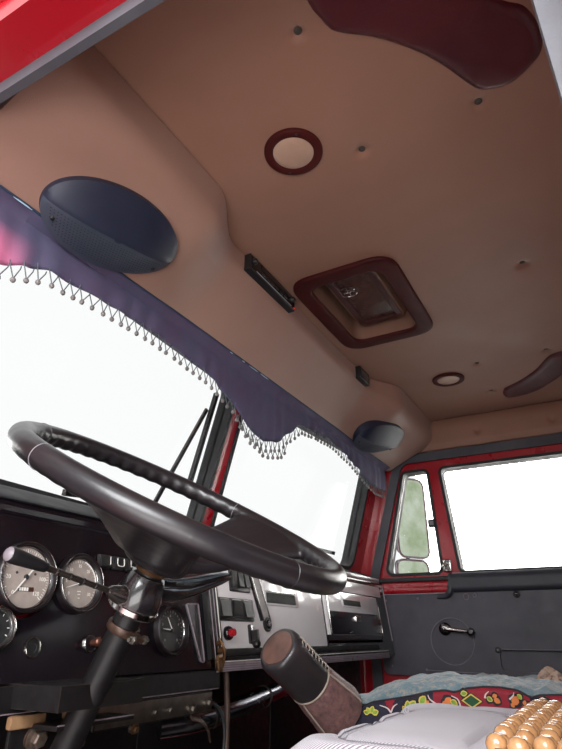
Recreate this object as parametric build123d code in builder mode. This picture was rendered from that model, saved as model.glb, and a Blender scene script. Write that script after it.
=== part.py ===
# Cab of a forward-control truck, trimmed inside, modelled as an assembly of separate pieces.
# Frame: +Z up, the front of the cab faces -Y, +X is the vehicle's left, where the driver sits.
# Origin: middle of the underside of the middle crossmember. Millimetres.
import os
from math import atan, cos, degrees, radians, sin

from build123d import *

os.makedirs("parts", exist_ok=True)

# Overall cab sizes
half_width = 1130          # outer side skin
side_wall = 60             # thickness of the side frames
corner_radius = 55         # round front corner posts
rear_y = 550               # outer face of the rear wall
rear_wall_depth = 50
sill_z = 100               # underside of the side frames and front panel
belt_z = 1140              # top of the front panel, foot of the windscreens
gutter_z = 1700            # top of the frames, foot of the roof panel
roof_z = 1895              # highest point of the roof
roof_skin = 25
floor_z = 300              # top of the floor
floor_thick = 20
lining_thick = 28          # upholstered lining on the side frames
lining_half = half_width - side_wall - lining_thick
ceiling_z = 1800           # underside of the headliner
liner_thick = 12

# Windscreen: two flat panes that meet in a shallow V and lean back
rake = 0.28                # back for each unit up
vee = 0.068                # back for each unit out
screen_mid_y = -1055.8     # middle of the screen frame on the centre line at belt height
screen_depth = 50          # frame thickness along Y
pane_thick = 6
pillar_half = 22           # half width of the centre pillar
screen_post = 145          # from the side skin to the edge of a windscreen
screen_edge_x = half_width - screen_post
screen_low_z = 1172
screen_top_z = 1646
screen_corner = 55
seal_width = 14
seal_proud = 4

# Door opening and door, seen from the side
opening_front_y = -905
opening_rear_y = 61
opening_low_z = 316
opening_bend_z = 1100
opening_top_z = 1650
opening_lean = 0.294
opening_corner = 45
door_gap = 8
door_depth = 55
window_low_z = 1150
window_top_z = 1596
window_rear_y = -2
window_corner = 30
vent_front_y = -842
vent_rear_y = -588
window_front_y = -530
post_lean = -0.09
trim_low_z = 785
trim_top_z = 1122
trim_front_y = -862
trim_rear_y = -12
trim_depth = 30
lip_width = 28             # rubber lip inside the edge of the door opening
lip_top_width = 26
lip_flange = 13            # rubber lip outside the edge of the door opening
lip_depth = 12
door_open_deg = 70         # the driver's door stands open this far
hinge_pin_r = 8
hinge_knuckle_r = 15
hinge_play = 0.06
hinge_out = 17             # pin axis beyond the side skin
hinge_height = 40
hinge_levels = (430, 1010)

post_x = half_width - corner_radius
frame_in_x = half_width - side_wall
rear_in_y = rear_y - rear_wall_depth
lean_dir = Vector(0, rake, 1)
pieces = {}


def screen_y(x, z):
    """Middle plane of the windscreens; below the belt it stands upright."""
    return screen_mid_y + vee * abs(x) + rake * max(z - belt_z, 0)


def vee_outline(low, high, reach, level):
    """Plan outline of a V-shaped slab between two distances from the screen plane."""
    return Polyline(
        (-reach, screen_y(reach, level) + low),
        (0, screen_y(0, level) + low),
        (reach, screen_y(reach, level) + low),
        (reach, screen_y(reach, level) + high),
        (0, screen_y(0, level) + high),
        (-reach, screen_y(reach, level) + high),
        close=True,
    )


def rise(height):
    """Length along the lean of the windscreens that gains the height."""
    return height * lean_dir.length


def other_side(source):
    """The same piece for the other side of the cab."""
    return mirror(source, about=Plane.YZ, mode=Mode.PRIVATE)


# Underframe: two long members, three crossmembers, outriggers and the front pivot lugs
rail_x = 400
rail_width = 90
rail_height = 160
rail_front_y = -985
rail_rear_y = 500
crossmember_height = 100
crossmember_depth = 90
crossmember_places = (-900, 0, 450)
outrigger_places = (-850, -330, 120, 455)
outrigger_depth = 60
lug_bore_r = 16
lug_y = -1028
lug_z = 55
lug_r = 36

with BuildPart() as underframe:
    with BuildSketch(Plane.XY):
        with Locations(*[(side * rail_x, (rail_front_y + rail_rear_y) / 2) for side in (1, -1)]):
            Rectangle(rail_width, rail_rear_y - rail_front_y)
    extrude(amount=rail_height)
    with BuildSketch(Plane.XY):
        with Locations(*[(0, y) for y in crossmember_places]):
            Rectangle(2 * rail_x, crossmember_depth)
    extrude(amount=crossmember_height)
    outrigger_in_x = rail_x - rail_width / 2
    with BuildSketch(Plane.XY.offset(rail_height)):
        for side in (1, -1):
            with Locations(*[(side * (outrigger_in_x + frame_in_x) / 2, y) for y in outrigger_places]):
                Rectangle(frame_in_x - outrigger_in_x, outrigger_depth)
    extrude(amount=floor_z - floor_thick - rail_height)
    for side in (1, -1):
        with BuildSketch(Plane.YZ.offset(side * rail_x - rail_width / 2)):
            with Locations((lug_y, lug_z)):
                Circle(lug_r)
            with BuildLine():
                Polyline(
                    (lug_y, lug_z - lug_r),
                    (rail_front_y, 0),
                    (rail_front_y, lug_z + lug_r),
                    (lug_y, lug_z + lug_r),
                    close=True,
                )
            make_face()
            with Locations((lug_y, lug_z)):
                Circle(lug_bore_r, mode=Mode.SUBTRACT)
        extrude(amount=rail_width)
pieces["underframe"] = underframe

# Engine tunnel, a pressed hump over the open middle of the floor
tunnel_half = 280
tunnel_top_half = 235
tunnel_z = 620
tunnel_front_y = -800
tunnel_skin = 12
tunnel_corner = 60


def tunnel_block(inset):
    """Solid of the tunnel, set in from its outer face on the sides, top and front."""
    with BuildPart() as block:
        with BuildSketch(Plane.XZ.offset(-rear_in_y)):
            with BuildLine():
                Polyline(
                    (-tunnel_half + inset, floor_z),
                    (-tunnel_top_half + inset, tunnel_z - inset),
                    (tunnel_top_half - inset, tunnel_z - inset),
                    (tunnel_half - inset, floor_z),
                    close=True,
                )
            make_face()
        extrude(amount=rear_in_y - tunnel_front_y - inset)
        fillet(block.edges().filter_by(Axis.Y).group_by(Axis.Z)[-1], tunnel_corner - inset)
    return block.part


tunnel_outer = tunnel_block(0)
tunnel_inner = tunnel_block(tunnel_skin)
with BuildPart() as engine_tunnel:
    add(tunnel_outer)
    add(tunnel_inner, mode=Mode.SUBTRACT)
pieces["engine_tunnel"] = engine_tunnel

# Floor, one sheet with a slot for the engine tunnel
with BuildPart() as floor_pan:
    with BuildSketch(Plane.XY.offset(floor_z - floor_thick)):
        floor_front_y = screen_y(frame_in_x, 0) + screen_depth / 2
        with Locations((0, (floor_front_y + rear_in_y) / 2)):
            Rectangle(2 * frame_in_x, rear_in_y - floor_front_y)
        tunnel_slot_half = tunnel_half - tunnel_skin
        tunnel_slot_y = tunnel_front_y + tunnel_skin
        with Locations((0, (tunnel_slot_y + rear_in_y) / 2)):
            Rectangle(2 * tunnel_slot_half, rear_in_y - tunnel_slot_y, mode=Mode.SUBTRACT)
    extrude(amount=floor_thick)
pieces["floor_pan"] = floor_pan

# Front panel below the windscreens, with a shallow tray for the grille
grille_half = 600
grille_low_z = 330
grille_top_z = 800
grille_tray = 18
grille_proud = 6
slat_count = 9
slat_height = 15
grille_back = 4
grille_rim = 20
front_face = -screen_depth / 2

with BuildPart() as front_panel:
    with BuildSketch(Plane.XY.offset(sill_z)):
        with BuildLine():
            vee_outline(front_face, screen_depth / 2, post_x, 0)
        make_face()
    extrude(amount=belt_z - sill_z)
    with BuildSketch(Plane.XY.offset(grille_low_z)):
        with BuildLine():
            vee_outline(2 * front_face, front_face + grille_tray, grille_half, 0)
        make_face()
    extrude(amount=grille_top_z - grille_low_z, mode=Mode.SUBTRACT)
pieces["front_panel"] = front_panel

# Grille: a back sheet, a rim and level slats
slat_pitch = (grille_top_z - grille_low_z - 2 * grille_rim) / slat_count
with BuildPart() as grille:
    with BuildSketch(Plane.XY.offset(grille_low_z)):
        with BuildLine():
            vee_outline(front_face - grille_proud, front_face + grille_tray, grille_half, 0)
        make_face()
    extrude(amount=grille_top_z - grille_low_z)
    tray_back = front_face + grille_tray - grille_back
    for index in range(slat_count):
        gap_low = grille_low_z + grille_rim + index * slat_pitch
        with BuildSketch(Plane.XY.offset(gap_low)):
            with BuildLine():
                vee_outline(2 * front_face, tray_back, grille_half - grille_rim, 0)
            make_face()
        extrude(amount=slat_pitch - slat_height, mode=Mode.SUBTRACT)
pieces["grille"] = grille

# Windscreen frame: a raked V-shaped surround with a centre pillar
with BuildPart() as screen_openings:
    with BuildSketch(Plane.XZ.offset(-rear_y)):
        for side in (1, -1):
            with BuildLine():
                Polyline(
                    (side * pillar_half, screen_low_z),
                    (side * screen_edge_x, screen_low_z),
                    (side * screen_edge_x, screen_top_z),
                    (side * pillar_half, screen_top_z),
                    close=True,
                )
            make_face()
    extrude(amount=4 * rear_y)
    fillet(screen_openings.edges().filter_by(Axis.Y), screen_corner)

with BuildPart() as screen_lights:
    with BuildSketch(Plane.XZ.offset(-rear_y)):
        for side in (1, -1):
            with BuildLine():
                Polyline(
                    (side * (pillar_half + seal_width), screen_low_z + seal_width),
                    (side * (screen_edge_x - seal_width), screen_low_z + seal_width),
                    (side * (screen_edge_x - seal_width), screen_top_z - seal_width),
                    (side * (pillar_half + seal_width), screen_top_z - seal_width),
                    close=True,
                )
            make_face()
    extrude(amount=4 * rear_y)
    fillet(screen_lights.edges().filter_by(Axis.Y), screen_corner - seal_width)


def raked_slab(low, high, reach):
    """V-shaped slab leaning with the windscreens, from the belt to the gutter."""
    with BuildPart() as slab:
        with BuildSketch(Plane.XY.offset(belt_z)):
            with BuildLine():
                vee_outline(low, high, reach, belt_z)
            make_face()
        extrude(amount=rise(gutter_z - belt_z), dir=lean_dir)
    return slab.part


frame_slab = raked_slab(front_face, screen_depth / 2, post_x)
seal_slab = raked_slab(front_face - seal_proud, screen_depth / 2 + seal_proud, post_x)
pane_slab = raked_slab(-pane_thick / 2, pane_thick / 2, post_x)

with BuildPart() as windscreen_frame:
    add(frame_slab)
    add(screen_openings.part, mode=Mode.SUBTRACT)
pieces["windscreen_frame"] = windscreen_frame

with BuildPart() as glass_seals:
    add(seal_slab)
    add(screen_openings.part, mode=Mode.INTERSECT)
    add(screen_lights.part, mode=Mode.SUBTRACT)

with BuildPart() as windscreens:
    add(pane_slab)
    add(screen_lights.part, mode=Mode.INTERSECT)

# Corner posts: quarter rounds between the front and the sides
side_front_y = screen_y(post_x, belt_z) + screen_depth / 2


def post_outline(side):
    """Plan of a corner post."""
    middle = corner_radius * cos(radians(45))
    Line((side * post_x, side_front_y), (side * half_width, side_front_y))
    ThreePointArc(
        (side * half_width, side_front_y),
        (side * (post_x + middle), side_front_y - middle),
        (side * post_x, side_front_y - corner_radius),
    )
    Line((side * post_x, side_front_y - corner_radius), (side * post_x, side_front_y))


with BuildPart() as corner_posts:
    for side in (1, -1):
        with BuildSketch(Plane.XY.offset(sill_z)):
            with BuildLine():
                post_outline(side)
            make_face()
        extrude(amount=belt_z - sill_z)
        with BuildSketch(Plane.XY.offset(belt_z)):
            with BuildLine():
                post_outline(side)
            make_face()
        extrude(amount=rise(gutter_z - belt_z), dir=lean_dir)
pieces["corner_posts"] = corner_posts


def opening_outline(grow, grow_top):
    """Side view of the door opening, made larger or smaller all round."""
    top_z = opening_top_z + grow_top
    bend_y = opening_front_y - grow
    return Polyline(
        (bend_y, opening_low_z - grow),
        (bend_y, opening_bend_z),
        (bend_y + opening_lean * (top_z - opening_bend_z), top_z),
        (opening_rear_y + grow, top_z),
        (opening_rear_y + grow, opening_low_z - grow),
        close=True,
    )


def side_block(outline_args, start_x, depth, corner):
    """Prism of the door opening outline between two distances from the centre line."""
    with BuildPart() as block:
        with BuildSketch(Plane.YZ.offset(start_x)):
            with BuildLine():
                opening_outline(*outline_args)
            make_face()
        extrude(amount=depth)
        fillet(block.edges().filter_by(Axis.X), corner)
    return block.part


# Side frames: the walls round the doors
opening_cut = side_block((0, 0), frame_in_x - 1, side_wall + 2, opening_corner)
with BuildPart() as side_frame_left:
    with BuildSketch(Plane.YZ.offset(frame_in_x)):
        with BuildLine():
            Polyline(
                (side_front_y, sill_z),
                (side_front_y, belt_z),
                (side_front_y + rake * (gutter_z - belt_z), gutter_z),
                (rear_y, gutter_z),
                (rear_y, sill_z),
                close=True,
            )
        make_face()
    extrude(amount=side_wall)
    fillet(side_frame_left.edges().filter_by(Axis.Z).group_by(Axis.Y)[-1].sort_by(Axis.X)[-1], 40)
    add(opening_cut, mode=Mode.SUBTRACT)
with BuildPart() as side_frames:
    add(side_frame_left.part)
    add(other_side(side_frame_left.part))
pieces["side_frames"] = side_frames

# Rubber lips round the door openings
lip_start_x = frame_in_x - lip_depth
lip_outer = side_block((lip_flange, lip_flange), lip_start_x, lip_depth, opening_corner)
lip_inner = side_block((-lip_width, -lip_top_width), lip_start_x - 1, lip_depth + 2, opening_corner)
with BuildPart() as door_seal_left:
    add(lip_outer)
    add(lip_inner, mode=Mode.SUBTRACT)
with BuildPart() as door_seals:
    add(door_seal_left.part)
    add(other_side(door_seal_left.part))
pieces["door_seals"] = door_seals

# Rear wall with two windows
rear_window_width = 560
rear_window_height = 330
rear_window_x = 430
rear_window_z = 1400
rear_window_corner = 70
rear_window_places = [(-rear_window_x, rear_window_z), (rear_window_x, rear_window_z)]
with BuildPart() as rear_wall:
    with BuildSketch(Plane.XZ.offset(-rear_y)):
        with Locations((0, (sill_z + gutter_z) / 2)):
            Rectangle(2 * frame_in_x, gutter_z - sill_z)
        with Locations(*rear_window_places):
            RectangleRounded(rear_window_width, rear_window_height, rear_window_corner, mode=Mode.SUBTRACT)
    extrude(amount=rear_wall_depth)
pieces["rear_wall"] = rear_wall

with BuildPart() as rear_seals:
    with BuildSketch(Plane.XZ.offset(-rear_y - seal_proud)):
        with Locations(*rear_window_places):
            RectangleRounded(rear_window_width, rear_window_height, rear_window_corner)
            RectangleRounded(
                rear_window_width - 2 * seal_width,
                rear_window_height - 2 * seal_width,
                rear_window_corner - seal_width,
                mode=Mode.SUBTRACT,
            )
    extrude(amount=rear_wall_depth + 2 * seal_proud)
with BuildPart() as rear_panes:
    with BuildSketch(Plane.XZ.offset(-rear_y + rear_wall_depth / 2 - pane_thick / 2)):
        with Locations(*rear_window_places):
            RectangleRounded(
                rear_window_width - 2 * seal_width,
                rear_window_height - 2 * seal_width,
                rear_window_corner - seal_width,
            )
    extrude(amount=pane_thick)

with BuildPart() as fixed_seals:
    add(glass_seals.part)
    add(rear_seals.part)
pieces["glass_seals"] = fixed_seals
with BuildPart() as fixed_glass:
    add(windscreens.part)
    add(rear_panes.part)
pieces["fixed_glass"] = fixed_glass

# Roof panel: crowned both ways, with rounded front, sides and rear, and a hatch opening
hatch_y = -470
hatch_half_x = 225         # outer edge of the trim ring seen inside
hatch_half_y = 150
hatch_ring = 60            # width of the trim ring
hatch_collar = 26          # the ring's collar starts this far in from its edge
hatch_corner = 55
hatch_flange = 14
hatch_fit = 0.5


def roof_block(inset):
    """Roof shape set in evenly from its outer face; its foot is at the gutter."""
    shoulder_z = gutter_z + 95 - inset
    crown_edge_z = roof_z - 32 - inset
    top_z = roof_z - inset
    side_x = half_width - inset
    back_y = rear_y - inset
    nose_y = screen_y(0, gutter_z) + front_face + inset
    with BuildPart() as block:
        with BuildSketch(Plane.XY.offset(gutter_z)):
            with BuildLine():
                edge_y = screen_y(post_x, gutter_z) + front_face + inset
                Polyline(
                    (0, nose_y),
                    (side_x - corner_radius, edge_y),
                    (side_x, edge_y + corner_radius),
                    (side_x, back_y - corner_radius),
                    (side_x - corner_radius, back_y),
                    (-side_x + corner_radius, back_y),
                    (-side_x, back_y - corner_radius),
                    (-side_x, edge_y + corner_radius),
                    (-side_x + corner_radius, edge_y),
                    close=True,
                )
            make_face()
        extrude(amount=roof_z - gutter_z + 10)
        with BuildSketch(Plane.YZ.offset(-half_width - 10)):
            with BuildLine():
                Line((back_y, gutter_z), (nose_y, gutter_z))
                ThreePointArc((nose_y, gutter_z), (nose_y + 58, crown_edge_z - 48), (nose_y + 190, crown_edge_z))
                ThreePointArc(
                    (nose_y + 190, crown_edge_z),
                    ((nose_y + back_y) / 2, top_z),
                    (back_y - 80, crown_edge_z),
                )
                ThreePointArc(
                    (back_y - 80, crown_edge_z),
                    (back_y - 19, crown_edge_z - 22),
                    (back_y, shoulder_z),
                )
                Line((back_y, shoulder_z), (back_y, gutter_z))
            make_face()
        extrude(amount=2 * half_width + 20, mode=Mode.INTERSECT)
        with BuildSketch(Plane.XZ.offset(-rear_y - 10)):
            with BuildLine():
                Line((side_x, gutter_z), (-side_x, gutter_z))
                Line((-side_x, gutter_z), (-side_x, shoulder_z))
                ThreePointArc(
                    (-side_x, shoulder_z),
                    (-side_x + 21, crown_edge_z - 20),
                    (-side_x + 80, crown_edge_z - 4),
                )
                ThreePointArc((-side_x + 80, crown_edge_z - 4), (0, top_z), (side_x - 80, crown_edge_z - 4))
                ThreePointArc(
                    (side_x - 80, crown_edge_z - 4),
                    (side_x - 21, crown_edge_z - 20),
                    (side_x, shoulder_z),
                )
                Line((side_x, shoulder_z), (side_x, gutter_z))
            make_face()
        extrude(amount=3 * rear_y, mode=Mode.INTERSECT)
    return block.part


roof_outer = roof_block(0)
roof_inner = roof_block(roof_skin)
roof_hole_x = hatch_half_x - hatch_collar
roof_hole_y = hatch_half_y - hatch_collar
with BuildPart() as roof_panel:
    add(roof_outer)
    add(roof_inner, mode=Mode.SUBTRACT)
    with BuildSketch(Plane.XY.offset(gutter_z)):
        with Locations((0, hatch_y)):
            RectangleRounded(2 * roof_hole_x, 2 * roof_hole_y, hatch_corner)
    extrude(amount=2 * (roof_z - gutter_z), mode=Mode.SUBTRACT)
pieces["roof_panel"] = roof_panel

# Headliner: a tray of upholstered board, open below, with skirts down the sides and rear
skirt_low_z = opening_top_z + lip_flange + 3
console_front_y = -760
with BuildPart() as headliner:
    liner_rear_y = rear_in_y
    with BuildSketch(Plane.XY.offset(ceiling_z)):
        with Locations((0, (console_front_y + liner_rear_y) / 2)):
            Rectangle(2 * frame_in_x, liner_rear_y - console_front_y)
    extrude(amount=liner_thick)
    with BuildSketch(Plane.XY.offset(skirt_low_z)):
        for side in (1, -1):
            with Locations((side * (lining_half + frame_in_x) / 2, (console_front_y + liner_rear_y) / 2)):
                Rectangle(frame_in_x - lining_half, liner_rear_y - console_front_y)
        with Locations((0, liner_rear_y - liner_thick / 2)):
            Rectangle(2 * frame_in_x, liner_thick)
    extrude(amount=ceiling_z - skirt_low_z)
    with BuildSketch(Plane.XY.offset(ceiling_z)):
        with Locations((0, hatch_y)):
            RectangleRounded(2 * roof_hole_x, 2 * roof_hole_y, hatch_corner)
    extrude(amount=liner_thick, mode=Mode.SUBTRACT)
pieces["headliner"] = headliner

# Overhead console: padded shelf that steps forward in the middle
console_low_y = -780
console_low_z = 1592
console_stations = (
    # x, rear face y, foot of the rear face z, start of the slope y, its z, front y
    (-lining_half, -566, 1712, -600, 1678, -800),
    (-600, -566, 1712, -600, 1678, -826),
    (-450, -648, 1748, -668, 1726, -836),
    (450, -648, 1748, -668, 1726, -836),
    (600, -566, 1712, -600, 1678, -826),
    (lining_half, -566, 1712, -600, 1678, -800),
)
with BuildPart() as overhead_console:
    for first, last in zip(console_stations[:-1], console_stations[1:]):
        for x, face_y, foot_z, slope_y, slope_z, nose_y in (first, last):
            with BuildSketch(Plane.YZ.offset(x)):
                with BuildLine():
                    Polyline(
                        (face_y, ceiling_z),
                        (face_y, foot_z),
                        (slope_y, slope_z),
                        (console_low_y, console_low_z),
                        (nose_y, console_low_z + 20),
                        (nose_y, gutter_z + 10),
                        (console_low_y, ceiling_z),
                        close=True,
                    )
                make_face()
        loft(ruled=True)
pieces["overhead_console"] = overhead_console

# Oval loudspeakers on the console's slope
speaker_places = ((766, 8), (-715, -8))     # across, and turned in its seat
speaker_y = -692
speaker_long = 290
speaker_short = 162
speaker_height = 38
speaker_round = 20
end_station = console_stations[-1]
slope_run = end_station[3] - console_low_y
slope_rise = end_station[4] - console_low_z
slope_tilt = degrees(atan(slope_rise / slope_run))
speaker_z = console_low_z + (speaker_y - console_low_y) * slope_rise / slope_run
with BuildPart() as speakers:
    for speaker_x, speaker_turn in speaker_places:
        down = Vector(0, sin(radians(slope_tilt)), -cos(radians(slope_tilt)))
        seat = Plane(origin=(speaker_x, speaker_y, speaker_z), x_dir=(1, 0, 0), z_dir=down)
        with BuildSketch(seat):
            Ellipse(speaker_long / 2, speaker_short / 2, rotation=speaker_turn)
        extrude(amount=speaker_height)
    fillet(speakers.faces().sort_by(Axis.Z)[0:2].edges(), speaker_round)
pieces["speakers"] = speakers

# Radio and a small blank unit on the console's middle face
radio_width = 240
radio_height = 46
radio_depth = 18
radio_x = 270
radio_z = 1774
blank_width = 90
blank_x = -395
middle_face_y = console_stations[2][1]
with BuildPart() as console_units:
    with BuildSketch(Plane.XZ.offset(-middle_face_y)):
        with Locations((radio_x, radio_z)):
            Rectangle(radio_width, radio_height)
        with Locations((blank_x, radio_z)):
            Rectangle(blank_width, radio_height)
    extrude(amount=-radio_depth)
    fillet(console_units.edges().filter_by(Axis.Z).group_by(Axis.Y)[-1], 5)
pieces["console_units"] = console_units

# Round ceiling lamps
lamp_x = 625
lamp_y = -385
lamp_r = 58.5
lens_r = 39
lamp_height = 11
with BuildPart() as ceiling_lamps:
    for side in (1, -1):
        with BuildSketch(Plane.XY.offset(ceiling_z)):
            with Locations((side * lamp_x, lamp_y)):
                Circle(lamp_r)
        extrude(amount=-lamp_height, taper=35)
        with BuildSketch(Plane.XY.offset(ceiling_z - lamp_height)):
            with Locations((side * lamp_x, lamp_y)):
                Circle(lens_r)
        extrude(amount=-4, taper=40)
pieces["ceiling_lamps"] = ceiling_lamps

# Hatch ring: trim flange under the headliner and a collar up through the roof
collar_top_z = roof_z + 8
collar_inset = hatch_collar + hatch_fit
with BuildPart() as hatch_frame:
    with BuildSketch(Plane.XY.offset(ceiling_z - hatch_flange)):
        with Locations((0, hatch_y)):
            RectangleRounded(2 * hatch_half_x, 2 * hatch_half_y, hatch_corner)
    extrude(amount=hatch_flange)
    with BuildSketch(Plane.XY.offset(ceiling_z)):
        with Locations((0, hatch_y)):
            RectangleRounded(
                2 * (hatch_half_x - collar_inset), 2 * (hatch_half_y - collar_inset), hatch_corner - hatch_fit
            )
    extrude(amount=collar_top_z - ceiling_z)
    with BuildSketch(Plane.XY.offset(ceiling_z - hatch_flange)):
        with Locations((0, hatch_y)):
            RectangleRounded(2 * (hatch_half_x - hatch_ring), 2 * (hatch_half_y - hatch_ring), 30)
    extrude(amount=collar_top_z, mode=Mode.SUBTRACT)
hatch_pin_z = collar_top_z + 22
hatch_pin_y = hatch_y + hatch_half_y + 14
hatch_pin_r = 5
hatch_eye_r = 10
hatch_hinge_x = 120
hatch_hinge_width = 24
with BuildPart() as hatch_hinges:
    for side in (1, -1):
        for end in (1, -1):
            ear_x = side * hatch_hinge_x + end * (hatch_hinge_width + 1) - hatch_hinge_width / 2
            with BuildSketch(Plane.YZ.offset(ear_x)):
                with Locations((hatch_pin_y, hatch_pin_z)):
                    Circle(hatch_eye_r)
                with BuildLine():
                    Polyline(
                        (hatch_pin_y - hatch_eye_r, hatch_pin_z),
                        (hatch_pin_y + hatch_eye_r, hatch_pin_z),
                        (hatch_pin_y + hatch_eye_r, roof_z - 30),
                        (hatch_pin_y - hatch_eye_r, roof_z - 30),
                        close=True,
                    )
                make_face()
            extrude(amount=hatch_hinge_width)
        with BuildSketch(Plane.YZ.offset(side * hatch_hinge_x - hatch_hinge_width)):
            with Locations((hatch_pin_y, hatch_pin_z)):
                Circle(hatch_pin_r)
        extrude(amount=2 * hatch_hinge_width)
    add(roof_outer, mode=Mode.SUBTRACT)
pieces["hatch_frame"] = hatch_frame
pieces["hatch_hinges"] = hatch_hinges

# Roof hatch lid with its hinge eyes
lid_over = 12
lid_top_z = collar_top_z + 32
lid_under_z = collar_top_z + 6
with BuildPart() as hatch_lid:
    with BuildSketch(Plane.XY.offset(lid_under_z)):
        with Locations((0, hatch_y)):
            RectangleRounded(2 * (roof_hole_x + lid_over), 2 * (roof_hole_y + lid_over), hatch_corner + lid_over)
    extrude(amount=lid_top_z - lid_under_z)
    fillet(hatch_lid.faces().sort_by(Axis.Z)[-1].edges(), 10)
    for side in (1, -1):
        with BuildSketch(Plane.YZ.offset(side * hatch_hinge_x - hatch_hinge_width / 2)):
            with Locations((hatch_pin_y, hatch_pin_z)):
                Circle(hatch_eye_r)
            with BuildLine():
                Polyline(
                    (hatch_pin_y - 40, hatch_pin_z - 6),
                    (hatch_pin_y, hatch_pin_z - 6),
                    (hatch_pin_y, hatch_pin_z + 6),
                    (hatch_pin_y - 40, hatch_pin_z + 6),
                    close=True,
                )
            make_face()
            with Locations((hatch_pin_y, hatch_pin_z)):
                Circle(hatch_pin_r + hinge_play, mode=Mode.SUBTRACT)
        extrude(amount=hatch_hinge_width)
pieces["hatch_lid"] = hatch_lid

# Wing-shaped padded panels on the ceiling
wing_thick = 12
with BuildPart() as wing_pads:
    for side in (1, -1):
        with BuildSketch(Plane.XY.offset(ceiling_z - wing_thick)):
            with BuildLine():
                Line((side * 905, -222), (side * 829, -219))
                ThreePointArc((side * 829, -219), (side * 745, -128), (side * 610, -42))
                ThreePointArc((side * 610, -42), (side * 577, 12), (side * 599, 62))
                ThreePointArc((side * 599, 62), (side * 665, 77), (side * 733, 33))
                ThreePointArc((side * 733, 33), (side * 815, -36), (side * 881, -93))
                ThreePointArc((side * 881, -93), (side * 915, -152), (side * 905, -222))
            make_face()
        extrude(amount=wing_thick)
pieces["wing_pads"] = wing_pads

# Velvet valance along the foot of the console, with a scalloped hem
valance_gap = 42           # from the lining to the end of the valance
valance_half = lining_half - valance_gap
valance_y = console_low_y
valance_thick = 6
valance_hem = (
    # x of each point between two lobes and how far the lobe below it hangs
    (valance_half, 1500),
    (690, 1480),
    (360, 1505),
    (130, 1410),
    (-130, 1505),
    (-360, 1480),
    (-690, 1500),
    (-valance_half, None),
)
valance_notch_z = 1530
with BuildPart() as valance:
    with BuildSketch(Plane.XZ.offset(-valance_y)):
        with BuildLine():
            Line((valance_half, valance_notch_z), (valance_half, console_low_z))
            Line((valance_half, console_low_z), (-valance_half, console_low_z))
            Line((-valance_half, console_low_z), (-valance_half, valance_notch_z))
            for (right_x, lobe_z), (left_x, unused) in zip(valance_hem[:-1], valance_hem[1:]):
                ThreePointArc(
                    (right_x, valance_notch_z), ((right_x + left_x) / 2, lobe_z), (left_x, valance_notch_z)
                )
        make_face()
    extrude(amount=valance_thick)
pieces["valance"] = valance

# Dashboard: top board, sloping face and ends
dash_gap = 12              # from the lining to the end of the dashboard
dash_half = lining_half - dash_gap
dash_top_z = 1125
dash_board = 32
dash_tab = 30
dash_rear_y = -840
dash_low_z = 855
dash_lean = 0.14           # the face comes rearward this much for each unit down
dash_skin = 22
dash_face_top_y = -846
rail_low_z = 850
rail_top_z = 880
rail_proud = 12


def face_y(z):
    """Rear surface of the dashboard's face at a height."""
    return dash_face_top_y + dash_lean * (dash_top_z - z)


face_tilt = degrees(atan(dash_lean))
glove_low_z = 900
glove_top_z = 1068
glove_left_x = -420
glove_end = 105            # from the end of the dashboard to the glove box
glove_right_x = glove_end - dash_half
lid_fit = 6                # free space round the glove box lid
glove_lid_thick = 16
journal_r = 4
journal_play = 0.06
journal_length = 11
gauge_depth = 26
gauge_rim = 4
gauge_proud = 9
gauge_fit = 0.4
# x, z, radius of each round instrument
gauge_table = ((722, 993, 50), (612, 1003, 50), (760, 921, 20), (350, 927, 45))


def on_face(x, z, lift=0):
    """Plane on the dashboard's face, looking at the driver, with its Y up the face."""
    normal = Vector(0, cos(radians(face_tilt)), sin(radians(face_tilt)))
    origin = Vector(x, face_y(z), z) + normal * lift
    return Plane(origin=origin, x_dir=(-1, 0, 0), z_dir=normal)


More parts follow.
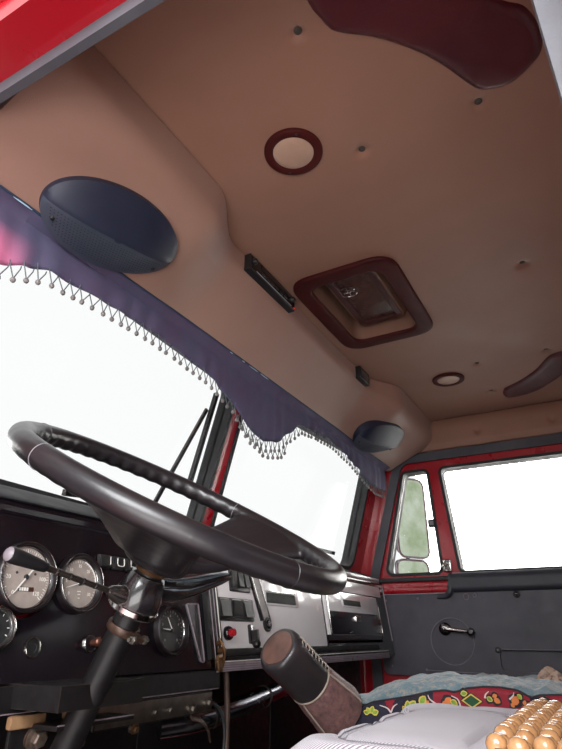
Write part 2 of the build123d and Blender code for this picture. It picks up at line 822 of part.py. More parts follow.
glove_mid_x = (glove_left_x + glove_right_x) / 2
glove_width = glove_left_x - glove_right_x
glove_pin_z = glove_low_z + lid_fit + glove_lid_thick / 2
glove_pin_y = face_y(glove_pin_z) - glove_lid_thick / 2
with BuildPart() as dashboard:
    with BuildSketch(Plane.XY.offset(dash_top_z - dash_board)):
        with BuildLine():
            Polyline(
                (-dash_half, screen_y(dash_half, 0) + screen_depth / 2),
                (0, screen_y(0, 0) + screen_depth / 2),
                (dash_half, screen_y(dash_half, 0) + screen_depth / 2),
                (dash_half, dash_rear_y),
                (-dash_half, dash_rear_y),
                close=True,
            )
        make_face()
    extrude(amount=dash_board)
    fillet(dashboard.edges().filter_by(Axis.X).group_by(Axis.Y)[-1], 12)
    with BuildSketch(Plane.YZ.offset(-dash_half)):
        with BuildLine():
            Polyline(
                (face_y(dash_top_z - 10), dash_top_z - 10),
                (face_y(dash_low_z), dash_low_z),
                (face_y(dash_low_z) - dash_skin, dash_low_z),
                (face_y(dash_top_z - 10) - dash_skin, dash_top_z - 10),
                close=True,
            )
        make_face()
    extrude(amount=2 * dash_half)
    with BuildSketch(Plane.YZ.offset(glove_right_x - 20)):
        with BuildLine():
            Polyline(
                (face_y(rail_top_z), rail_top_z),
                (face_y(rail_top_z) + rail_proud, rail_top_z - 4),
                (face_y(rail_low_z) + rail_proud, rail_low_z),
                (face_y(rail_low_z) - 1, rail_low_z),
                close=True,
            )
        make_face()
    extrude(amount=220 - glove_right_x)
    with BuildSketch(Plane.XZ.offset(-dash_rear_y + 40)):
        with Locations(((glove_left_x + glove_right_x) / 2, (glove_low_z + glove_top_z) / 2)):
            Rectangle(glove_left_x - glove_right_x, glove_top_z - glove_low_z)
    extrude(amount=-100, mode=Mode.SUBTRACT)
    with BuildSketch(Plane.YZ.offset(glove_mid_x - glove_width / 2 - journal_length - 1)):
        with Locations((glove_pin_y, glove_pin_z)):
            Circle(journal_r + journal_play)
    extrude(amount=glove_width + 2 * journal_length + 2, mode=Mode.SUBTRACT)
    for x, z, gauge_r in gauge_table:
        with BuildSketch(on_face(x, z, gauge_rim)):
            Circle(gauge_r)
        extrude(amount=-2 * dash_skin, mode=Mode.SUBTRACT)
    for side in (1, -1):
        with BuildSketch(Plane.XY.offset(dash_top_z - dash_board)):
            with Locations((side * (dash_half + frame_in_x) / 2, side_front_y + dash_tab / 2)):
                Rectangle(frame_in_x - dash_half, dash_tab)
        extrude(amount=dash_board)
pieces["dashboard"] = dashboard

# Round instruments: a rim seated on the face, a body through it and a sunk dial
with BuildPart() as gauges:
    for x, z, gauge_r in gauge_table:
        with BuildSketch(on_face(x, z)):
            Circle(gauge_r + gauge_rim)
        extrude(amount=gauge_proud, taper=20)
        with BuildSketch(on_face(x, z)):
            Circle(gauge_r - gauge_fit)
        extrude(amount=-gauge_depth)
        with BuildSketch(on_face(x, z, gauge_proud)):
            Circle(gauge_r - gauge_rim)
        extrude(amount=-gauge_proud, mode=Mode.SUBTRACT)
pieces["gauges"] = gauges

# Switch panel in the middle of the face, with two rows of rocker switches
panel_x = 118
panel_z = 968
panel_width = 210
panel_height = 150
panel_thick = 5
rocker_width = 22
rocker_height = 34
rocker_pitch = 30
rocker_proud = 8
with BuildPart() as switch_panel:
    with BuildSketch(on_face(panel_x, panel_z)):
        RectangleRounded(panel_width, panel_height, 8)
    extrude(amount=panel_thick)
    with BuildSketch(on_face(panel_x, panel_z + 14, panel_thick)):
        with GridLocations(rocker_pitch, rocker_height + 8, 5, 2):
            Rectangle(rocker_width, rocker_height)
    extrude(amount=rocker_proud, taper=8)
pieces["switch_panel"] = switch_panel

# Glove box: a bin behind the face and a lid that tips open on two journals
bin_wall = 4
bin_depth = 92
pull_width = 150           # finger slot in the lid
pull_height = 24
pull_depth = 8
pull_drop = 38


def bin_profile(grow, front_grow, mouth):
    """Side view of the bin, open towards the dashboard's face."""
    low, top = glove_low_z - grow, glove_top_z + grow
    front = face_y(glove_top_z) - dash_skin - bin_depth - front_grow
    return Polyline(
        (face_y(low) - dash_skin + mouth, low),
        (face_y(top) - dash_skin + mouth, top),
        (front, top),
        (front, low),
        close=True,
    )


with BuildPart() as glovebox_bin:
    with BuildSketch(Plane.YZ.offset(glove_mid_x - glove_width / 2 - bin_wall)):
        with BuildLine():
            bin_profile(bin_wall, bin_wall, 0)
        make_face()
    extrude(amount=glove_width + 2 * bin_wall)
    with BuildSketch(Plane.YZ.offset(glove_mid_x - glove_width / 2)):
        with BuildLine():
            bin_profile(0, 0, 5)
        make_face()
    extrude(amount=glove_width, mode=Mode.SUBTRACT)
pieces["glovebox_bin"] = glovebox_bin

lid_height = glove_top_z - glove_low_z - 2 * lid_fit
with BuildPart() as glovebox_lid:
    lid_plane = Plane(
        origin=(glove_mid_x, glove_pin_y, glove_pin_z),
        x_dir=(-1, 0, 0),
        z_dir=(0, cos(radians(face_tilt)), sin(radians(face_tilt))),
    ).offset(-glove_lid_thick / 2)
    with BuildSketch(lid_plane):
        with Locations((0, lid_height / 2 - glove_lid_thick / 2)):
            Rectangle(glove_width - 2 * lid_fit, lid_height)
    extrude(amount=glove_lid_thick)
    fillet(glovebox_lid.edges().filter_by(Axis.X).sort_by(Axis.Z)[0:2], glove_lid_thick / 2 - 0.5)
    with BuildSketch(Plane.YZ.offset(glove_mid_x - glove_width / 2 - journal_length)):
        with Locations((glove_pin_y, glove_pin_z)):
            Circle(journal_r)
    extrude(amount=glove_width + 2 * journal_length)
    with BuildSketch(lid_plane.offset(glove_lid_thick)):
        with Locations((0, lid_height - pull_drop)):
            SlotOverall(pull_width, pull_height)
    extrude(amount=-pull_depth, mode=Mode.SUBTRACT)
pieces["glovebox_lid"] = glovebox_lid

# Steering wheel: rim, two dropped spokes, hub and the shaft that turns in the column
wheel_centre = Vector(657, -569, 1111)
wheel_tilt = 28.4
rim_r = 262
rim_tube_r = 17
hub_r = 52
hub_top = 58               # distances below the plane of the rim
hub_low = 104
spoke_half = 36
spoke_angles = (31, 174)    # about the steering axis, from the driver's left
spoke_seat = 8             # the spokes' underside above the foot of the hub
spoke_bend = 95            # the spokes turn up this far from the axis
spoke_rise = 20
shaft_r = 10
shaft_play = 0.06
shaft_end = 168
column_axis = Vector(0, sin(radians(wheel_tilt)), cos(radians(wheel_tilt)))


def wheel_plane(drop):
    """Plane square to the steering axis, a distance below the rim."""
    return Plane(origin=wheel_centre - column_axis * drop, x_dir=(1, 0, 0), z_dir=column_axis)


with BuildPart() as steering_wheel:
    with Locations(wheel_plane(0).location):
        Torus(rim_r, rim_tube_r)
    for spoke_angle in spoke_angles:
        rearward = column_axis.cross(Vector(1, 0, 0))
        outward = Vector(1, 0, 0) * cos(radians(spoke_angle)) + rearward * sin(radians(spoke_angle))
        across = Plane(origin=wheel_centre, x_dir=outward, z_dir=column_axis.cross(outward))
        with BuildSketch(across.offset(-spoke_half)):
            with BuildLine():
                Polyline(
                    (0, hub_low - spoke_seat),
                    (spoke_bend, hub_low - spoke_rise),
                    (rim_r - 14, rim_tube_r - 2),
                    (rim_r + 4, 4),
                    (rim_r - 2, -10),
                    (spoke_bend - 5, hub_top + 4),
                    (0, hub_top + 8),
                    close=True,
                )
            make_face()
        extrude(amount=2 * spoke_half)
    with BuildSketch(wheel_plane(hub_low)):
        Circle(hub_r)
    extrude(amount=hub_low - hub_top)
    with BuildSketch(wheel_plane(shaft_end)):
        Circle(shaft_r)
    extrude(amount=shaft_end - hub_low)
pieces["steering_wheel"] = steering_wheel

# Steering column: bored tube, bracket under the dashboard and a foot box on the floor
column_top = 112
column_r = 21
column_end = 762
bracket_left_x = 730
bracket_right_x = 560
bracket_front_y = face_y(dash_low_z) - dash_skin
bracket_rear_y = -700
bracket_thick = 32
foot_width = 90
foot_front_y = -965
foot_rear_y = -895
foot_top_z = 470
with BuildPart() as steering_column:
    with BuildSketch(wheel_plane(column_top)):
        Circle(column_r)
    extrude(amount=column_top - column_end)
    with BuildSketch(Plane.XY.offset(dash_low_z)):
        with Locations(((bracket_left_x + bracket_right_x) / 2, (bracket_front_y + bracket_rear_y) / 2)):
            Rectangle(bracket_left_x - bracket_right_x, bracket_rear_y - bracket_front_y)
    extrude(amount=-bracket_thick)
    with BuildSketch(Plane.XY.offset(floor_z)):
        with Locations((wheel_centre.X, (foot_front_y + foot_rear_y) / 2)):
            Rectangle(foot_width, foot_rear_y - foot_front_y)
    extrude(amount=foot_top_z - floor_z)
    with BuildSketch(wheel_plane(shaft_end + 4)):
        Circle(shaft_r + shaft_play)
    extrude(amount=shaft_end, mode=Mode.SUBTRACT)
pieces["steering_column"] = steering_column

# Switch housing on the column with its two stalks
housing_top = 118
housing_low = 178
housing_r = 38
stalk_r = 5
stalk_drop = 140
stalk_length = 190
stalk_grip_r = 9
stalk_grip = 75
lever_half = 14
lever_length = 165
lever_thick = 14
with BuildPart() as column_switches:
    with BuildSketch(wheel_plane(housing_low)):
        Circle(housing_r)
        Circle(column_r, mode=Mode.SUBTRACT)
    extrude(amount=housing_low - housing_top)
    stalk_root = wheel_plane(stalk_drop).origin
    with BuildSketch(Plane(origin=stalk_root + Vector(housing_r - 6, 0, 0), x_dir=(0, 1, 0), z_dir=(1, 0, 0))):
        Circle(stalk_r)
    extrude(amount=stalk_length)
    grip_x = housing_r + stalk_length - stalk_grip
    with BuildSketch(Plane(origin=stalk_root + Vector(grip_x, 0, 0), x_dir=(0, 1, 0), z_dir=(1, 0, 0))):
        Circle(stalk_grip_r)
    extrude(amount=stalk_grip)
    with BuildSketch(wheel_plane(stalk_drop)):
        with Locations((-housing_r - lever_length / 2 + 6, 0)):
            Rectangle(lever_length, 2 * lever_half)
    extrude(amount=lever_thick)
pieces["column_switches"] = column_switches

# Gear lever: wrapped grip, sleeve, rod and a boot on the engine tunnel
lever_tip = Vector(290, -575, 895)
lever_dir = Vector(-0.785, 0.147, -0.603).normalized()
grip_r = 38
grip_length = 112
sleeve_length = 104
sleeve_end_r = 41
lever_rod_r = 11
boot_r = 62
boot_height = 46
lever_reach = (lever_tip.Z - tunnel_z - boot_height / 2) / -lever_dir.Z
lever_foot = lever_tip + lever_dir * lever_reach
with BuildPart() as gear_lever:
    grip_plane = Plane(origin=lever_tip, z_dir=lever_dir)
    with BuildSketch(grip_plane):
        Circle(grip_r)
    extrude(amount=grip_length)
    fillet(gear_lever.edges(), 8)
    with BuildSketch(grip_plane.offset(grip_length)):
        Circle(grip_r - 4)
    with BuildSketch(grip_plane.offset(grip_length + sleeve_length)):
        Circle(sleeve_end_r)
    loft()
    with BuildSketch(grip_plane.offset(grip_length)):
        Circle(lever_rod_r)
    extrude(amount=lever_reach - grip_length)
    with BuildSketch(Plane(origin=(lever_foot.X, lever_foot.Y, tunnel_z))):
        Circle(boot_r)
    with BuildSketch(Plane(origin=(lever_foot.X, lever_foot.Y, tunnel_z + boot_height))):
        Circle(boot_r / 3)
    loft()
pieces["gear_lever"] = gear_lever

# Pedals: three wedges standing on the floor ahead of the driver
pedal_width = 70
pedal_places = (765, 560, 478)
pedal_front_y = -950
pedal_rear_y = -885
pedal_thick = 14
pedal_lean = 16
pedal_height = 140
with BuildPart() as pedals:
    for x in pedal_places:
        with BuildSketch(Plane.YZ.offset(x - pedal_width / 2)):
            with BuildLine():
                Polyline(
                    (pedal_front_y, floor_z),
                    (pedal_rear_y, floor_z),
                    (pedal_front_y - pedal_lean + pedal_thick, floor_z + pedal_height),
                    (pedal_front_y - pedal_lean, floor_z + pedal_height),
                    close=True,
                )
            make_face()
        extrude(amount=pedal_width)
pieces["pedals"] = pedals

# Driver's seat: pedestal, cushion and backrest
seat_x = 615
seat_front_y = -330
seat_rear_y = 170
seat_width = 510
seat_top_z = 820
cushion_depth = 130
cushion_round = 38
cushion_corner = 70
pan_edge = 20              # how far the pan stays inside the cushion
pan_tail = 128             # how far the pan runs on below the backrest
pan_thick = 25
pedestal_half_x = 190
pedestal_front_y = -270
pedestal_rear_y = 130
back_thick = 120
back_height = 620
back_lean = 10
back_gap = 6               # between cushion and backrest
soft_gap = 0.3             # between a soft piece and what carries it


def seat_pan(x, width, front_y, tail_y, cushion_low_z):
    """Flat pan below a cushion and its backrest."""
    with BuildPart() as pan:
        with BuildSketch(Plane.XY.offset(cushion_low_z - soft_gap)):
            with Locations((x, (front_y + pan_edge + tail_y) / 2)):
                Rectangle(width - 2 * pan_edge, tail_y - front_y - pan_edge)
        extrude(amount=-pan_thick)
    return pan.part


def cushion(x, width, front_y, back_y, top_z, depth):
    """Padded cushion with a rounded top edge."""
    with BuildPart() as pad:
        with BuildSketch(Plane.XY.offset(top_z - depth)):
            with Locations((x, (front_y + back_y) / 2)):
                RectangleRounded(width, back_y - front_y, cushion_corner)
        extrude(amount=depth)
        fillet(pad.faces().sort_by(Axis.Z)[-1].edges(), cushion_round)
    return pad.part


def backrest(x, width, root_y, pan_top, height, thick, lean):
    """Padded backrest that leans to the rear and stands on the pan."""
    tilt = radians(lean)
    root_z = pan_top + 2 * soft_gap + thick * sin(tilt)
    base = Plane(origin=(x, root_y, root_z), x_dir=(1, 0, 0), z_dir=(0, sin(tilt), cos(tilt)))
    with BuildPart() as pad:
        with BuildSketch(base):
            with Locations((0, thick / 2)):
                RectangleRounded(width, thick, cushion_round)
        extrude(amount=height)
        fillet(pad.faces().sort_by(Axis.Z)[-1].edges(), cushion_round - 12)
    return pad.part


seat_low_z = seat_top_z - cushion_depth
with BuildPart() as driver_seat_frame:
    add(seat_pan(seat_x, seat_width, seat_front_y, seat_rear_y + pan_tail, seat_low_z))
    with BuildSketch(Plane.XY.offset(floor_z)):
        with Locations((seat_x, (pedestal_front_y + pedestal_rear_y) / 2)):
            Rectangle(2 * pedestal_half_x, pedestal_rear_y - pedestal_front_y)
    extrude(amount=seat_low_z - soft_gap - pan_thick - floor_z)
pieces["driver_seat_frame"] = driver_seat_frame

with BuildPart() as driver_cushion:
    add(cushion(seat_x, seat_width, seat_front_y, seat_rear_y, seat_top_z, cushion_depth))
pieces["driver_cushion"] = driver_cushion

with BuildPart() as driver_backrest:
    add(backrest(seat_x, seat_width, seat_rear_y + back_gap, seat_low_z, back_height, back_thick, back_lean))
pieces["driver_backrest"] = driver_backrest

# Passenger bench: pan on legs that straddle the tunnel, one wide cushion, one backrest
bench_left_x = 140
bench_gap = 72             # from the lining to the end of the bench
bench_right_x = bench_gap - lining_half
bench_front_y = -470
bench_rear_y = 50
bench_top_z = 780
bench_depth = 110
bench_back_thick = 110
bench_back_height = 560
bench_leg = 60
bench_leg_y = (-400, 90)
bench_x = (bench_left_x + bench_right_x) / 2
bench_width = bench_left_x - bench_right_x
bench_low_z = bench_top_z - bench_depth
bench_pan_under = bench_low_z - soft_gap - pan_thick
with BuildPart() as bench_frame:
    add(seat_pan(bench_x, bench_width, bench_front_y, bench_rear_y + pan_tail, bench_low_z))
    with BuildSketch(Plane.XY.offset(floor_z)):
        for y in bench_leg_y:
            with Locations((bench_right_x + pan_edge + bench_leg / 2, y), (-tunnel_half - bench_leg, y)):
                Rectangle(bench_leg, bench_leg)
    extrude(amount=bench_pan_under - floor_z)
    with BuildSketch(Plane.XY.offset(tunnel_z)):
        for y in bench_leg_y:
            with Locations((bench_left_x - pan_edge - bench_leg / 2, y)):
                Rectangle(bench_leg, bench_leg)
    extrude(amount=bench_pan_under - tunnel_z)
pieces["bench_frame"] = bench_frame

with BuildPart() as bench_cushion:
    add(cushion(bench_x, bench_width, bench_front_y, bench_rear_y, bench_top_z, bench_depth))
pieces["bench_cushion"] = bench_cushion

with BuildPart() as bench_backrest:
    add(
        backrest(
            bench_x, bench_width, bench_rear_y + back_gap, bench_low_z,
            bench_back_height, bench_back_thick, back_lean,
        )
    )
pieces["bench_backrest"] = bench_backrest

# Steps below the doors
step_width = 130
step_in_x = half_width - step_width
step_front_y = -880
step_rear_y = -640
step_low_z = 18
step_thick = 26
step_side = 24
with BuildPart() as steps:
    for side in (1, -1):
        with BuildSketch(Plane.XY.offset(step_low_z)):
            with Locations((side * (step_in_x + half_width) / 2, (step_front_y + step_rear_y) / 2)):
                Rectangle(half_width - step_in_x, step_rear_y - step_front_y)
        extrude(amount=step_thick)
        with BuildSketch(Plane.XY.offset(step_low_z)):
            for y in (step_front_y + step_side / 2, step_rear_y - step_side / 2):
                with Locations((side * (step_in_x + half_width) / 2, y)):
                    Rectangle(half_width - step_in_x, step_side)
        extrude(amount=sill_z - step_low_z)
pieces["steps"] = steps


def front_plane(x, z, lift=0):
    """Plane on the outer face of the front, with its Z pointing away from the cab."""
    side = 1 if x > 0 else -1
    lean = rake if z > belt_z else 0
    normal = Vector(vee * side, -1, lean).normalized()
    origin = Vector(x, screen_y(x, z) + front_face, z) + normal * lift
    return Plane(origin=origin, x_dir=Vector(1, vee * side, 0), z_dir=normal)


# Turn lamps on the front panel
turn_lamp_x = 860
turn_lamp_z = 640
turn_lamp_width = 170
turn_lamp_height = 86
turn_lamp_depth = 26
with BuildPart() as turn_lamps:
    for side in (1, -1):
        with BuildSketch(front_plane(side * turn_lamp_x, turn_lamp_z)):
            RectangleRounded(turn_lamp_width, turn_lamp_height, 16)
        extrude(amount=turn_lamp_depth, taper=12)
pieces["turn_lamps"] = turn_lamps

# Wipers: spindle, arm and blade, lying just off the glass
wiper_foot_z = 1156
spindle_r = 10
arm_lift = 16
arm_thick = 7
arm_width = 12
blade_width = 14
blade_thick = 12
blade_lift = 4
# spindle x, tip of the arm x and z, blade from x and z to x and z
wiper_table = (
    (560, 300, 1226, 500, 1208, 205, 1244),
    (-420, -700, 1232, -490, 1236, -905, 1236),
    (205, 72, 1545, 60, 1300, 60, 1600),
)


def bar(start, end, width):
    """Closed outline of a straight bar between two points of a sketch."""
    along = (Vector(end) - Vector(start)).normalized()
    across = Vector(-along.Y, along.X) * (width / 2)
    first, last = Vector(start), Vector(end)
    Polyline(first + across, last + across, last - across, first - across, close=True)


with BuildPart() as wipers:
    for foot_x, tip_x, tip_z, from_x, from_z, to_x, to_z in wiper_table:
        stretch = 1 / cos(atan(rake))
        with BuildSketch(front_plane(foot_x, wiper_foot_z)):
            Circle(spindle_r)
        extrude(amount=arm_lift + arm_thick)
        with BuildSketch(front_plane(foot_x, wiper_foot_z, arm_lift)):
            with BuildLine():
                bar((0, 0), (tip_x - foot_x, (tip_z - wiper_foot_z) * stretch), arm_width)
            make_face()
        extrude(amount=arm_thick)
        with BuildSketch(front_plane(foot_x, wiper_foot_z, blade_lift)):
            with BuildLine():
                bar(
                    (from_x - foot_x, (from_z - wiper_foot_z) * stretch),
                    (to_x - foot_x, (to_z - wiper_foot_z) * stretch),
                    blade_width,
                )
            make_face()
        extrude(amount=blade_thick)
pieces["wipers"] = wipers

# Door hinges: brackets with a pin on the frame, a bored knuckle on the door
pin_x = half_width + hinge_out
pin_y = opening_front_y - 10
bracket_reach = 48
door_strap = 62
with BuildPart() as hinge_left:
    for level in hinge_levels:
        for low_z in (level - hinge_height - 1, level + hinge_height + 1):
            with BuildSketch(Plane.XY.offset(low_z)):
                with BuildLine():
                    Polyline(
                        (half_width, pin_y - bracket_reach),
                        (half_width, pin_y + 6),
                        (pin_x, pin_y),
                        (pin_x, pin_y - hinge_knuckle_r),
                        (half_width + 8, pin_y - bracket_reach),
                        close=True,
                    )
                make_face()
                with Locations((pin_x, pin_y)):
                    Circle(hinge_knuckle_r)
            extrude(amount=hinge_height)
        with BuildSketch(Plane.XY.offset(level - hinge_height)):
            with Locations((pin_x, pin_y)):
                Circle(hinge_pin_r)
        extrude(amount=3 * hinge_height)
with BuildPart() as hinge_brackets:
    add(hinge_left.part)
    add(other_side(hinge_left.part))
pieces["hinge_brackets"] = hinge_brackets


def window_outline(points):
    """Closed outline of a side window in the door."""
    return Polyline(*points, close=True)


def post_y(start_y, z):
    """A line of the posts round the vent window, which lean forward as they rise."""
    return start_y + post_lean * (z - window_low_z)


main_window = (
    (window_front_y, window_low_z),
    (post_y(window_front_y, window_top_z), window_top_z),
    (window_rear_y, window_top_z),
    (window_rear_y, window_low_z),
)
vent_window = (
    (vent_front_y, window_low_z),
    (vent_front_y + opening_lean * 0.85 * (window_top_z - window_low_z), window_top_z),
    (vent_rear_y + post_lean / 2 * (window_top_z - window_low_z), window_top_z),
    (vent_rear_y, window_low_z),
)


def window_block(points, start_x, depth, inset):
    """Prism of a window outline, set in by the width of its seal."""
    with BuildPart() as block:
        with BuildSketch(Plane.YZ.offset(start_x)):
            with BuildLine():
                window_outline(points)
            make_face()
            if inset:
                offset(amount=-inset, kind=Kind.INTERSECTION, mode=Mode.REPLACE)
        extrude(amount=depth)
        fillet(block.edges().filter_by(Axis.X), window_corner - inset)
    return block.part


door_in_x = half_width - door_depth
pane_x = door_in_x + door_depth / 2
door_seal_width = 12
door_pane_thick = 5

with BuildPart() as door_shell:
    with BuildSketch(Plane.YZ.offset(door_in_x)):
        with BuildLine():
            opening_outline(-door_gap, -door_gap)
        make_face()
    extrude(amount=door_depth)
    fillet(door_shell.edges().filter_by(Axis.X), opening_corner - door_gap)
    for points in (main_window, vent_window):
        add(window_block(points, door_in_x - 1, door_depth + 2, 0), mode=Mode.SUBTRACT)
    for level in hinge_levels:
        with BuildSketch(Plane.XY.offset(level)):
            with BuildLine():
                Polyline(
                    (half_width, pin_y + 23),
                    (half_width, pin_y + door_strap),
                    (half_width + 8, pin_y + door_strap),
                    (pin_x + 9, pin_y + 9),
                    (pin_x - 5, pin_y + 3),
                    close=True,
                )
            make_face()
            with Locations((pin_x, pin_y)):
                Circle(hinge_knuckle_r)
                Circle(hinge_pin_r + hinge_play, mode=Mode.SUBTRACT)
        extrude(amount=hinge_height)

with BuildPart() as door_seal:
    for points in (main_window, vent_window):
        add(window_block(points, door_in_x - seal_proud, door_depth + 2 * seal_proud, 0))
    for points in (main_window, vent_window):
        add(window_block(points, door_in_x - 10, door_depth + 20, door_seal_width), mode=Mode.SUBTRACT)

with BuildPart() as door_glass:
    for points in (main_window, vent_window):
        add(window_block(points, pane_x - door_pane_thick / 2, door_pane_thick, door_seal_width))

pull_front_y = -413
pull_rear_y = -60
pull_low_z = 806
pull_top_z = 877
pull_sink = 16
dish_y = -580
dish_z = 905
dish_r = 80
dish_sink = 4
with BuildPart() as door_trim:
    trim_in_x = door_in_x - trim_depth
    with BuildSketch(Plane.YZ.offset(trim_in_x)):
        with Locations(((trim_front_y + trim_rear_y) / 2, (trim_low_z + trim_top_z) / 2)):
            RectangleRounded(trim_rear_y - trim_front_y, trim_top_z - trim_low_z, 26)
    extrude(amount=trim_depth)
    with BuildSketch(Plane.YZ.offset(trim_in_x)):
        with Locations(((pull_front_y + pull_rear_y) / 2, (pull_low_z + pull_top_z) / 2)):
            RectangleRounded(pull_rear_y - pull_front_y, pull_top_z - pull_low_z, 18)
    extrude(amount=pull_sink, mode=Mode.SUBTRACT)
    with BuildSketch(Plane.YZ.offset(trim_in_x)):
        with Locations((dish_y, dish_z)):
            Circle(dish_r)
    extrude(amount=dish_sink, mode=Mode.SUBTRACT)

# Window winder and release lever inside, grab handle outside
winder_y = -603
winder_z = 948
knob_y = -500
knob_z = 937
lever_y = -321
lever_z = 1067
handle_y = -90
handle_z = 1035
handle_length = 130
handle_depth = 28
boss_r = 18
boss_height = 15
knob_r = 11
knob_length = 28
lever_arm = 92
fitting_width = 15
with BuildPart() as door_fittings:
    with BuildSketch(Plane.YZ.offset(trim_in_x + dish_sink)):
        with Locations((winder_y, winder_z)):
            Circle(boss_r)
    extrude(amount=-boss_height - dish_sink)
    with BuildSketch(Plane.YZ.offset(trim_in_x - boss_height + arm_thick)):
        with BuildLine():
            bar((winder_y, winder_z), (knob_y, knob_z), fitting_width)
        make_face()
    extrude(amount=-arm_thick)
    with BuildSketch(Plane.YZ.offset(trim_in_x - boss_height + arm_thick)):
        with Locations((knob_y, knob_z)):
            Circle(knob_r)
    extrude(amount=-knob_length)
    with BuildSketch(Plane.YZ.offset(trim_in_x)):
        with Locations((lever_y, lever_z)):
            Circle(boss_r)
    extrude(amount=-boss_height)
    with BuildSketch(Plane.YZ.offset(trim_in_x - boss_height + arm_thick)):
        with BuildLine():
            bar((lever_y, lever_z), (lever_y - lever_arm, lever_z), fitting_width)
        make_face()
    extrude(amount=-arm_thick)
    with BuildSketch(Plane.YZ.offset(half_width)):
        with Locations((handle_y, handle_z)):
            RectangleRounded(handle_length, 2 * fitting_width, fitting_width - 2)
    extrude(amount=handle_depth)

# Mirrors: two heads on a tube carried by the door
tube_r = 9
tube_out = 160             # mirror tube beyond the side skin
tube_x = half_width + tube_out
tube_y = -800
tube_low_z = 1130
tube_top_z = 1665
tube_bend = 40
upper_foot = (half_width - 2, -748, 1575)
lower_foot = (half_width - 2, -868, 1112)
mirror_face = Vector(-0.574, 0.818, 0)
head_depth = 28
head_corner = 26
# centre x, y, z, width, height
mirror_heads = (
    (tube_x - 5, -765, 1440, 160, 350),
    (tube_x - 7, -778, 1190, 160, 100),
)
with BuildPart() as mirror_unit:
    with BuildLine():
        FilletPolyline(
            upper_foot,
            (tube_x, tube_y, tube_top_z),
            (tube_x, tube_y, tube_low_z),
            lower_foot,
            radius=tube_bend,
        )
    tube_start = Vector((tube_x, tube_y, tube_top_z)) - Vector(upper_foot)
    with BuildSketch(Plane(origin=upper_foot, z_dir=tube_start)):
        Circle(tube_r)
    sweep()
    for x, y, z, width, height in mirror_heads:
        with BuildSketch(Plane(origin=(x, y, z), x_dir=(0, 0, 1), z_dir=mirror_face)):
            RectangleRounded(height, width, head_corner)
        extrude(amount=-head_depth)
with BuildPart() as mirror_left:
    add(mirror_unit.part)
    with BuildSketch(Plane.YZ.offset(0)):
        Rectangle(4 * rear_y, 8 * rear_y)
    extrude(amount=half_width, mode=Mode.SUBTRACT)

# The same pieces serve both doors; the driver's door is swung open on its pins
pin_axis = Axis((pin_x, pin_y, 0), (0, 0, 1))
door_pieces = {
    "door_shell": door_shell.part,
    "door_window_seals": door_seal.part,
    "door_glass": door_glass.part,
    "door_trim": door_trim.part,
    "door_fittings": door_fittings.part,
    "mirror": mirror_left.part,
}
for name, closed in door_pieces.items():
    with BuildPart() as left_piece:
        add(closed.rotate(pin_axis, -door_open_deg))
    pieces[name + "_left"] = left_piece
    with BuildPart() as right_piece:
        add(other_side(closed))
    pieces[name + "_right"] = right_piece

for node, piece in pieces.items():
    piece.part.label = node
    export_step(piece.part, f"parts/{node}.step")
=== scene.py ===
# %% [markdown]
# # A decorated truck cab
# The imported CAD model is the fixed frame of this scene. It holds every rigid part at its real place in
# metres, with +Z up and the front of the cab towards -Y. Everything made below is a finish for one of
# those parts, or a softer, finer piece that stands on them and rides on the same body.

# %% Load the frame
import math

import bmesh
import bpy
import numpy as np
from mathutils import Matrix, Vector, geometry, noise
from mathutils.bvhtree import BVHTree


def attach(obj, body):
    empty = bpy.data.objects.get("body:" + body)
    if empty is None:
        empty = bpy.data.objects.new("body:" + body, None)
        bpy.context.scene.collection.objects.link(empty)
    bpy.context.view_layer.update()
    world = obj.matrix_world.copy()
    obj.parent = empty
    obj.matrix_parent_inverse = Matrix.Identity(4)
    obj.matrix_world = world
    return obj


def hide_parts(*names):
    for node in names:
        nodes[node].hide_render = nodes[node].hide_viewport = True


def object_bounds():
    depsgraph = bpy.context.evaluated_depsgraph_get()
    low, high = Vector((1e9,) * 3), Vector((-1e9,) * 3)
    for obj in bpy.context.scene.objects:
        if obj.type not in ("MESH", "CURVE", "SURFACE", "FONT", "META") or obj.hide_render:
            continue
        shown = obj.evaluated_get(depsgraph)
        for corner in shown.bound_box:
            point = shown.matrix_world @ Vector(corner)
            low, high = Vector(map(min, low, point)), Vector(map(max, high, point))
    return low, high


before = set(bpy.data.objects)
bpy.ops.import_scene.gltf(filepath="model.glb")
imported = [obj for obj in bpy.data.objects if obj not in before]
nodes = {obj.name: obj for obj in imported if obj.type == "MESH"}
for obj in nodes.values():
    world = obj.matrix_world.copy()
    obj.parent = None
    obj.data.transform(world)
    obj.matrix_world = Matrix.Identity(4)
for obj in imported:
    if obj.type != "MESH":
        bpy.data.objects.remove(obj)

cad_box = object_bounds()

# %% [markdown]
# ## Camera
# The photograph was taken through the open driver's door, looking up and forward across the cab. The
# place and angles below were solved from straight edges of the cab. A camera looks along its own -Z, so
# its turn is built from three directions: to the right, up, and backwards.

# %% Camera at the photograph's viewpoint
PHOTO_HEIGHT = 749  # pixels, the longer side
FOCAL_PIXELS = 563.5
EYE = Vector((1.3662, 0.0, 0.92))
PITCH, YAW, ROLL = (math.radians(a) for a in (24.91, 29.01, 0.246))


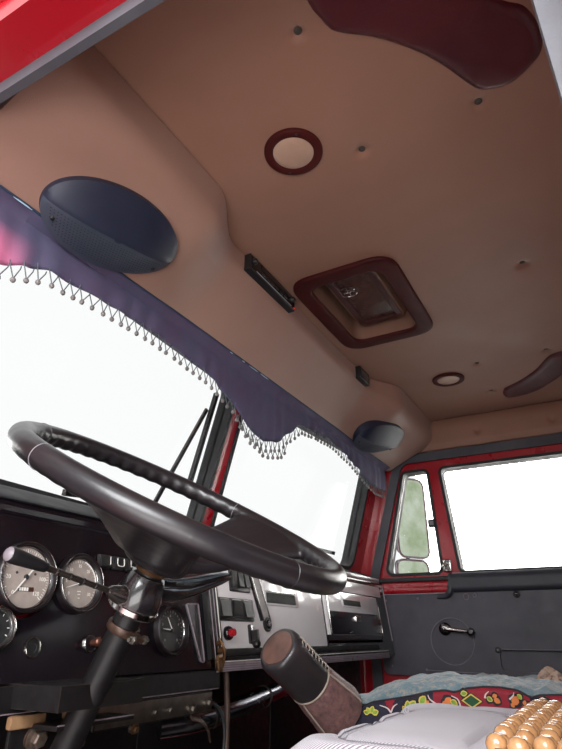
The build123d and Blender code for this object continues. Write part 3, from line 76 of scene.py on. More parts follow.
def make_camera():
    data = bpy.data.cameras.new("camera")
    data.sensor_width = 36.0
    data.lens = data.sensor_width * FOCAL_PIXELS / PHOTO_HEIGHT
    data.clip_start = 0.01
    heading = Vector((-math.cos(YAW), -math.sin(YAW), 0))
    forward = heading * math.cos(PITCH) + Vector((0, 0, math.sin(PITCH)))
    right = heading.cross(Vector((0, 0, 1)))
    up = right.cross(forward)
    tilted_right = right * math.cos(ROLL) + up * math.sin(ROLL)
    tilted_up = up * math.cos(ROLL) - right * math.sin(ROLL)
    turn = Matrix((tilted_right, tilted_up, -forward)).transposed()
    camera = bpy.data.objects.new("camera", data)
    camera.matrix_world = Matrix.Translation(EYE) @ turn.to_4x4()
    bpy.context.scene.collection.objects.link(camera)
    bpy.context.scene.camera = camera


make_camera()
bpy.context.scene.view_settings.view_transform = "Standard"

# %% [markdown]
# ## Studio
# A white world gives the blank bright windows of the photograph. Camera, glossy and transmission rays see
# it as plain white, while the light that it casts is held a little lower. The cab is closed on most
# sides, so large soft lamps stand outside each opening and reach the ceiling from below.

# %% Floor, world and lamps
FLOOR_Z = min(cad_box[0].z, 0.0)


def make_floor():
    half, drop = 14.0, 0.001
    bpy.ops.mesh.primitive_plane_add(size=2 * half, location=(0, 0, FLOOR_Z - drop))
    floor = bpy.context.object
    floor.name = "studio_floor"
    mat = bpy.data.materials.new("studio_floor")
    mat.use_nodes = True
    shader = mat.node_tree.nodes["Principled BSDF"]
    shader.inputs["Base Color"].default_value = (0.8, 0.8, 0.79, 1)
    shader.inputs["Roughness"].default_value = 0.9
    floor.data.materials.append(mat)


def make_world():
    world = bpy.data.worlds.new("studio")
    bpy.context.scene.world = world
    world.use_nodes = True
    tree = world.node_tree
    tree.nodes.clear()
    paths = tree.nodes.new("ShaderNodeLightPath")
    seen = tree.nodes.new("ShaderNodeMath")
    seen.operation = "MAXIMUM"
    tree.links.new(paths.outputs["Is Camera Ray"], seen.inputs[0])
    tree.links.new(paths.outputs["Is Glossy Ray"], seen.inputs[1])
    through = tree.nodes.new("ShaderNodeMath")
    through.operation = "MAXIMUM"
    tree.links.new(seen.outputs[0], through.inputs[0])
    tree.links.new(paths.outputs["Is Transmission Ray"], through.inputs[1])
    strength = tree.nodes.new("ShaderNodeMapRange")
    strength.inputs["To Min"].default_value = 0.75
    strength.inputs["To Max"].default_value = 1.0
    tree.links.new(through.outputs[0], strength.inputs["Value"])
    sky = tree.nodes.new("ShaderNodeBackground")
    sky.inputs["Color"].default_value = (1.0, 1.0, 1.0, 1)
    tree.links.new(strength.outputs[0], sky.inputs["Strength"])
    out = tree.nodes.new("ShaderNodeOutputWorld")
    tree.links.new(sky.outputs[0], out.inputs["Surface"])


def soft_lamp(name, place, target, size, watts, color):
    data = bpy.data.lights.new(name, "AREA")
    data.shape = "RECTANGLE"
    data.size, data.size_y = size
    data.energy = watts
    data.color = color
    lamp = bpy.data.objects.new(name, data)
    lamp.location = place
    lamp.rotation_euler = (Vector(target) - Vector(place)).to_track_quat("-Z", "Y").to_euler()
    lamp.visible_camera = False
    bpy.context.scene.collection.objects.link(lamp)


make_floor()
make_world()
LAMPS = (
    # name, place, target, width and height, watts, color
    ("doorway", (2.6, 0.55, 0.25), (0.1, -0.35, 1.75), (1.8, 1.4), 52, (1.0, 0.97, 0.96)),
    ("doorway_high", (2.25, 0.25, 1.75), (0.3, -0.3, 0.85), (1.1, 0.9), 60, (0.97, 0.98, 1.0)),
    ("front", (0.2, -4.2, 1.2), (0.0, -0.4, 1.4), (3.0, 2.0), 90, (1.0, 0.98, 0.96)),
    ("passenger", (-3.4, -0.2, 1.5), (0.0, -0.2, 1.4), (2.2, 1.6), 70, (1.0, 0.97, 0.93)),
    ("sky", (0.5, 0.5, 5.0), (0.0, 0.0, 1.0), (4.0, 4.0), 120, (1, 1, 1)),
)
for name, *values in LAMPS:
    soft_lamp(f"lamp_{name}", *values)

# %% [markdown]
# ## Shader groups
# Effects that many finishes share are groups of nodes, each built once. A group only puts out masks and
# heights. The shader itself, with its plain values, stays in each material.

# %% Node helpers
class Graph:
    """A thin wrapper that makes node trees short to write."""

    def __init__(self, tree):
        self.tree = tree

    def node(self, kind, links=None, **settings):
        made = self.tree.nodes.new(kind)
        for key, value in settings.items():
            setattr(made, key, value)
        for key, value in (links or {}).items():
            if isinstance(value, bpy.types.NodeSocket):
                self.tree.links.new(value, made.inputs[key])
            else:
                made.inputs[key].default_value = value
        return made

    def math(self, operation, a, b=0.0, c=0.0, clamp=False):
        made = self.node("ShaderNodeMath", {0: a, 1: b, 2: c}, operation=operation, use_clamp=clamp)
        return made.outputs[0]

    def noise(self, vector, scale, detail=2.0, rough=0.5):
        made = self.node(
            "ShaderNodeTexNoise", {"Vector": vector, "Scale": scale, "Detail": detail, "Roughness": rough}
        )
        return made.outputs["Fac"]

    def ramp(self, value, low, high, to_low=0.0, to_high=1.0):
        links = {"Value": value, "From Min": low, "From Max": high, "To Min": to_low, "To Max": to_high}
        return self.node("ShaderNodeMapRange", links, clamp=True).outputs[0]

    def mix(self, factor, a, b):
        links = {"Factor": factor, 6: a, 7: b}
        return self.node("ShaderNodeMix", links, data_type="RGBA").outputs[2]

    def group(self, name, **values):
        made = self.node("ShaderNodeGroup", node_tree=bpy.data.node_groups[name])
        for key, value in values.items():
            socket = made.inputs[key.replace("_", " ")]
            if isinstance(value, bpy.types.NodeSocket):
                self.tree.links.new(value, socket)
            else:
                socket.default_value = value
        return made.outputs


def new_group(name, inputs, outputs):
    """A shader node group with float or vector inputs and float outputs, and its graph."""
    tree = bpy.data.node_groups.new(name, "ShaderNodeTree")
    for label, value in inputs.items():
        kind = "NodeSocketVector" if value is None else "NodeSocketFloat"
        socket = tree.interface.new_socket(label, in_out="INPUT", socket_type=kind)
        if value is not None:
            socket.default_value = value
    for label in outputs:
        tree.interface.new_socket(label, in_out="OUTPUT", socket_type="NodeSocketFloat")
    graph = Graph(tree)
    return graph, graph.node("NodeGroupInput").outputs, graph.node("NodeGroupOutput").inputs


# %% Group: blotches, large soft patches of wear and tone
def build_blotches():
    graph, given, out = new_group("blotches", {"Vector": None, "Scale": 6.0, "Contrast": 0.5}, ["Mask"])
    broad = graph.noise(given["Vector"], given["Scale"], 3.0, 0.6)
    low = graph.math("MULTIPLY_ADD", given["Contrast"], -0.3, 0.5)
    high = graph.math("MULTIPLY_ADD", given["Contrast"], 0.3, 0.5)
    graph.tree.links.new(graph.ramp(broad, low, high), out["Mask"])


# %% Group: hide, the pebbled grain of leather and leatherette
def build_hide():
    graph, given, out = new_group("hide", {"Vector": None, "Size": 0.003, "Creases": 0.3}, ["Height"])
    scale = graph.math("DIVIDE", 1.0, given["Size"])
    cells = graph.node(
        "ShaderNodeTexVoronoi", {"Vector": given["Vector"], "Scale": scale}, feature="SMOOTH_F1"
    )
    pebble = graph.math("SUBTRACT", 1.0, cells.outputs["Distance"])
    crease = graph.noise(given["Vector"], graph.math("MULTIPLY", scale, 0.12), 4.0, 0.65)
    folded = graph.math("MULTIPLY_ADD", crease, given["Creases"], pebble)
    graph.tree.links.new(folded, out["Height"])


# %% Group: settled, dust that lies on what faces up, and edges, paint worn through at corners
def build_settled():
    graph, given, out = new_group("settled", {"Vector": None, "Scale": 9.0, "Amount": 0.5}, ["Mask"])
    normal = graph.node("ShaderNodeNewGeometry").outputs["Normal"]
    level = graph.node("ShaderNodeSeparateXYZ", {0: normal}).outputs["Z"]
    facing = graph.ramp(level, 0.25, 1.0)
    cloud = graph.ramp(graph.noise(given["Vector"], given["Scale"], 5.0, 0.7), 0.3, 0.75)
    mask = graph.math("MULTIPLY", graph.math("MULTIPLY", facing, cloud), given["Amount"])
    graph.tree.links.new(mask, out["Mask"])


def build_edges():
    graph, given, out = new_group("edges", {"Vector": None, "Width": 0.003, "Amount": 0.5}, ["Mask"])
    soft = graph.node("ShaderNodeBevel", {"Radius": given["Width"]}, samples=4).outputs["Normal"]
    sharp = graph.node("ShaderNodeNewGeometry").outputs["Normal"]
    along = graph.node("ShaderNodeVectorMath", {0: soft, 1: sharp}, operation="DOT_PRODUCT").outputs["Value"]
    corner = graph.ramp(along, 0.995, 0.86)
    broken = graph.ramp(graph.noise(given["Vector"], 42.0, 4.0, 0.7), 0.62, 0.42)
    mask = graph.math("MULTIPLY", graph.math("MULTIPLY", corner, broken), given["Amount"])
    graph.tree.links.new(mask, out["Mask"])


# %% Group: twill, a herringbone of raised threads on flat cloth coordinates in metres
def build_twill():
    graph, given, out = new_group("twill", {"Vector": None, "Thread": 0.003, "Band": 0.03}, ["Height", "Row"])
    parts = graph.node("ShaderNodeSeparateXYZ", {0: given["Vector"]}).outputs
    zigzag = graph.math("PINGPONG", parts["X"], given["Band"])
    slant = graph.math("ADD", zigzag, parts["Y"])
    phase = graph.math("DIVIDE", slant, given["Thread"])
    ridge = graph.math("PINGPONG", phase, 0.5)
    graph.tree.links.new(graph.math("MULTIPLY", ridge, 2.0), out["Height"])
    graph.tree.links.new(
        graph.math("PINGPONG", graph.math("DIVIDE", parts["X"], given["Band"]), 1.0), out["Row"]
    )


for build in (build_blotches, build_hide, build_settled, build_edges, build_twill):
    build()
print("shader groups:", sorted(g.name for g in bpy.data.node_groups if g.type == "SHADER"))

# %% [markdown]
# ## Finishes
# Paint, moulded plastic, rubber and leatherette differ in their values more than in their structure: a
# base tone with blotches, a fine relief, dust where the surface faces up, and wear at the corners. One
# function builds that structure, and a table of values gives each finish its own character.

# %% One function for the hard and padded finishes
def srgb(*levels):
    """Levels from 0 to 255, as a paint chart gives them, in the renderer's linear scale."""
    return tuple(((v / 255 + 0.055) / 1.055) ** 2.4 if v > 10 else v / 255 / 12.92 for v in levels) + (1.0,)


def finish(
        name, base, second, rough=(0.4, 0.5), blotch=(6.0, 0.6), relief=None, dust=0.0, worn=None, **plain
):
    """A material: two tones in blotches, a roughness range, relief as (grain, height), dust, worn corners."""
    mat = bpy.data.materials.new(name)
    mat.use_nodes = True
    graph = Graph(mat.node_tree)
    shader = mat.node_tree.nodes["Principled BSDF"]
    place = graph.node("ShaderNodeTexCoord").outputs["Object"]
    patches = graph.group("blotches", Vector=place, Scale=blotch[0], Contrast=blotch[1])["Mask"]
    color = graph.mix(patches, base, second)
    gloss = graph.ramp(graph.noise(place, blotch[0] * 3.1, 4.0, 0.6), 0.3, 0.7, rough[0], rough[1])
    if worn:
        bare, width, amount = worn
        corner = graph.group("edges", Vector=place, Width=width, Amount=amount)["Mask"]
        color = graph.mix(corner, color, bare)
    if dust:
        lying = graph.group("settled", Vector=place, Scale=7.0, Amount=dust)["Mask"]
        color = graph.mix(lying, color, DUST)
        gloss = graph.math("MULTIPLY_ADD", lying, 0.5, gloss, clamp=True)
    mat.node_tree.links.new(color, shader.inputs["Base Color"])
    mat.node_tree.links.new(gloss, shader.inputs["Roughness"])
    if relief:
        size, height = relief
        grain = graph.group("hide", Vector=place, Size=size, Creases=0.6)["Height"]
        bump = graph.node("ShaderNodeBump", {"Height": grain, "Distance": height, "Strength": 1.0})
        mat.node_tree.links.new(bump.outputs[0], shader.inputs["Normal"])
    for key, value in plain.items():
        shader.inputs[key.replace("_", " ")].default_value = value
    return mat


DUST = srgb(150, 138, 124)
BARE_STEEL = srgb(120, 112, 106)
RUST = srgb(96, 52, 32)
M = {}
M["paint"] = finish(
    "crimson_paint", srgb(174, 19, 34), srgb(160, 15, 30), (0.25, 0.33), (3.0, 0.6), dust=0.1,
    worn=(srgb(70, 22, 22), 0.0025, 0.4), Coat_Weight=0.5, Coat_Roughness=0.12,
)
M["chassis"] = finish(
    "chassis_paint", srgb(38, 38, 40), srgb(28, 28, 30), (0.45, 0.65), dust=0.4, worn=(RUST, 0.004, 0.8),
)
M["mat"] = finish(
    "floor_mat", srgb(36, 35, 35), srgb(26, 26, 27), (0.7, 0.85), relief=(0.006, 0.001), dust=0.5
)
M["rubber"] = finish(
    "black_rubber", srgb(30, 30, 32), srgb(42, 42, 44), (0.5, 0.7), relief=(0.002, 0.0001), dust=0.2
)
M["lip"] = finish("grey_rubber", srgb(84, 84, 90), srgb(66, 66, 72), (0.45, 0.65), relief=(0.002, 0.0001))
M["vinyl"] = finish(
    "ceiling_leatherette", srgb(160, 118, 98), srgb(148, 107, 89), (0.5, 0.62), (2.4, 0.8),
    relief=(0.0016, 0.00014), Sheen_Weight=0.08
)
M["burgundy"] = finish(
    "burgundy_leather", srgb(88, 22, 30), srgb(70, 16, 26), (0.42, 0.55), relief=(0.0018, 0.0002)
)
M["lacquer"] = finish(
    "burgundy_lacquer", srgb(84, 22, 22), srgb(62, 14, 16), (0.16, 0.28), (14.0, 0.9), Coat_Weight=0.6,
    Coat_Roughness=0.08
)
M["gloss_black"] = finish(
    "polished_black", srgb(14, 10, 16), srgb(20, 15, 20), (0.16, 0.26), dust=0.03,
    worn=(srgb(90, 84, 78), 0.0015, 0.35), Coat_Weight=0.45, Coat_Roughness=0.1,
)
M["satin_black"] = finish(
    "satin_black", srgb(30, 29, 31), srgb(22, 21, 23), (0.35, 0.5), dust=0.12, worn=(BARE_STEEL, 0.0015, 0.4),
)
M["worn_black"] = finish(
    "worn_black_paint", srgb(16, 14, 15), srgb(30, 25, 23), (0.2, 0.4), (18.0, 0.9), dust=0.08,
    worn=(srgb(104, 76, 50), 0.0025, 0.8), Coat_Weight=0.4, Coat_Roughness=0.15,
)
M["trim"] = finish(
    "grained_black", srgb(86, 84, 92), srgb(70, 67, 76), (0.42, 0.55), relief=(0.0012, 0.0001), dust=0.06
)
M["chrome"] = finish(
    "chrome", srgb(205, 203, 200), srgb(180, 176, 172), (0.08, 0.22), (30.0, 0.9), dust=0.05, Metallic=1.0,
)
M["brass"] = finish(
    "tarnished_brass", srgb(132, 98, 66), srgb(70, 48, 36), (0.35, 0.6), (60.0, 1.0), Metallic=0.8
)
M["steel"] = finish(
    "bare_steel", srgb(150, 146, 140), srgb(112, 98, 86), (0.3, 0.5), (30.0, 1.0), Metallic=1.0
)
M["wheel"] = finish(
    "wheel_plastic", srgb(27, 25, 29), srgb(36, 31, 33), (0.28, 0.42), (9.0, 0.8), relief=(0.0015, 0.00004),
    dust=0.05, Coat_Weight=0.25, Coat_Roughness=0.3
)


def glass(name, tint, rough=0.02):
    """Clear glazing: thin panes that let light through and keep a faint reflection."""
    mat = bpy.data.materials.new(name)
    mat.use_nodes = True
    graph = Graph(mat.node_tree)
    shader = mat.node_tree.nodes["Principled BSDF"]
    shader.inputs["Base Color"].default_value = tint
    shader.inputs["Transmission Weight"].default_value = 1.0
    shader.inputs["IOR"].default_value = 1.1
    place = graph.node("ShaderNodeTexCoord").outputs["Object"]
    smear = graph.group("blotches", Vector=place, Scale=5.0, Contrast=0.8)["Mask"]
    haze = graph.ramp(smear, 0.0, 1.0, rough, rough + 0.03)
    mat.node_tree.links.new(haze, shader.inputs["Roughness"])
    return mat


M["glass"] = glass("window_glass", (0.97, 0.985, 0.98, 1))

# %% A near-black paint, darkened as painted shade, for what stands in the dark under the dash
M["soot"] = finish(
    "near_black_painted_shade", srgb(8, 6, 8), srgb(15, 11, 13), (0.4, 0.6), (22.0, 0.9),
    worn=(srgb(92, 70, 48), 0.0018, 0.3),
)

# %% Finishes of the CAD nodes that stay in sight
CAD_FINISH = {
    "paint": [
        "front_panel", "corner_posts", "windscreen_frame", "side_frames", "rear_wall", "roof_panel",
        "hinge_brackets", "hatch_lid", "door_shell_left", "door_shell_right"
    ],
    "chassis": [
        "underframe", "steps", "grille", "hatch_hinges", "wipers", "driver_seat_frame", "bench_frame"
    ],
    "mat": ["floor_pan", "engine_tunnel"],
    "rubber": ["glass_seals", "door_window_seals_left", "door_window_seals_right"], "lip": ["door_seals"],
    "glass": ["fixed_glass", "door_glass_left", "door_glass_right"],
    "vinyl": ["headliner", "overhead_console"],
    "burgundy": [
        "wing_pads", "valance", "driver_cushion", "driver_backrest", "bench_cushion", "bench_backrest"
    ],
    "lacquer": ["hatch_frame", "ceiling_lamps", "turn_lamps"], "gloss_black": ["dashboard", "glovebox_lid"],
    "satin_black": [
        "speakers", "console_units", "switch_panel", "glovebox_bin", "column_switches", "gauges",
        "mirror_left", "mirror_right"
    ],
    "worn_black": ["pedals", "gear_lever"], "soot": ["steering_column"], "wheel": ["steering_wheel"],
    "trim": ["door_trim_left", "door_trim_right"], "chrome": ["door_fittings_left", "door_fittings_right"]
}


def dress(node, mat):
    slots = nodes[node].data.materials
    slots.clear()
    slots.append(mat)


for key, names in CAD_FINISH.items():
    for node in names:
        dress(node, M[key])
bare = set(nodes) - {n for names in CAD_FINISH.values() for n in names}
print("nodes with no finish:", sorted(bare))


# %% [markdown]
# ## Making shapes
# Most pieces below are a few closed bodies: rings of points skinned into a surface, a swept tube, a
# turned profile, a rounded block or a cut plate. `Shape` gathers such bodies into one mesh, each with its
# own finish, so that a piece of several materials is still one object with faces that point outwards.

# %% Shape: closed bodies gathered into one mesh
class Shape:
    def __init__(self):
        self.bm = bmesh.new()
        self.finishes = []

    def _finish(self, faces, key):
        if key not in self.finishes:
            self.finishes.append(key)
        for face in faces:
            face.material_index = self.finishes.index(key)

    def skin(self, rings, key, wrap=True, close=False, cap=True, outward=True):
        """Faces between rows of points; wrap joins the ends of a row, close the last row to the first."""
        rows = [[self.bm.verts.new(p) for p in ring] for ring in rings]
        faces = []
        count = len(rows)
        for i in range(count if close else count - 1):
            a, b = rows[i], rows[(i + 1) % count]
            for j in range(len(a) if wrap else len(a) - 1):
                k = (j + 1) % len(a)
                faces.append(self.bm.faces.new((a[j], a[k], b[k], b[j])))
        if cap and wrap and not close:
            faces.append(self.bm.faces.new(rows[0][::-1]))
            faces.append(self.bm.faces.new(rows[-1]))
        if outward:
            bmesh.ops.recalc_face_normals(self.bm, faces=faces)
        self._finish(faces, key)
        return rows

    def tube(self, path, radius, key, sides=12, close=False, flat=1.0, side=None):
        """A tube along points; radius may be a list, flat squeezes it across `side`."""
        path = [Vector(p) for p in path]
        count = len(path)
        radii = radius if hasattr(radius, "__len__") else [radius] * count
        rings = []
        across = Vector(side) if side is not None else None
        for i, point in enumerate(path):
            before, after = (
                path[i - 1] if i or close else point, path[(i + 1) % count] if i < count - 1 or close
                else point
            )
            along = (after - before).normalized()
            if across is None:
                across = along.orthogonal()
            across = (across - along * across.dot(along)).normalized()
            other = along.cross(across)
            ring = []
            for k in range(sides):
                turn = 2 * math.pi * k / sides
                ring.append(point + (across * math.cos(turn) * flat + other * math.sin(turn)) * radii[i])
            rings.append(ring)
        return self.skin(rings, key, close=close)

    def lathe(self, profile, origin, axis, key, steps=32, stretch=None, close=False):
        """Turns (radius, height) points about an axis; stretch is (direction, factor), close makes a ring."""
        axis = Vector(axis).normalized()
        u = Vector(stretch[0]).normalized() if stretch else axis.orthogonal().normalized()
        v = axis.cross(u)
        wide = stretch[1] if stretch else 1.0
        rings = []
        for radius, height in profile:
            ring = []
            for k in range(steps):
                turn = 2 * math.pi * k / steps
                spot = u * math.cos(turn) * radius * wide + v * math.sin(turn) * radius
                ring.append(Vector(origin) + spot + axis * height)
            rings.append(ring)
        return self.skin(rings, key, close=close)

    def block(self, low, high, key, rounded=0.003, steps=2, frame_matrix=None):
        """A box with rounded edges; frame_matrix turns it from its own axes into the cab's."""
        low, high = Vector(low), Vector(high)
        made = bmesh.ops.create_cube(self.bm, size=1.0)["verts"]
        size, middle = high - low, (low + high) / 2
        for vert in made:
            vert.co = Vector(vert.co[i] * size[i] + middle[i] for i in range(3))
        edges = list({e for v in made for e in v.link_edges})
        faces = set(f for v in made for f in v.link_faces)
        if rounded:
            result = bmesh.ops.bevel(
                self.bm, geom=edges, offset=rounded, segments=steps, profile=0.6, affect="EDGES"
            )
            faces = {f for v in result["verts"] for f in v.link_faces} | {f for f in faces if f.is_valid}
        self._finish(faces, key)
        verts = {v for f in faces for v in f.verts}
        if frame_matrix is not None:
            for vert in verts:
                vert.co = frame_matrix @ vert.co
        return verts

    def plate(self, outline, origin, right, up, thick, key, rounded=0.0, steps=2):
        """A plate with an outline in its own right and up directions; it grows towards right x up."""
        right, up = Vector(right).normalized(), Vector(up).normalized()
        out = right.cross(up)
        points = [Vector(origin) + right * a + up * b for a, b in outline]
        base = [self.bm.verts.new(p) for p in points]
        top = [self.bm.verts.new(p + out * thick) for p in points]
        faces = [self.bm.faces.new(base[::-1]), self.bm.faces.new(top)]
        for i in range(len(base)):
            j = (i + 1) % len(base)
            faces.append(self.bm.faces.new((base[i], base[j], top[j], top[i])))
        bmesh.ops.recalc_face_normals(self.bm, faces=faces)
        if rounded:
            rim = [e for e in faces[1].edges]
            made = bmesh.ops.bevel(
                self.bm, geom=rim, offset=rounded, segments=steps, profile=0.5, affect="EDGES"
            )
            faces = {f for v in made["verts"] for f in v.link_faces} | {f for f in faces if f.is_valid}
        self._finish(faces, key)

    def words(self, text, size, origin, right, up, key, thick=0.0004):
        """A number or a mark in raised print, centred on origin."""
        data = bpy.data.curves.new("print", "FONT")
        data.body, data.size, data.extrude, data.resolution_u = text, size, thick, 2
        data.align_x, data.align_y = "CENTER", "CENTER"
        carrier = bpy.data.objects.new("print", data)
        bpy.context.scene.collection.objects.link(carrier)
        bpy.context.view_layer.update()
        flat = bpy.data.meshes.new_from_object(carrier.evaluated_get(bpy.context.evaluated_depsgraph_get()))
        right, up = Vector(right).normalized(), Vector(up).normalized()
        turn = Matrix((right, up, right.cross(up))).transposed()
        flat.transform(Matrix.Translation(Vector(origin)) @ turn.to_4x4())
        self.take(flat, key)
        bpy.data.objects.remove(carrier)

    def take(self, mesh, key):
        """Adds a finished mesh to the gathered bodies."""
        before = len(self.bm.faces)
        self.bm.from_mesh(mesh)
        self.bm.faces.ensure_lookup_table()
        self._finish(self.bm.faces[before:], key)

    def done(self, name, body, slot=None, replaces=(), angle=38):
        """Turns the gathered bodies into an object that rides on a body of the frame."""
        mesh = bpy.data.meshes.new(name)
        self.bm.to_mesh(mesh)
        self.bm.free()
        for key in self.finishes:
            mesh.materials.append(M[key])
        return place(name, mesh, body, slot, replaces, angle)


def place(name, mesh, body, slot=None, replaces=(), angle=38):
    """Smooths a mesh up to an angle and makes it a piece of the frame."""
    mesh.shade_smooth()
    mesh.set_sharp_from_angle(angle=math.radians(angle))
    piece = bpy.data.objects.new(name, mesh)
    bpy.context.scene.collection.objects.link(piece)
    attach(piece, body)
    if replaces:
        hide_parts(*replaces)
    return piece


def rounded_outline(corners, radius, steps=5):
    """A polygon with its corners rounded; radius may be a list with one value for each corner."""
    radii = radius if hasattr(radius, "__len__") else [radius] * len(corners)
    points = []
    for i, corner in enumerate(corners):
        here = Vector(corner)
        before, after = Vector(corners[i - 1]) - here, Vector(corners[(i + 1) % len(corners)]) - here
        reach = min(radii[i], before.length * 0.49, after.length * 0.49)
        start, end = here + before.normalized() * reach, here + after.normalized() * reach
        for k in range(steps + 1):
            t = k / steps
            points.append(tuple(start * (1 - t) ** 2 + here * 2 * t * (1 - t) + end * t * t))
    return points


def smooth_path(points, steps=8):
    """A Catmull-Rom curve through the points."""
    p = [Vector(q) for q in points]
    p = [2 * p[0] - p[1]] + p + [2 * p[-1] - p[-2]]
    path = []
    for i in range(1, len(p) - 2):
        for k in range(steps):
            t = k / steps
            a, b, c, d = p[i - 1], p[i], p[i + 1], p[i + 2]
            path.append(
                0.5 * (
                    2 * b + (c - a) * t + (2 * a - 5 * b + 4 * c - d) * t * t
                    + (3 * b - a - 3 * c + d) * t ** 3
                )
            )
    path.append(p[-2])
    return path


def step(low, high, value):
    """0 below low, 1 above high, and a smooth rise between."""
    t = min(max((value - low) / (high - low), 0.0), 1.0)
    return t * t * (3 - 2 * t)


# %% [markdown]
# Small things that repeat come from Geometry Nodes. The base of each tree is a plain mesh of points, a
# line or a grid; the tree puts one small shape on every point, turns it, and ends by realizing the
# instances, because only real faces can be exported. The evaluated result is then kept as a plain mesh.

# %% Geometry Nodes: one small shape on every point of a mesh
def scatter_tree():
    tree = bpy.data.node_groups.new("scatter", "GeometryNodeTree")
    tree.is_modifier = True
    for label, kind in (
        ("Geometry", "Geometry"), ("Piece", "Object"), ("Finish", "Material"), ("Size", "Float"),
        ("Size spread", "Float"), ("Turn", "Rotation"), ("Turn spread", "Vector"), ("Seed", "Int"),
    ):
        tree.interface.new_socket(label, in_out="INPUT", socket_type=f"NodeSocket{kind}")
    tree.interface.new_socket("Geometry", in_out="OUTPUT", socket_type="NodeSocketGeometry")
    graph = Graph(tree)
    given = graph.node("NodeGroupInput").outputs
    shape = graph.node("GeometryNodeObjectInfo", {"Object": given["Piece"]}).outputs["Geometry"]
    low = graph.node(
        "ShaderNodeMath", {0: given["Size"], 1: given["Size spread"]}, operation="SUBTRACT"
    ).outputs[0]
    high = graph.node(
        "ShaderNodeMath", {0: given["Size"], 1: given["Size spread"]}, operation="ADD"
    ).outputs[0]
    size = graph.node("FunctionNodeRandomValue", {"Seed": given["Seed"]}, data_type="FLOAT")
    tree.links.new(low, size.inputs[2])
    tree.links.new(high, size.inputs[3])
    spread = graph.node("FunctionNodeRandomValue", {"Seed": given["Seed"]}, data_type="FLOAT_VECTOR")
    opposite = graph.node(
        "ShaderNodeVectorMath", {0: given["Turn spread"], 1: (-1, -1, -1)}, operation="MULTIPLY"
    )
    tree.links.new(opposite.outputs[0], spread.inputs[0])
    tree.links.new(given["Turn spread"], spread.inputs[1])
    shake = graph.node("FunctionNodeEulerToRotation", {0: spread.outputs[0]}).outputs[0]
    turned = graph.node(
        "FunctionNodeRotateRotation", {0: given["Turn"], 1: shake}, rotation_space="LOCAL"
    ).outputs[0]
    points = {"Points": given["Geometry"], "Instance": shape, "Rotation": turned, "Scale": size.outputs[1]}
    placed = graph.node("GeometryNodeInstanceOnPoints", points)
    real = graph.node("GeometryNodeRealizeInstances", {"Geometry": placed.outputs[0]})
    painted = graph.node(
        "GeometryNodeSetMaterial", {"Geometry": real.outputs[0], "Material": given["Finish"]}
    )
    graph.node("NodeGroupOutput", {0: painted.outputs[0]})
    return tree


SCATTER = scatter_tree()


def run_tree(tree, base, name, **values):
    """Runs a tree on a mesh of points and keeps the result as a plain mesh."""
    carrier = bpy.data.objects.new(name + "_carrier", base)
    bpy.context.scene.collection.objects.link(carrier)
    modifier = carrier.modifiers.new("tree", "NODES")
    modifier.node_group = tree
    sockets = {s.name: s.identifier for s in tree.interface.items_tree if s.in_out == "INPUT"}
    for label, value in values.items():
        modifier[sockets[label.replace("_", " ")]] = value
    bpy.context.view_layer.update()
    result = bpy.data.meshes.new_from_object(carrier.evaluated_get(bpy.context.evaluated_depsgraph_get()))
    result.name = name
    bpy.data.objects.remove(carrier)
    return result


def template(shape, name="template"):
    """A small shape kept out of the render, for a tree to repeat."""
    mesh = bpy.data.meshes.new(name)
    shape.bm.to_mesh(mesh)
    shape.bm.free()
    mesh.shade_smooth()
    hidden = bpy.data.objects.new(name, mesh)
    bpy.context.scene.collection.objects.link(hidden)
    return hidden


def scatter(name, points, shape, key, size=1.0, spread=0.0, turn=(0, 0, 0), turn_spread=(0, 0, 0), seed=1):
    """The mesh of one small shape repeated on a list of points."""
    base = bpy.data.meshes.new(name + "_points")
    base.from_pydata([tuple(p) for p in points], [], [])
    hidden = template(shape)
    mesh = run_tree(
        SCATTER, base, name, Piece=hidden, Finish=M[key], Size=size, Size_spread=spread,
        Turn=turn, Turn_spread=turn_spread, Seed=seed,
    )
    bpy.data.objects.remove(hidden)
    return mesh


# %% Geometry Nodes: one small shape on every point of a ring, turned to face outwards
def radial_tree():
    tree = bpy.data.node_groups.new("radial", "GeometryNodeTree")
    tree.is_modifier = True
    for label, kind in (
        ("Geometry", "Geometry"), ("Piece", "Object"), ("Finish", "Material"), ("Centre", "Vector"),
        ("Facing", "Vector"), ("Size", "Float")
    ):
        tree.interface.new_socket(label, in_out="INPUT", socket_type=f"NodeSocket{kind}")
    tree.interface.new_socket("Geometry", in_out="OUTPUT", socket_type="NodeSocketGeometry")
    graph = Graph(tree)
    given = graph.node("NodeGroupInput").outputs
    shape = graph.node("GeometryNodeObjectInfo", {"Object": given["Piece"]}).outputs["Geometry"]
    spot = graph.node("GeometryNodeInputPosition").outputs[0]
    out = graph.node("ShaderNodeVectorMath", {0: spot, 1: given["Centre"]}, operation="SUBTRACT").outputs[0]
    upright = graph.node(
        "FunctionNodeAlignRotationToVector", {"Vector": given["Facing"]}, axis="Z"
    ).outputs[0]
    turned = graph.node(
        "FunctionNodeAlignRotationToVector", {"Rotation": upright, "Vector": out}, axis="Y", pivot_axis="Z"
    ).outputs[0]
    points = {"Points": given["Geometry"], "Instance": shape, "Rotation": turned, "Scale": given["Size"]}
    placed = graph.node("GeometryNodeInstanceOnPoints", points)
    real = graph.node("GeometryNodeRealizeInstances", {"Geometry": placed.outputs[0]})
    painted = graph.node(
        "GeometryNodeSetMaterial", {"Geometry": real.outputs[0], "Material": given["Finish"]}
    )
    graph.node("NodeGroupOutput", {0: painted.outputs[0]})
    return tree


RADIAL = radial_tree()


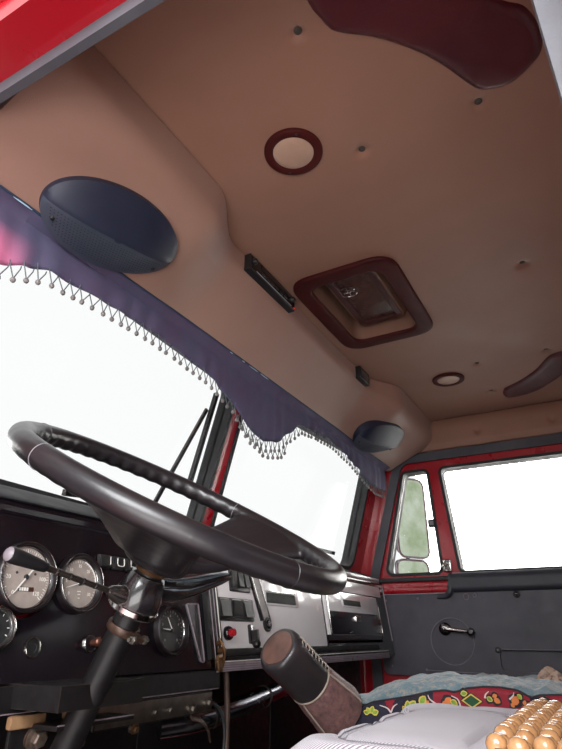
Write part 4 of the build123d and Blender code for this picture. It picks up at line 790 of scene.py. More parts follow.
def ring_of(name, points, shape, key, centre, facing, size=1.0):
    """The mesh of one small shape on every point, its Y away from the centre and its Z along facing."""
    base = bpy.data.meshes.new(name + "_points")
    base.from_pydata([tuple(p) for p in points], [], [])
    hidden = template(shape)
    mesh = run_tree(
        RADIAL, base, name, Piece=hidden, Finish=M[key], Centre=tuple(centre), Facing=tuple(facing), Size=size
    )
    bpy.data.objects.remove(hidden)
    return mesh



# %% [markdown]
# ## Padded ceiling
# The ceiling and the strips of wall above the doors are boards under smooth leatherette, pulled in by
# small buttons. Each panel is a closed slab whose lower face is a fine height field: a gentle bulge, with
# a steep little pit at every button. Grid lines crowd together near the buttons, so the pits are smooth
# and the rest stays light.

# %% Quilted panels: a height field with a pit at each button
BUTTON_REACH = 0.03
PIT_WIDTH, PIT_DEPTH = 0.012, 0.0095
HOLLOW_WIDTH, HOLLOW_DEPTH = 0.042, 0.0036


def grid_lines(low, high, pitch, marks, fine=0.003):
    """Coordinates from low to high, coarse except near the marks."""
    lines = {
        round(low + (high - low) * k / round((high - low) / pitch), 4)
        for k in range(round((high - low) / pitch) + 1)
    }
    for mark in marks:
        lines = {v for v in lines if abs(v - mark) > BUTTON_REACH * 0.9}
        lines |= {round(mark + fine * k, 4) for k in range(-9, 10) if low < mark + fine * k < high}
    return sorted(lines)


def pit(distance):
    """How far the cover is drawn in at a distance from a button."""
    return (
        PIT_DEPTH * math.exp(-((distance / PIT_WIDTH) ** 2))
        + HOLLOW_DEPTH * math.exp(-((distance / HOLLOW_WIDTH) ** 2))
    )


def quilted(shape, origin, right, up, size, buttons, key, thick, hole=None, bulge=0.0, edge=0.006):
    """A slab on a plane: its face looks along right x up, with a pit at each button and an optional hole."""
    right, up = Vector(right), Vector(up)
    out = right.cross(up)
    xs = grid_lines(0.0, size[0], 0.022, sorted({b[0] for b in buttons}) + (list(hole[0]) if hole else []))
    ys = grid_lines(0.0, size[1], 0.022, sorted({b[1] for b in buttons}) + (list(hole[1]) if hole else []))
    face, back = {}, {}
    for i, x in enumerate(xs):
        for j, y in enumerate(ys):
            inset = min(x, size[0] - x, y, size[1] - y)
            rounding = edge * (1 - min(inset / edge, 1.0)) ** 2
            lift = bulge * math.sin(math.pi * x / size[0]) * math.sin(math.pi * y / size[1])
            drawn = sum(
                pit(math.hypot(x - bx, y - by)) for bx, by in buttons
                if abs(x - bx) < 0.1 and abs(y - by) < 0.1
            )
            spot = Vector(origin) + right * x + up * y
            face[i, j] = shape.bm.verts.new(spot + out * (lift - rounding - drawn))
            back[i, j] = shape.bm.verts.new(spot - out * thick)
    faces = []
    cells = {(i, j) for i in range(len(xs) - 1) for j in range(len(ys) - 1)}
    if hole:
        (x0, x1), (y0, y1) = hole
        cells -= {
            (i, j) for i, j in cells
            if x0 < (xs[i] + xs[i + 1]) / 2 < x1 and y0 < (ys[j] + ys[j + 1]) / 2 < y1
        }
    for i, j in cells:
        ring = ((i, j), (i + 1, j), (i + 1, j + 1), (i, j + 1))
        faces.append(shape.bm.faces.new([face[c] for c in ring]))
        faces.append(shape.bm.faces.new([back[c] for c in ring[::-1]]))
        for (a, b), beside in zip(
            zip(ring, ring[1:] + ring[:1]), ((i, j - 1), (i + 1, j), (i, j + 1), (i - 1, j))
        ):
            if beside not in cells:
                faces.append(shape.bm.faces.new((face[b], face[a], back[a], back[b])))
    shape._finish(faces, key)
    loose = [v for v in (*face.values(), *back.values()) if not v.link_faces]
    bmesh.ops.delete(shape.bm, geom=loose, context="VERTS")


# %% The ceiling, the side strips and the rear strip
CEILING_Z, STRIP_LOW_Z = 1.8, 1.667
WALL_X, PANEL_X = 1.042, 1.068
PANEL_FRONT_Y, PANEL_REAR_Y, REAR_STRIP_Y = -0.758, 0.498, 0.488
HATCH = (0.0, -0.47)
CEILING_BUTTONS = [(s * x, y) for s in (1, -1) for x, y in (
    (0.835, -0.266), (0.556, -0.265), (0.558, -0.037), (0.835, 0.19), (0.28, 0.19), (0.556, 0.4))]
CEILING_BUTTONS += [(0.0, -0.037), (0.0, 0.4)]
SIDE_BUTTONS = [(-0.375, 1.722), (-0.08, 1.722), (0.215, 1.722)]
REAR_BUTTONS = [(x, 1.722) for x in (-0.8, -0.4, 0.0, 0.4, 0.8)]

lining = Shape()
hole = (
    (PANEL_X - 0.197, PANEL_X + 0.197), (HATCH[1] - 0.122 - PANEL_FRONT_Y, HATCH[1] + 0.122 - PANEL_FRONT_Y)
)
quilted(
    lining, (PANEL_X, PANEL_FRONT_Y, CEILING_Z), (-1, 0, 0), (0, 1, 0),
    (2 * PANEL_X, PANEL_REAR_Y - PANEL_FRONT_Y),
    [(PANEL_X - x, y - PANEL_FRONT_Y) for x, y in CEILING_BUTTONS], "vinyl", 0.011, hole, 0.0
)
strip = (REAR_STRIP_Y - PANEL_FRONT_Y, CEILING_Z - STRIP_LOW_Z)
for side in (1, -1):
    start = (side * WALL_X, PANEL_FRONT_Y if side < 0 else REAR_STRIP_Y, STRIP_LOW_Z)
    spots = [((y - start[1]) * -side, z - STRIP_LOW_Z) for y, z in SIDE_BUTTONS]
    quilted(lining, start, (0, -side, 0), (0, 0, 1), strip, spots, "vinyl", 0.026, None, 0.004, 0.012)
quilted(
    lining, (-WALL_X, REAR_STRIP_Y, STRIP_LOW_Z), (1, 0, 0), (0, 0, 1), (2 * WALL_X, strip[1]),
    [(x + WALL_X, z - STRIP_LOW_Z) for x, z in REAR_BUTTONS], "vinyl", 0.011, None, 0.0, 0.012,
)
ceiling_cover = lining.done("ceiling_cover", "cab", "ceiling_vinyl", ["headliner"])
print("ceiling faces:", len(ceiling_cover.data.polygons))

# %% Cloth buttons in the pits
button = Shape()
button.lathe(
    [
        (0.0002, 0.0022), (0.003, 0.0018), (0.0052, 0.0004), (0.0056, -0.001), (0.003, -0.0016),
        (0.0002, -0.0017)
    ],
    (0, 0, 0), (0, 0, -1), "button", 12
)
# The buttons are a dark grey-green, darker than the cover: partly their own cloth colour, partly painted
# shade of the pits they sit in.
M["button"] = finish("button_cloth_and_pit_shade", srgb(74, 70, 62), srgb(58, 54, 50), (0.6, 0.8), relief=(0.0008, 0.0001))
spots = [(x, y, CEILING_Z + PIT_DEPTH) for x, y in CEILING_BUTTONS]
place(
    "ceiling_buttons", scatter("ceiling_buttons", spots, button, "button", size=1.3), "cab", "ceiling_vinyl"
)
print("buttons:", len(spots))

# %% [markdown]
# ## Overhead console
# A padded shelf runs across above the windscreens. Its middle is shallower than its ends, and the cover
# flows from one depth to the other in a soft S. The surface is lofted: the same rounded section is
# written out at many places along X, and the rows of points are skinned.

# %% Console cover
CONSOLE_END = 1.0415
DEEP = {"face": -0.566, "foot": 1.712, "slope": (-0.6, 1.678), "nose": -0.826}
SHALLOW = {"face": -0.648, "foot": 1.748, "slope": (-0.668, 1.726), "nose": -0.836}
LOW_EDGE = (-0.78, 1.592)


def console_section(x):
    t = 1 - step(0.43, 0.63, abs(x))

    def between(a, b):
        return a + (b - a) * t

    face = between(DEEP["face"], SHALLOW["face"])
    foot = between(DEEP["foot"], SHALLOW["foot"])
    slope = [between(a, b) for a, b in zip(DEEP["slope"], SHALLOW["slope"])]
    nose = between(DEEP["nose"], SHALLOW["nose"])
    corners = [
        (face, CEILING_Z - 0.0005), (face, foot), tuple(slope), LOW_EDGE, (nose, 1.612), (nose, 1.7),
        (-0.77, CEILING_Z - 0.0005)
    ]
    return [(x, y, z) for y, z in rounded_outline(corners, [0.008, 0.05, 0.05, 0.014, 0.01, 0.01, 0.01], 8)]


xs = sorted(
    {round(CONSOLE_END * k / 40, 4) for k in range(-40, 41)} | {
        round(s * (0.42 + 0.01 * k), 4) for s in (1, -1) for k in range(23)
    }
)
console = Shape()
console.skin([console_section(x) for x in xs], "console")
M["console"] = finish(
    "console_leatherette", srgb(162, 124, 108), srgb(150, 112, 98), (0.48, 0.6), (2.4, 0.8),
    relief=(0.0016, 0.00014), Sheen_Weight=0.1
)
console_cover = console.done("console_cover", "cab", "ceiling_vinyl", ["overhead_console"], 60)
print("console sections:", len(xs))

# %% [markdown]
# ## Loudspeakers
# Each speaker is an oval wedge on the slope. Its surface is a small height field in rings: straight lines
# run from the oval rim up to a ridge along the long axis. The front half is perforated, with one small pin
# repeated by Geometry Nodes, and the rear half is smooth.

# %% Speakers
SPEAKER = {"long": 0.1437, "short": 0.0845, "rim": 0.012, "ridge": 0.034}
SPEAKER_SPOTS = ((0.7695, -0.7003, -10.6, "left"), (-0.672, -0.690, -14.0, "right"))
run, rise = DEEP["slope"][0] - LOW_EDGE[0], DEEP["slope"][1] - LOW_EDGE[1]
slope_turn = math.atan2(rise, run)
SLOPE_OUT = Vector((0, math.sin(slope_turn), -math.cos(slope_turn)))
SLOPE_UP = Vector((0, math.cos(slope_turn), math.sin(slope_turn)))
M["speaker"] = finish(
    "speaker_shell", srgb(32, 36, 56), srgb(26, 30, 48), (0.42, 0.55), relief=(0.0009, 0.00005)
)
M["speaker_mesh"] = finish(
    "speaker_mesh", srgb(72, 76, 88), srgb(52, 62, 74), (0.4, 0.5), (9.0, 0.8), relief=(0.0022, 0.0003)
)


def wedge_height(a, b):
    """Height above the slope: a runs along the long axis from -1 to 1, b across it from front to rear."""
    half = math.sqrt(max(1e-6, 1 - a * a))
    return SPEAKER["rim"] + SPEAKER["ridge"] * half * max(0.0, 1 - math.sqrt(b * b + 0.0025) / half + 0.05)


def wedge_spot(x, y, turn, a, b, lift=None):
    """A point of the speaker at (a, b), on its surface or at a height of its own."""
    angle = math.radians(turn)
    along, across = a * SPEAKER["long"], b * SPEAKER["short"]
    u, v = (
        along * math.cos(angle) - across * math.sin(angle), along * math.sin(angle) + across * math.cos(angle)
    )
    return (
        Vector((x + u, y, LOW_EDGE[1] + (y - LOW_EDGE[0]) * rise / run)) + SLOPE_UP * v
        + SLOPE_OUT * (wedge_height(a, b) if lift is None else lift)
    )


for x, y, turn, label in SPEAKER_SPOTS:
    speaker = Shape()
    circle = [2 * math.pi * (k + 0.5) / 72 for k in range(72)]
    rings = [[wedge_spot(x, y, turn, math.cos(t) * r, math.sin(t) * r, lift) for t in circle]
             for r, lift in [(1.0, -0.03), (1.0, 0.009)] + [(1 - 0.985 * k / 26, None) for k in range(27)]]
    rows = speaker.skin(rings, "speaker")
    front = []
    for i in range(3, 28):
        for j in range(72):
            if math.sin((circle[j] + circle[j - 1]) / 2) < -0.02:
                shared = (
                    set(rows[i][j].link_faces) & set(
                        rows[i][j - 1].link_faces
                    ) & set(rows[i - 1][j].link_faces)
                )
                front += list(shared)
    speaker._finish(set(front), "speaker_mesh")
    for a in (-0.78, 0.78):
        speaker.lathe([(0.0045, -0.004), (0.0045, 0.002), (0.003, 0.0032), (0.0004, 0.0033)],
                      wedge_spot(x, y, turn, a, -0.36), SLOPE_OUT, "satin_black", 16)
    speaker.done(f"speaker_{label}", "cab", "speaker_black", ["speakers"] if x > 0 else [])
print("speaker tilt:", round(math.degrees(slope_turn), 1))

# %% Holes of the speaker mesh
pin = Shape()
pin.lathe(
    [(0.0013, -0.001), (0.0013, 0.0003), (0.0007, 0.0006), (0.0001, 0.0007)], (0, 0, 0), (0, 0, 1), "speaker",
    6
)
spots = []
for x, y, turn, label in SPEAKER_SPOTS:
    for i in range(-20, 21):
        for j in range(1, 12):
            a, b = (i + (j % 2) * 0.5) * 0.045, -0.06 - j * 0.078
            if a * a + b * b < 0.82:
                spots.append(wedge_spot(x, y, turn, a, b))
lean = math.atan2(SPEAKER["ridge"], SPEAKER["short"])
studs = scatter("speaker_studs", spots, pin, "speaker", turn=(math.pi + slope_turn - lean, 0, 0))
place("speaker_studs", studs, "cab", "speaker_black")
print("speaker studs:", len(spots))

# %% [markdown]
# ## Radio, blank unit and ceiling lamps
# Both boxes are set into the rear face of the console. The lamps are turned: a flat dull red ring round a
# shallow milky lens.

# %% Radio and blank unit
M["lens"] = finish(
    "milky_lens", srgb(196, 162, 140), srgb(184, 150, 130), (0.35, 0.45), (20.0, 0.6), Coat_Weight=0.3
)
M["maroon"] = finish(
    "maroon_trim", srgb(78, 24, 22), srgb(60, 18, 18), (0.5, 0.65), (8.0, 0.8), relief=(0.0012, 0.00008),
    Specular_IOR_Level=0.2
)
M["red_light"] = finish("red_light", srgb(210, 30, 24), srgb(190, 24, 20), (0.2, 0.3), Emission_Strength=0.6)
M["red_light"].node_tree.nodes["Principled BSDF"].inputs["Emission Color"].default_value = srgb(255, 40, 20)
M["pale_print"] = finish("pale_print", srgb(178, 176, 178), srgb(158, 156, 160), (0.35, 0.5))
RADIO_Y = -0.648


def console_unit(shape, x, width, z=1.774, tall=0.046, proud=0.018):
    face = RADIO_Y + proud
    shape.block(
        (x - width / 2, RADIO_Y - 0.01, z - tall / 2), (x + width / 2, face, z + tall / 2), "satin_black",
        0.004, 3
    )
    shape.block(
        (x - width / 2 + 0.005, face - 0.002, z - tall / 2 + 0.005),
        (x + width / 2 - 0.005, face + 0.0015, z + tall / 2 - 0.005), "gloss_black", 0.001
    )
    return face + 0.0015


units = Shape()
face = console_unit(units, 0.27, 0.24)
units.block((0.175, face - 0.001, 1.756), (0.362, face + 0.0008, 1.7575), "pale_print", 0.0003, 1)
units.block((0.157, face - 0.001, 1.755), (0.163, face + 0.0015, 1.759), "red_light", 0.0005, 1)
for x in (0.375, 0.172):
    units.lathe(
        [(0.008, -0.002), (0.008, 0.006), (0.0065, 0.0085), (0.0003, 0.009)], (x, face, 1.778), (0, 1, 0),
        "satin_black", 20
    )
for k in range(6):
    units.block(
        (0.2 + 0.024 * k, face - 0.001, 1.763), (0.218 + 0.024 * k, face + 0.002, 1.769), "satin_black",
        0.001, 1
    )
units.block((0.2, face - 0.001, 1.775), (0.34, face + 0.001, 1.79), "gloss_black", 0.002, 2)
face = console_unit(units, -0.395, 0.09)
units.block((-0.435, face - 0.001, 1.7735), (-0.355, face + 0.001, 1.7745), "satin_black", 0.0004, 1)
units.done("console_units_finished", "cab", "speaker_black", ["console_units"])

# %% Ceiling lamps
lamps = Shape()
for side in (1, -1):
    spot = (side * 0.625, -0.385, CEILING_Z)
    lamps.lathe(
        [
            (0.041, 0.003), (0.0412, 0.0068), (0.0425, 0.0078), (0.0555, 0.0078), (0.0578, 0.0062),
            (0.0585, 0.003), (0.0585, -0.002), (0.041, -0.002)
        ],
        spot, (0, 0, -1), "maroon", 56
    )
    lamps.lathe(
        [
            (0.0008, 0.0098), (0.014, 0.0096), (0.028, 0.0088), (0.037, 0.0074), (0.0405, 0.0055),
            (0.0405, 0.001), (0.0008, 0.001)
        ],
        spot, (0, 0, -1), "lens", 56
    )
    for turn in (35, 215):
        a = math.radians(turn)
        lamps.lathe(
            [(0.0028, 0.0), (0.0028, 0.001), (0.0014, 0.0018), (0.0003, 0.0018)],
            (spot[0] + 0.05 * math.cos(a), spot[1] + 0.05 * math.sin(a), CEILING_Z - 0.0076), (0, 0, -1),
            "satin_black", 12
        )
ceiling_lamps = lamps.done("ceiling_lamps_finished", "cab", "lamp_lens", ["ceiling_lamps"])
print("lamp rings:", len(ceiling_lamps.data.polygons), "faces")

# %% [markdown]
# ## Roof hatch
# A wide flat ring trims the hole in the ceiling, and its collar goes up through the roof behind a beige
# liner. The ring is skinned through rounded rectangles of different insets, so its edge is soft all round.
# The lid carries an inner panel with a glossy pane and a wire latch, which ride with it when it opens.

# %% Hatch ring and collar
def rounded_box(half_x, half_y, corner, z, steps=7):
    corners = [
        (HATCH[0] + sx * half_x, HATCH[1] + sy * half_y) for sx, sy in ((1, 1), (-1, 1), (-1, -1), (1, -1))
    ]
    return [(x, y, z) for x, y in rounded_outline(corners, corner, steps)]


RING_ROWS = (
    # inset from the ring's outer edge, height, corner radius
    (0.0, 1.7996, 0.07), (0.0, 1.7935, 0.07), (0.0015, 1.7905, 0.069), (0.005, 1.7888, 0.067),
    (0.012, 1.7882, 0.063), (0.037, 1.7882, 0.049), (0.043, 1.7888, 0.046), (0.0458, 1.7905, 0.044),
    (0.047, 1.794, 0.042), (0.047, 1.903, 0.042),
    (0.0265, 1.903, 0.052), (0.0265, 1.7996, 0.052),
)
ring = Shape()
ring.skin(
    [rounded_box(0.225 - inset, 0.15 - inset, corner, z) for inset, z, corner in RING_ROWS], "maroon",
    close=True
)
M["liner"] = finish("beige_liner", srgb(150, 112, 94), srgb(132, 98, 82), (0.45, 0.6), (9.0, 0.7))
ring.skin(
    [
        rounded_box(0.178 - inset, 0.103 - inset, 0.041, z)
        for inset, z in ((-0.0004, 1.7985), (-0.0004, 1.902), (0.0012, 1.902), (0.0012, 1.7985))
    ],
    "liner", close=True
)
hatch_ring = ring.done("hatch_ring", "cab", "hatch_trim", ["hatch_frame"], 50)

# %% Inner panel of the lid with its latch
M["hatch_panel"] = finish(
    "hatch_inner_panel", srgb(78, 36, 30), srgb(58, 24, 22), (0.35, 0.5), (11.0, 0.9), Coat_Weight=0.2
)
M["smoked"] = finish(
    "smoked_pane", srgb(92, 60, 50), srgb(70, 44, 40), (0.2, 0.32), (10.0, 0.6), Coat_Weight=0.3,
    Coat_Roughness=0.1
)
panel = Shape()
panel.skin(
    [
        rounded_box(0.160 - inset, 0.085 - inset, corner, z)
        for inset, z, corner in (
            (0.0, 1.9085, 0.03), (0.0, 1.862, 0.03), (0.003, 1.848, 0.028), (0.011, 1.828, 0.024),
            (0.0145, 1.8265, 0.02), (0.0145, 1.9085, 0.02)
        )
    ],
    "liner", close=True
)
panel.skin(
    [
        rounded_box(0.1455 - inset, 0.0705 - inset, corner, z)
        for inset, z, corner in (
            (0.0, 1.9, 0.018), (0.0, 1.8275, 0.018), (0.0025, 1.8255, 0.016), (0.017, 1.8255, 0.010),
            (0.020, 1.8285, 0.008), (0.020, 1.9, 0.008)
        )
    ],
    "hatch_panel", close=True
)
panel.skin([rounded_box(0.127, 0.052, 0.010, z) for z in (1.9, 1.8345, 1.834)], "smoked")
for offset in (0.0, 0.022):
    loop = [
        (0.05 + offset + 0.014 * math.cos(a), -0.500 + 0.02 * math.sin(a), 1.828)
        for a in (2 * math.pi * k / 20 for k in range(20))
    ]
    panel.tube(loop, 0.0022, "chrome", 8, close=True)
panel.block((0.045, -0.502, 1.826), (0.078, -0.498, 1.838), "chrome", 0.001)
panel.done("hatch_inner_panel", "roof_hatch", "hatch_panel")
print("hatch ring faces:", len(hatch_ring.data.polygons))

# %% [markdown]
# ## Wing-shaped pads
# Two dark leather pads decorate the ceiling. A pad is thickest in the middle and rolls down to its
# outline, so each point's height comes from its distance to the outline. The inside is filled with a
# triangulated net, because the outline is far from a rectangle.

# %% Wing pads
WING = [
    (0.829, -0.219), (0.810, -0.208), (0.772, -0.158), (0.724, -0.112), (0.677, -0.078), (0.610, -0.042),
    (0.587, -0.021), (0.581, 0.020), (0.599, 0.055), (0.615, 0.072), (0.645, 0.078), (0.680, 0.072),
    (0.711, 0.058), (0.733, 0.033), (0.780, -0.007), (0.830, -0.048), (0.881, -0.093), (0.906, -0.14),
    (0.917, -0.19), (0.906, -0.221), (0.870, -0.228)
]
PAD_TALL, PAD_ROLL = 0.012, 0.026


def edge_distance(x, y, outline):
    """The distance from a spot to the nearest side of an outline."""
    spot, lengths = Vector((x, y)), []
    for a, b in zip(outline, outline[1:] + outline[:1]):
        near, share = geometry.intersect_point_line((x, y), a, b)
        lengths.append((near - spot).length if 0 <= share <= 1 else (Vector(a) - spot).length)
    return min(lengths)


def pad_net(outline, pitch):
    """Triangles that fill an outline, with a row of points just inside it."""
    points = [Vector(p) for p in outline]
    low = [min(p[i] for p in outline) for i in (0, 1)]
    high = [max(p[i] for p in outline) for i in (0, 1)]
    for i in range(int((high[0] - low[0]) / pitch) + 1):
        for j in range(int((high[1] - low[1]) / pitch) + 1):
            x, y = low[0] + i * pitch + (j % 2) * pitch / 2, low[1] + j * pitch
            inside = sum((a[1] > y) != (b[1] > y) and x < a[0] + (y - a[1]) / (b[1] - a[1]) * (b[0] - a[0])
                         for a, b in zip(outline, outline[1:] + outline[:1])) % 2
            if inside and edge_distance(x, y, outline) > pitch * 0.4:
                points.append(Vector((x, y)))
    count = len(outline)
    edges = [(k, (k + 1) % count) for k in range(count)]
    found = geometry.delaunay_2d_cdt(points, edges, [], 1, 1e-6)
    return [tuple(v) for v in found[0]], found[2]


outline = [tuple(p.xy) for p in smooth_path([(x, y, 0) for x, y in WING] + [(*WING[0], 0)], 4)[:-1]]
flat, triangles = pad_net(outline, 0.008)
pads = Shape()
for side in (1, -1):
    low, high = [], []
    for x, y in flat:
        inset = edge_distance(x, y, outline)
        rise = math.sqrt(max(0.0, 1 - (1 - min(inset / PAD_ROLL, 1.0)) ** 2))
        tall = 0.0015 + (PAD_TALL - 0.0015) * rise + 0.0006 * noise.noise(Vector((x * 30, y * 30, side)))
        low.append(pads.bm.verts.new((side * x, y, CEILING_Z - tall)))
        high.append(pads.bm.verts.new((side * x, y, CEILING_Z - 0.0002)))
    faces = (
        [pads.bm.faces.new([low[i] for i in t]) for t in triangles]
        + [pads.bm.faces.new([high[i] for i in t[::-1]]) for t in triangles]
    )
    rim = [e for f in faces[:len(triangles)] for e in f.edges if len(e.link_faces) == 1]
    where = {v: k for k, v in enumerate(low)}
    for edge in rim:
        a, b = (where[v] for v in edge.verts)
        faces.append(pads.bm.faces.new((low[a], low[b], high[b], high[a])))
    bmesh.ops.recalc_face_normals(pads.bm, faces=faces)
    pads._finish(faces, "burgundy")
wing_pads = pads.done("wing_pads_padded", "cab", "wing_leather", ["wing_pads"], 70)
print("wing pad points:", len(flat))

# %% [markdown]
# ## Velvet valance
# A band of velvet is pinned along the foot of the console's slope and hangs from its low edge, with a
# scalloped hem. It is one sheet of cloth: a grid whose first rows lie on the slope and whose last row
# follows the hem, with shallow upright folds that deepen downwards, and Solidify for its own thickness.

# %% Velvet
def velvet(name, base, second, painted_sky_sheen):
    """Pile cloth with a pink glow painted on its outer lobe as daylight shining through it, and a sheen tint
    given as painted sky light.
    """
    mat = finish(
        name, base, second, (0.7, 0.85), (9.0, 0.8), relief=(0.0012, 0.0002), Sheen_Weight=0.4,
        Sheen_Roughness=0.4
    )
    shader = mat.node_tree.nodes["Principled BSDF"]
    shader.inputs["Sheen Tint"].default_value = painted_sky_sheen
    graph = Graph(mat.node_tree)
    spot = graph.node(
        "ShaderNodeSeparateXYZ", {0: graph.node("ShaderNodeTexCoord").outputs["Object"]}
    ).outputs
    painted_backlight = graph.math("MULTIPLY", graph.ramp(spot["X"], 0.86, 0.93), graph.ramp(spot["Z"], 1.556, 1.50))
    under = shader.inputs["Base Color"].links[0].from_socket
    mat.node_tree.links.new(graph.mix(painted_backlight, under, srgb(206, 110, 146)), shader.inputs["Base Color"])
    return mat


# The slate blue of the plum base is partly the velvet's own colour and partly painted glare from the bright
# windows.
M["velvet"] = velvet("plum_velvet", srgb(78, 76, 102), srgb(76, 58, 84), srgb(120, 130, 168))
HEM = [
    (1.0, 1.5), (0.96, 1.479), (0.917, 1.48), (0.87, 1.503), (0.823, 1.522), (0.70, 1.530), (0.55, 1.535),
    (0.343, 1.519), (0.227, 1.485), (0.14, 1.438), (0.06, 1.421), (-0.02, 1.438), (-0.10, 1.49),
    (-0.178, 1.543), (-0.30, 1.556), (-0.415, 1.561), (-0.55, 1.545), (-0.65, 1.523), (-0.75, 1.500),
    (-0.85, 1.484), (-1.0, 1.494)
]
VALANCE_Y, VALANCE_TOP, HEADER = -0.783, 1.5885, 0.021
PAINTED_DAYLIGHT_GAPS = ((0.90, 0.938), (0.255, 0.268), (0.195, 0.208), (0.125, 0.172), (0.065, 0.112))


def hem_height(x):
    for (a, za), (b, zb) in zip(HEM[:-1], HEM[1:]):
        if b <= x <= a:
            return zb + (za - zb) * step(b, a, x) * 0.5 + (za - zb) * 0.5 * (x - b) / (a - b)
    return HEM[-1][1]


def valance_point(x, t):
    """A point of the cloth: t runs from 0 at the top edge to 1 at the hem."""
    if t < 0.2:
        mixed = [
            SHALLOW["slope"][k] + (DEEP["slope"][k] - SHALLOW["slope"][k]) * step(0.43, 0.63, abs(x))
            - LOW_EDGE[k]
            for k in (0, 1)
        ]
        length = math.hypot(*mixed)
        run, rise = mixed[0] / length, mixed[1] / length
        up = 0.010 + (HEADER - 0.010) * (1 - t / 0.2)
        lift = 0.0028 + 0.0008 * math.sin(x * 60)
        return (x, LOW_EDGE[0] + run * up + rise * lift, LOW_EDGE[1] + rise * up - run * lift)
    t = (t - 0.2) / 0.8
    top = VALANCE_TOP
    fold = 0.0022 * math.sin(x * 88 + 1.7 * math.sin(x * 21)) + 0.0015 * math.sin(x * 37 + 2)
    bow = 0.004 * math.sin(math.pi * t)
    z = top + (hem_height(x) - top) * t
    return (x, VALANCE_Y + fold * (0.25 + 0.75 * t) + bow - 0.001, z)


def grid_piece(
        name, point, columns, rows, key, body, slot=None, replaces=(), thick=0.002, uv_size=(1.0, 1.0)
):
    """One sheet of cloth from a function of two numbers from 0 to 1, with a UV map in metres."""
    mesh = bpy.data.meshes.new(name)
    verts = [point(i / columns, j / rows) for j in range(rows + 1) for i in range(columns + 1)]
    wide = columns + 1
    faces = [
        (j * wide + i, j * wide + i + 1, (j + 1) * wide + i + 1, (j + 1) * wide + i) for j in range(rows)
        for i in range(columns)
    ]
    mesh.from_pydata(verts, [], faces)
    uv = mesh.uv_layers.new(name="cloth")
    for loop in mesh.loops:
        k = loop.vertex_index
        uv.data[loop.index].uv = ((k % wide) / columns * uv_size[0], (k // wide) / rows * uv_size[1])
    mesh.materials.append(M[key])
    piece = place(name, mesh, body, slot, replaces, 70)
    shell = piece.modifiers.new("cloth thickness", "SOLIDIFY")
    shell.thickness = thick
    shell.offset = 0.0
    return piece


valance = grid_piece(
    "valance_cloth", lambda u, v: valance_point(1.0 - 2.0 * u, v), 420, 14, "velvet", "cab", "velvet",
    ["valance"], 0.0022, (2.06, 0.16)
)
edge = Shape()
M["edge_teal"] = finish("header_binding", srgb(44, 62, 84), srgb(34, 48, 70), (0.5, 0.7))
M["painted_daylight_strip"] = finish("painted_daylight_slit", srgb(196, 226, 240), srgb(180, 212, 232), (0.3, 0.4))
edge.tube(
    [Vector(valance_point(1.0 - 2.0 * k / 160, 0.0)) + Vector((0, 0.0008, 0)) for k in range(161)], 0.0022,
    "edge_teal", 8
)
# Pale blue strips along the top edge are painted light: daylight that shows through gaps between the cloth
# and the console, given as coloured strips.
for a, b in PAINTED_DAYLIGHT_GAPS:
    edge.tube(
        [Vector(valance_point(a + (b - a) * k / 4, 0.0)) + Vector((0, 0.001, -0.0028)) for k in range(5)],
        [0.0004, 0.0011, 0.0012, 0.0011, 0.0004], "painted_daylight_strip", 6
    )
header_binding = edge.done("valance_binding", "cab", "velvet")
print("valance faces:", len(valance.data.polygons))

# %% [markdown]
# The fringe is a row of thread loops, each with a small bead at its foot. One loop is modelled once, and
# Geometry Nodes repeat it along the hem. Near the middle lobe a second row hangs between the first.

# %% Fringe of threads and beads
M["fringe"] = finish("fringe_thread", srgb(78, 84, 88), srgb(62, 68, 74), (0.5, 0.7))
M["bead"] = finish("fringe_bead", srgb(120, 114, 112), srgb(90, 86, 86), (0.3, 0.5), (60.0, 1.0))
PITCH = 0.025


def fringe_loop(key):
    loop = Shape()
    if key == "fringe":
        for side in (1, -1):
            loop.tube(
                [
                    (side * PITCH * 0.5, 0, 0.004), (side * PITCH * 0.46, 0, -0.002),
                    (side * 0.001, 0, -0.0235)
                ],
                0.0011, key, 5
            )
    else:
        loop.lathe(
            [
                (0.0003, 0.0), (0.0026, 0.0009), (0.0045, 0.0035), (0.0049, 0.0065), (0.0038, 0.0095),
                (0.0016, 0.011), (0.0003, 0.0113)
            ],
            (0, 0, -0.0225), (0, 0, -1), key, 8
        )
    return loop


spots = [
    (x, VALANCE_Y + 0.0012, hem_height(x)) for x in [0.992 - PITCH * k for k in range(int(1.98 / PITCH))]
]
second = [(x - PITCH / 2, y, z - 0.0165) for x, y, z in spots if -0.08 < x < 0.2]
for key in ("fringe", "bead"):
    mesh = scatter(
        f"valance_{key}", spots + second, fringe_loop(key), key, turn_spread=(0.05, 0.12, 0.3), seed=4
    )
    place(f"valance_{key}", mesh, "cab", "velvet")
print("fringe loops:", len(spots) + len(second))

# %% [markdown]
# ## Steering wheel
# The rim, two wide spokes and the hub are moulded in one, so their joints are soft. They are made as
# simple overlapping bodies in the wheel's own axes, joined by a voxel remesh and smoothed, which rounds
# every inner corner. The finger waves on the inside of the rim are pressed in afterwards.

# %% Wheel axes and the joined body
WHEEL = Vector((0.657, -0.569, 1.111))
TILT = math.radians(28.4)
AXIS = Vector((0, math.sin(TILT), math.cos(TILT)))
ACROSS = Vector((1, 0, 0))
REARWARD = AXIS.cross(ACROSS)
RIM_R, TUBE_R = 0.262, 0.0175
SPOKE_ANGLES = (31, 174)
wheel_axes = Matrix((ACROSS, REARWARD, AXIS)).transposed().to_4x4()
wheel_axes.translation = WHEEL


def rounded_section(half, tall, steps=16, power=0.55):
    """A soft rectangle as a ring of (sideways, up) offsets."""
    ring = []
    for k in range(steps):
        a = 2 * math.pi * k / steps
        c, s = math.cos(a), math.sin(a)
        ring.append((half * math.copysign(abs(c) ** power, c), tall * math.copysign(abs(s) ** power, s)))
    return ring


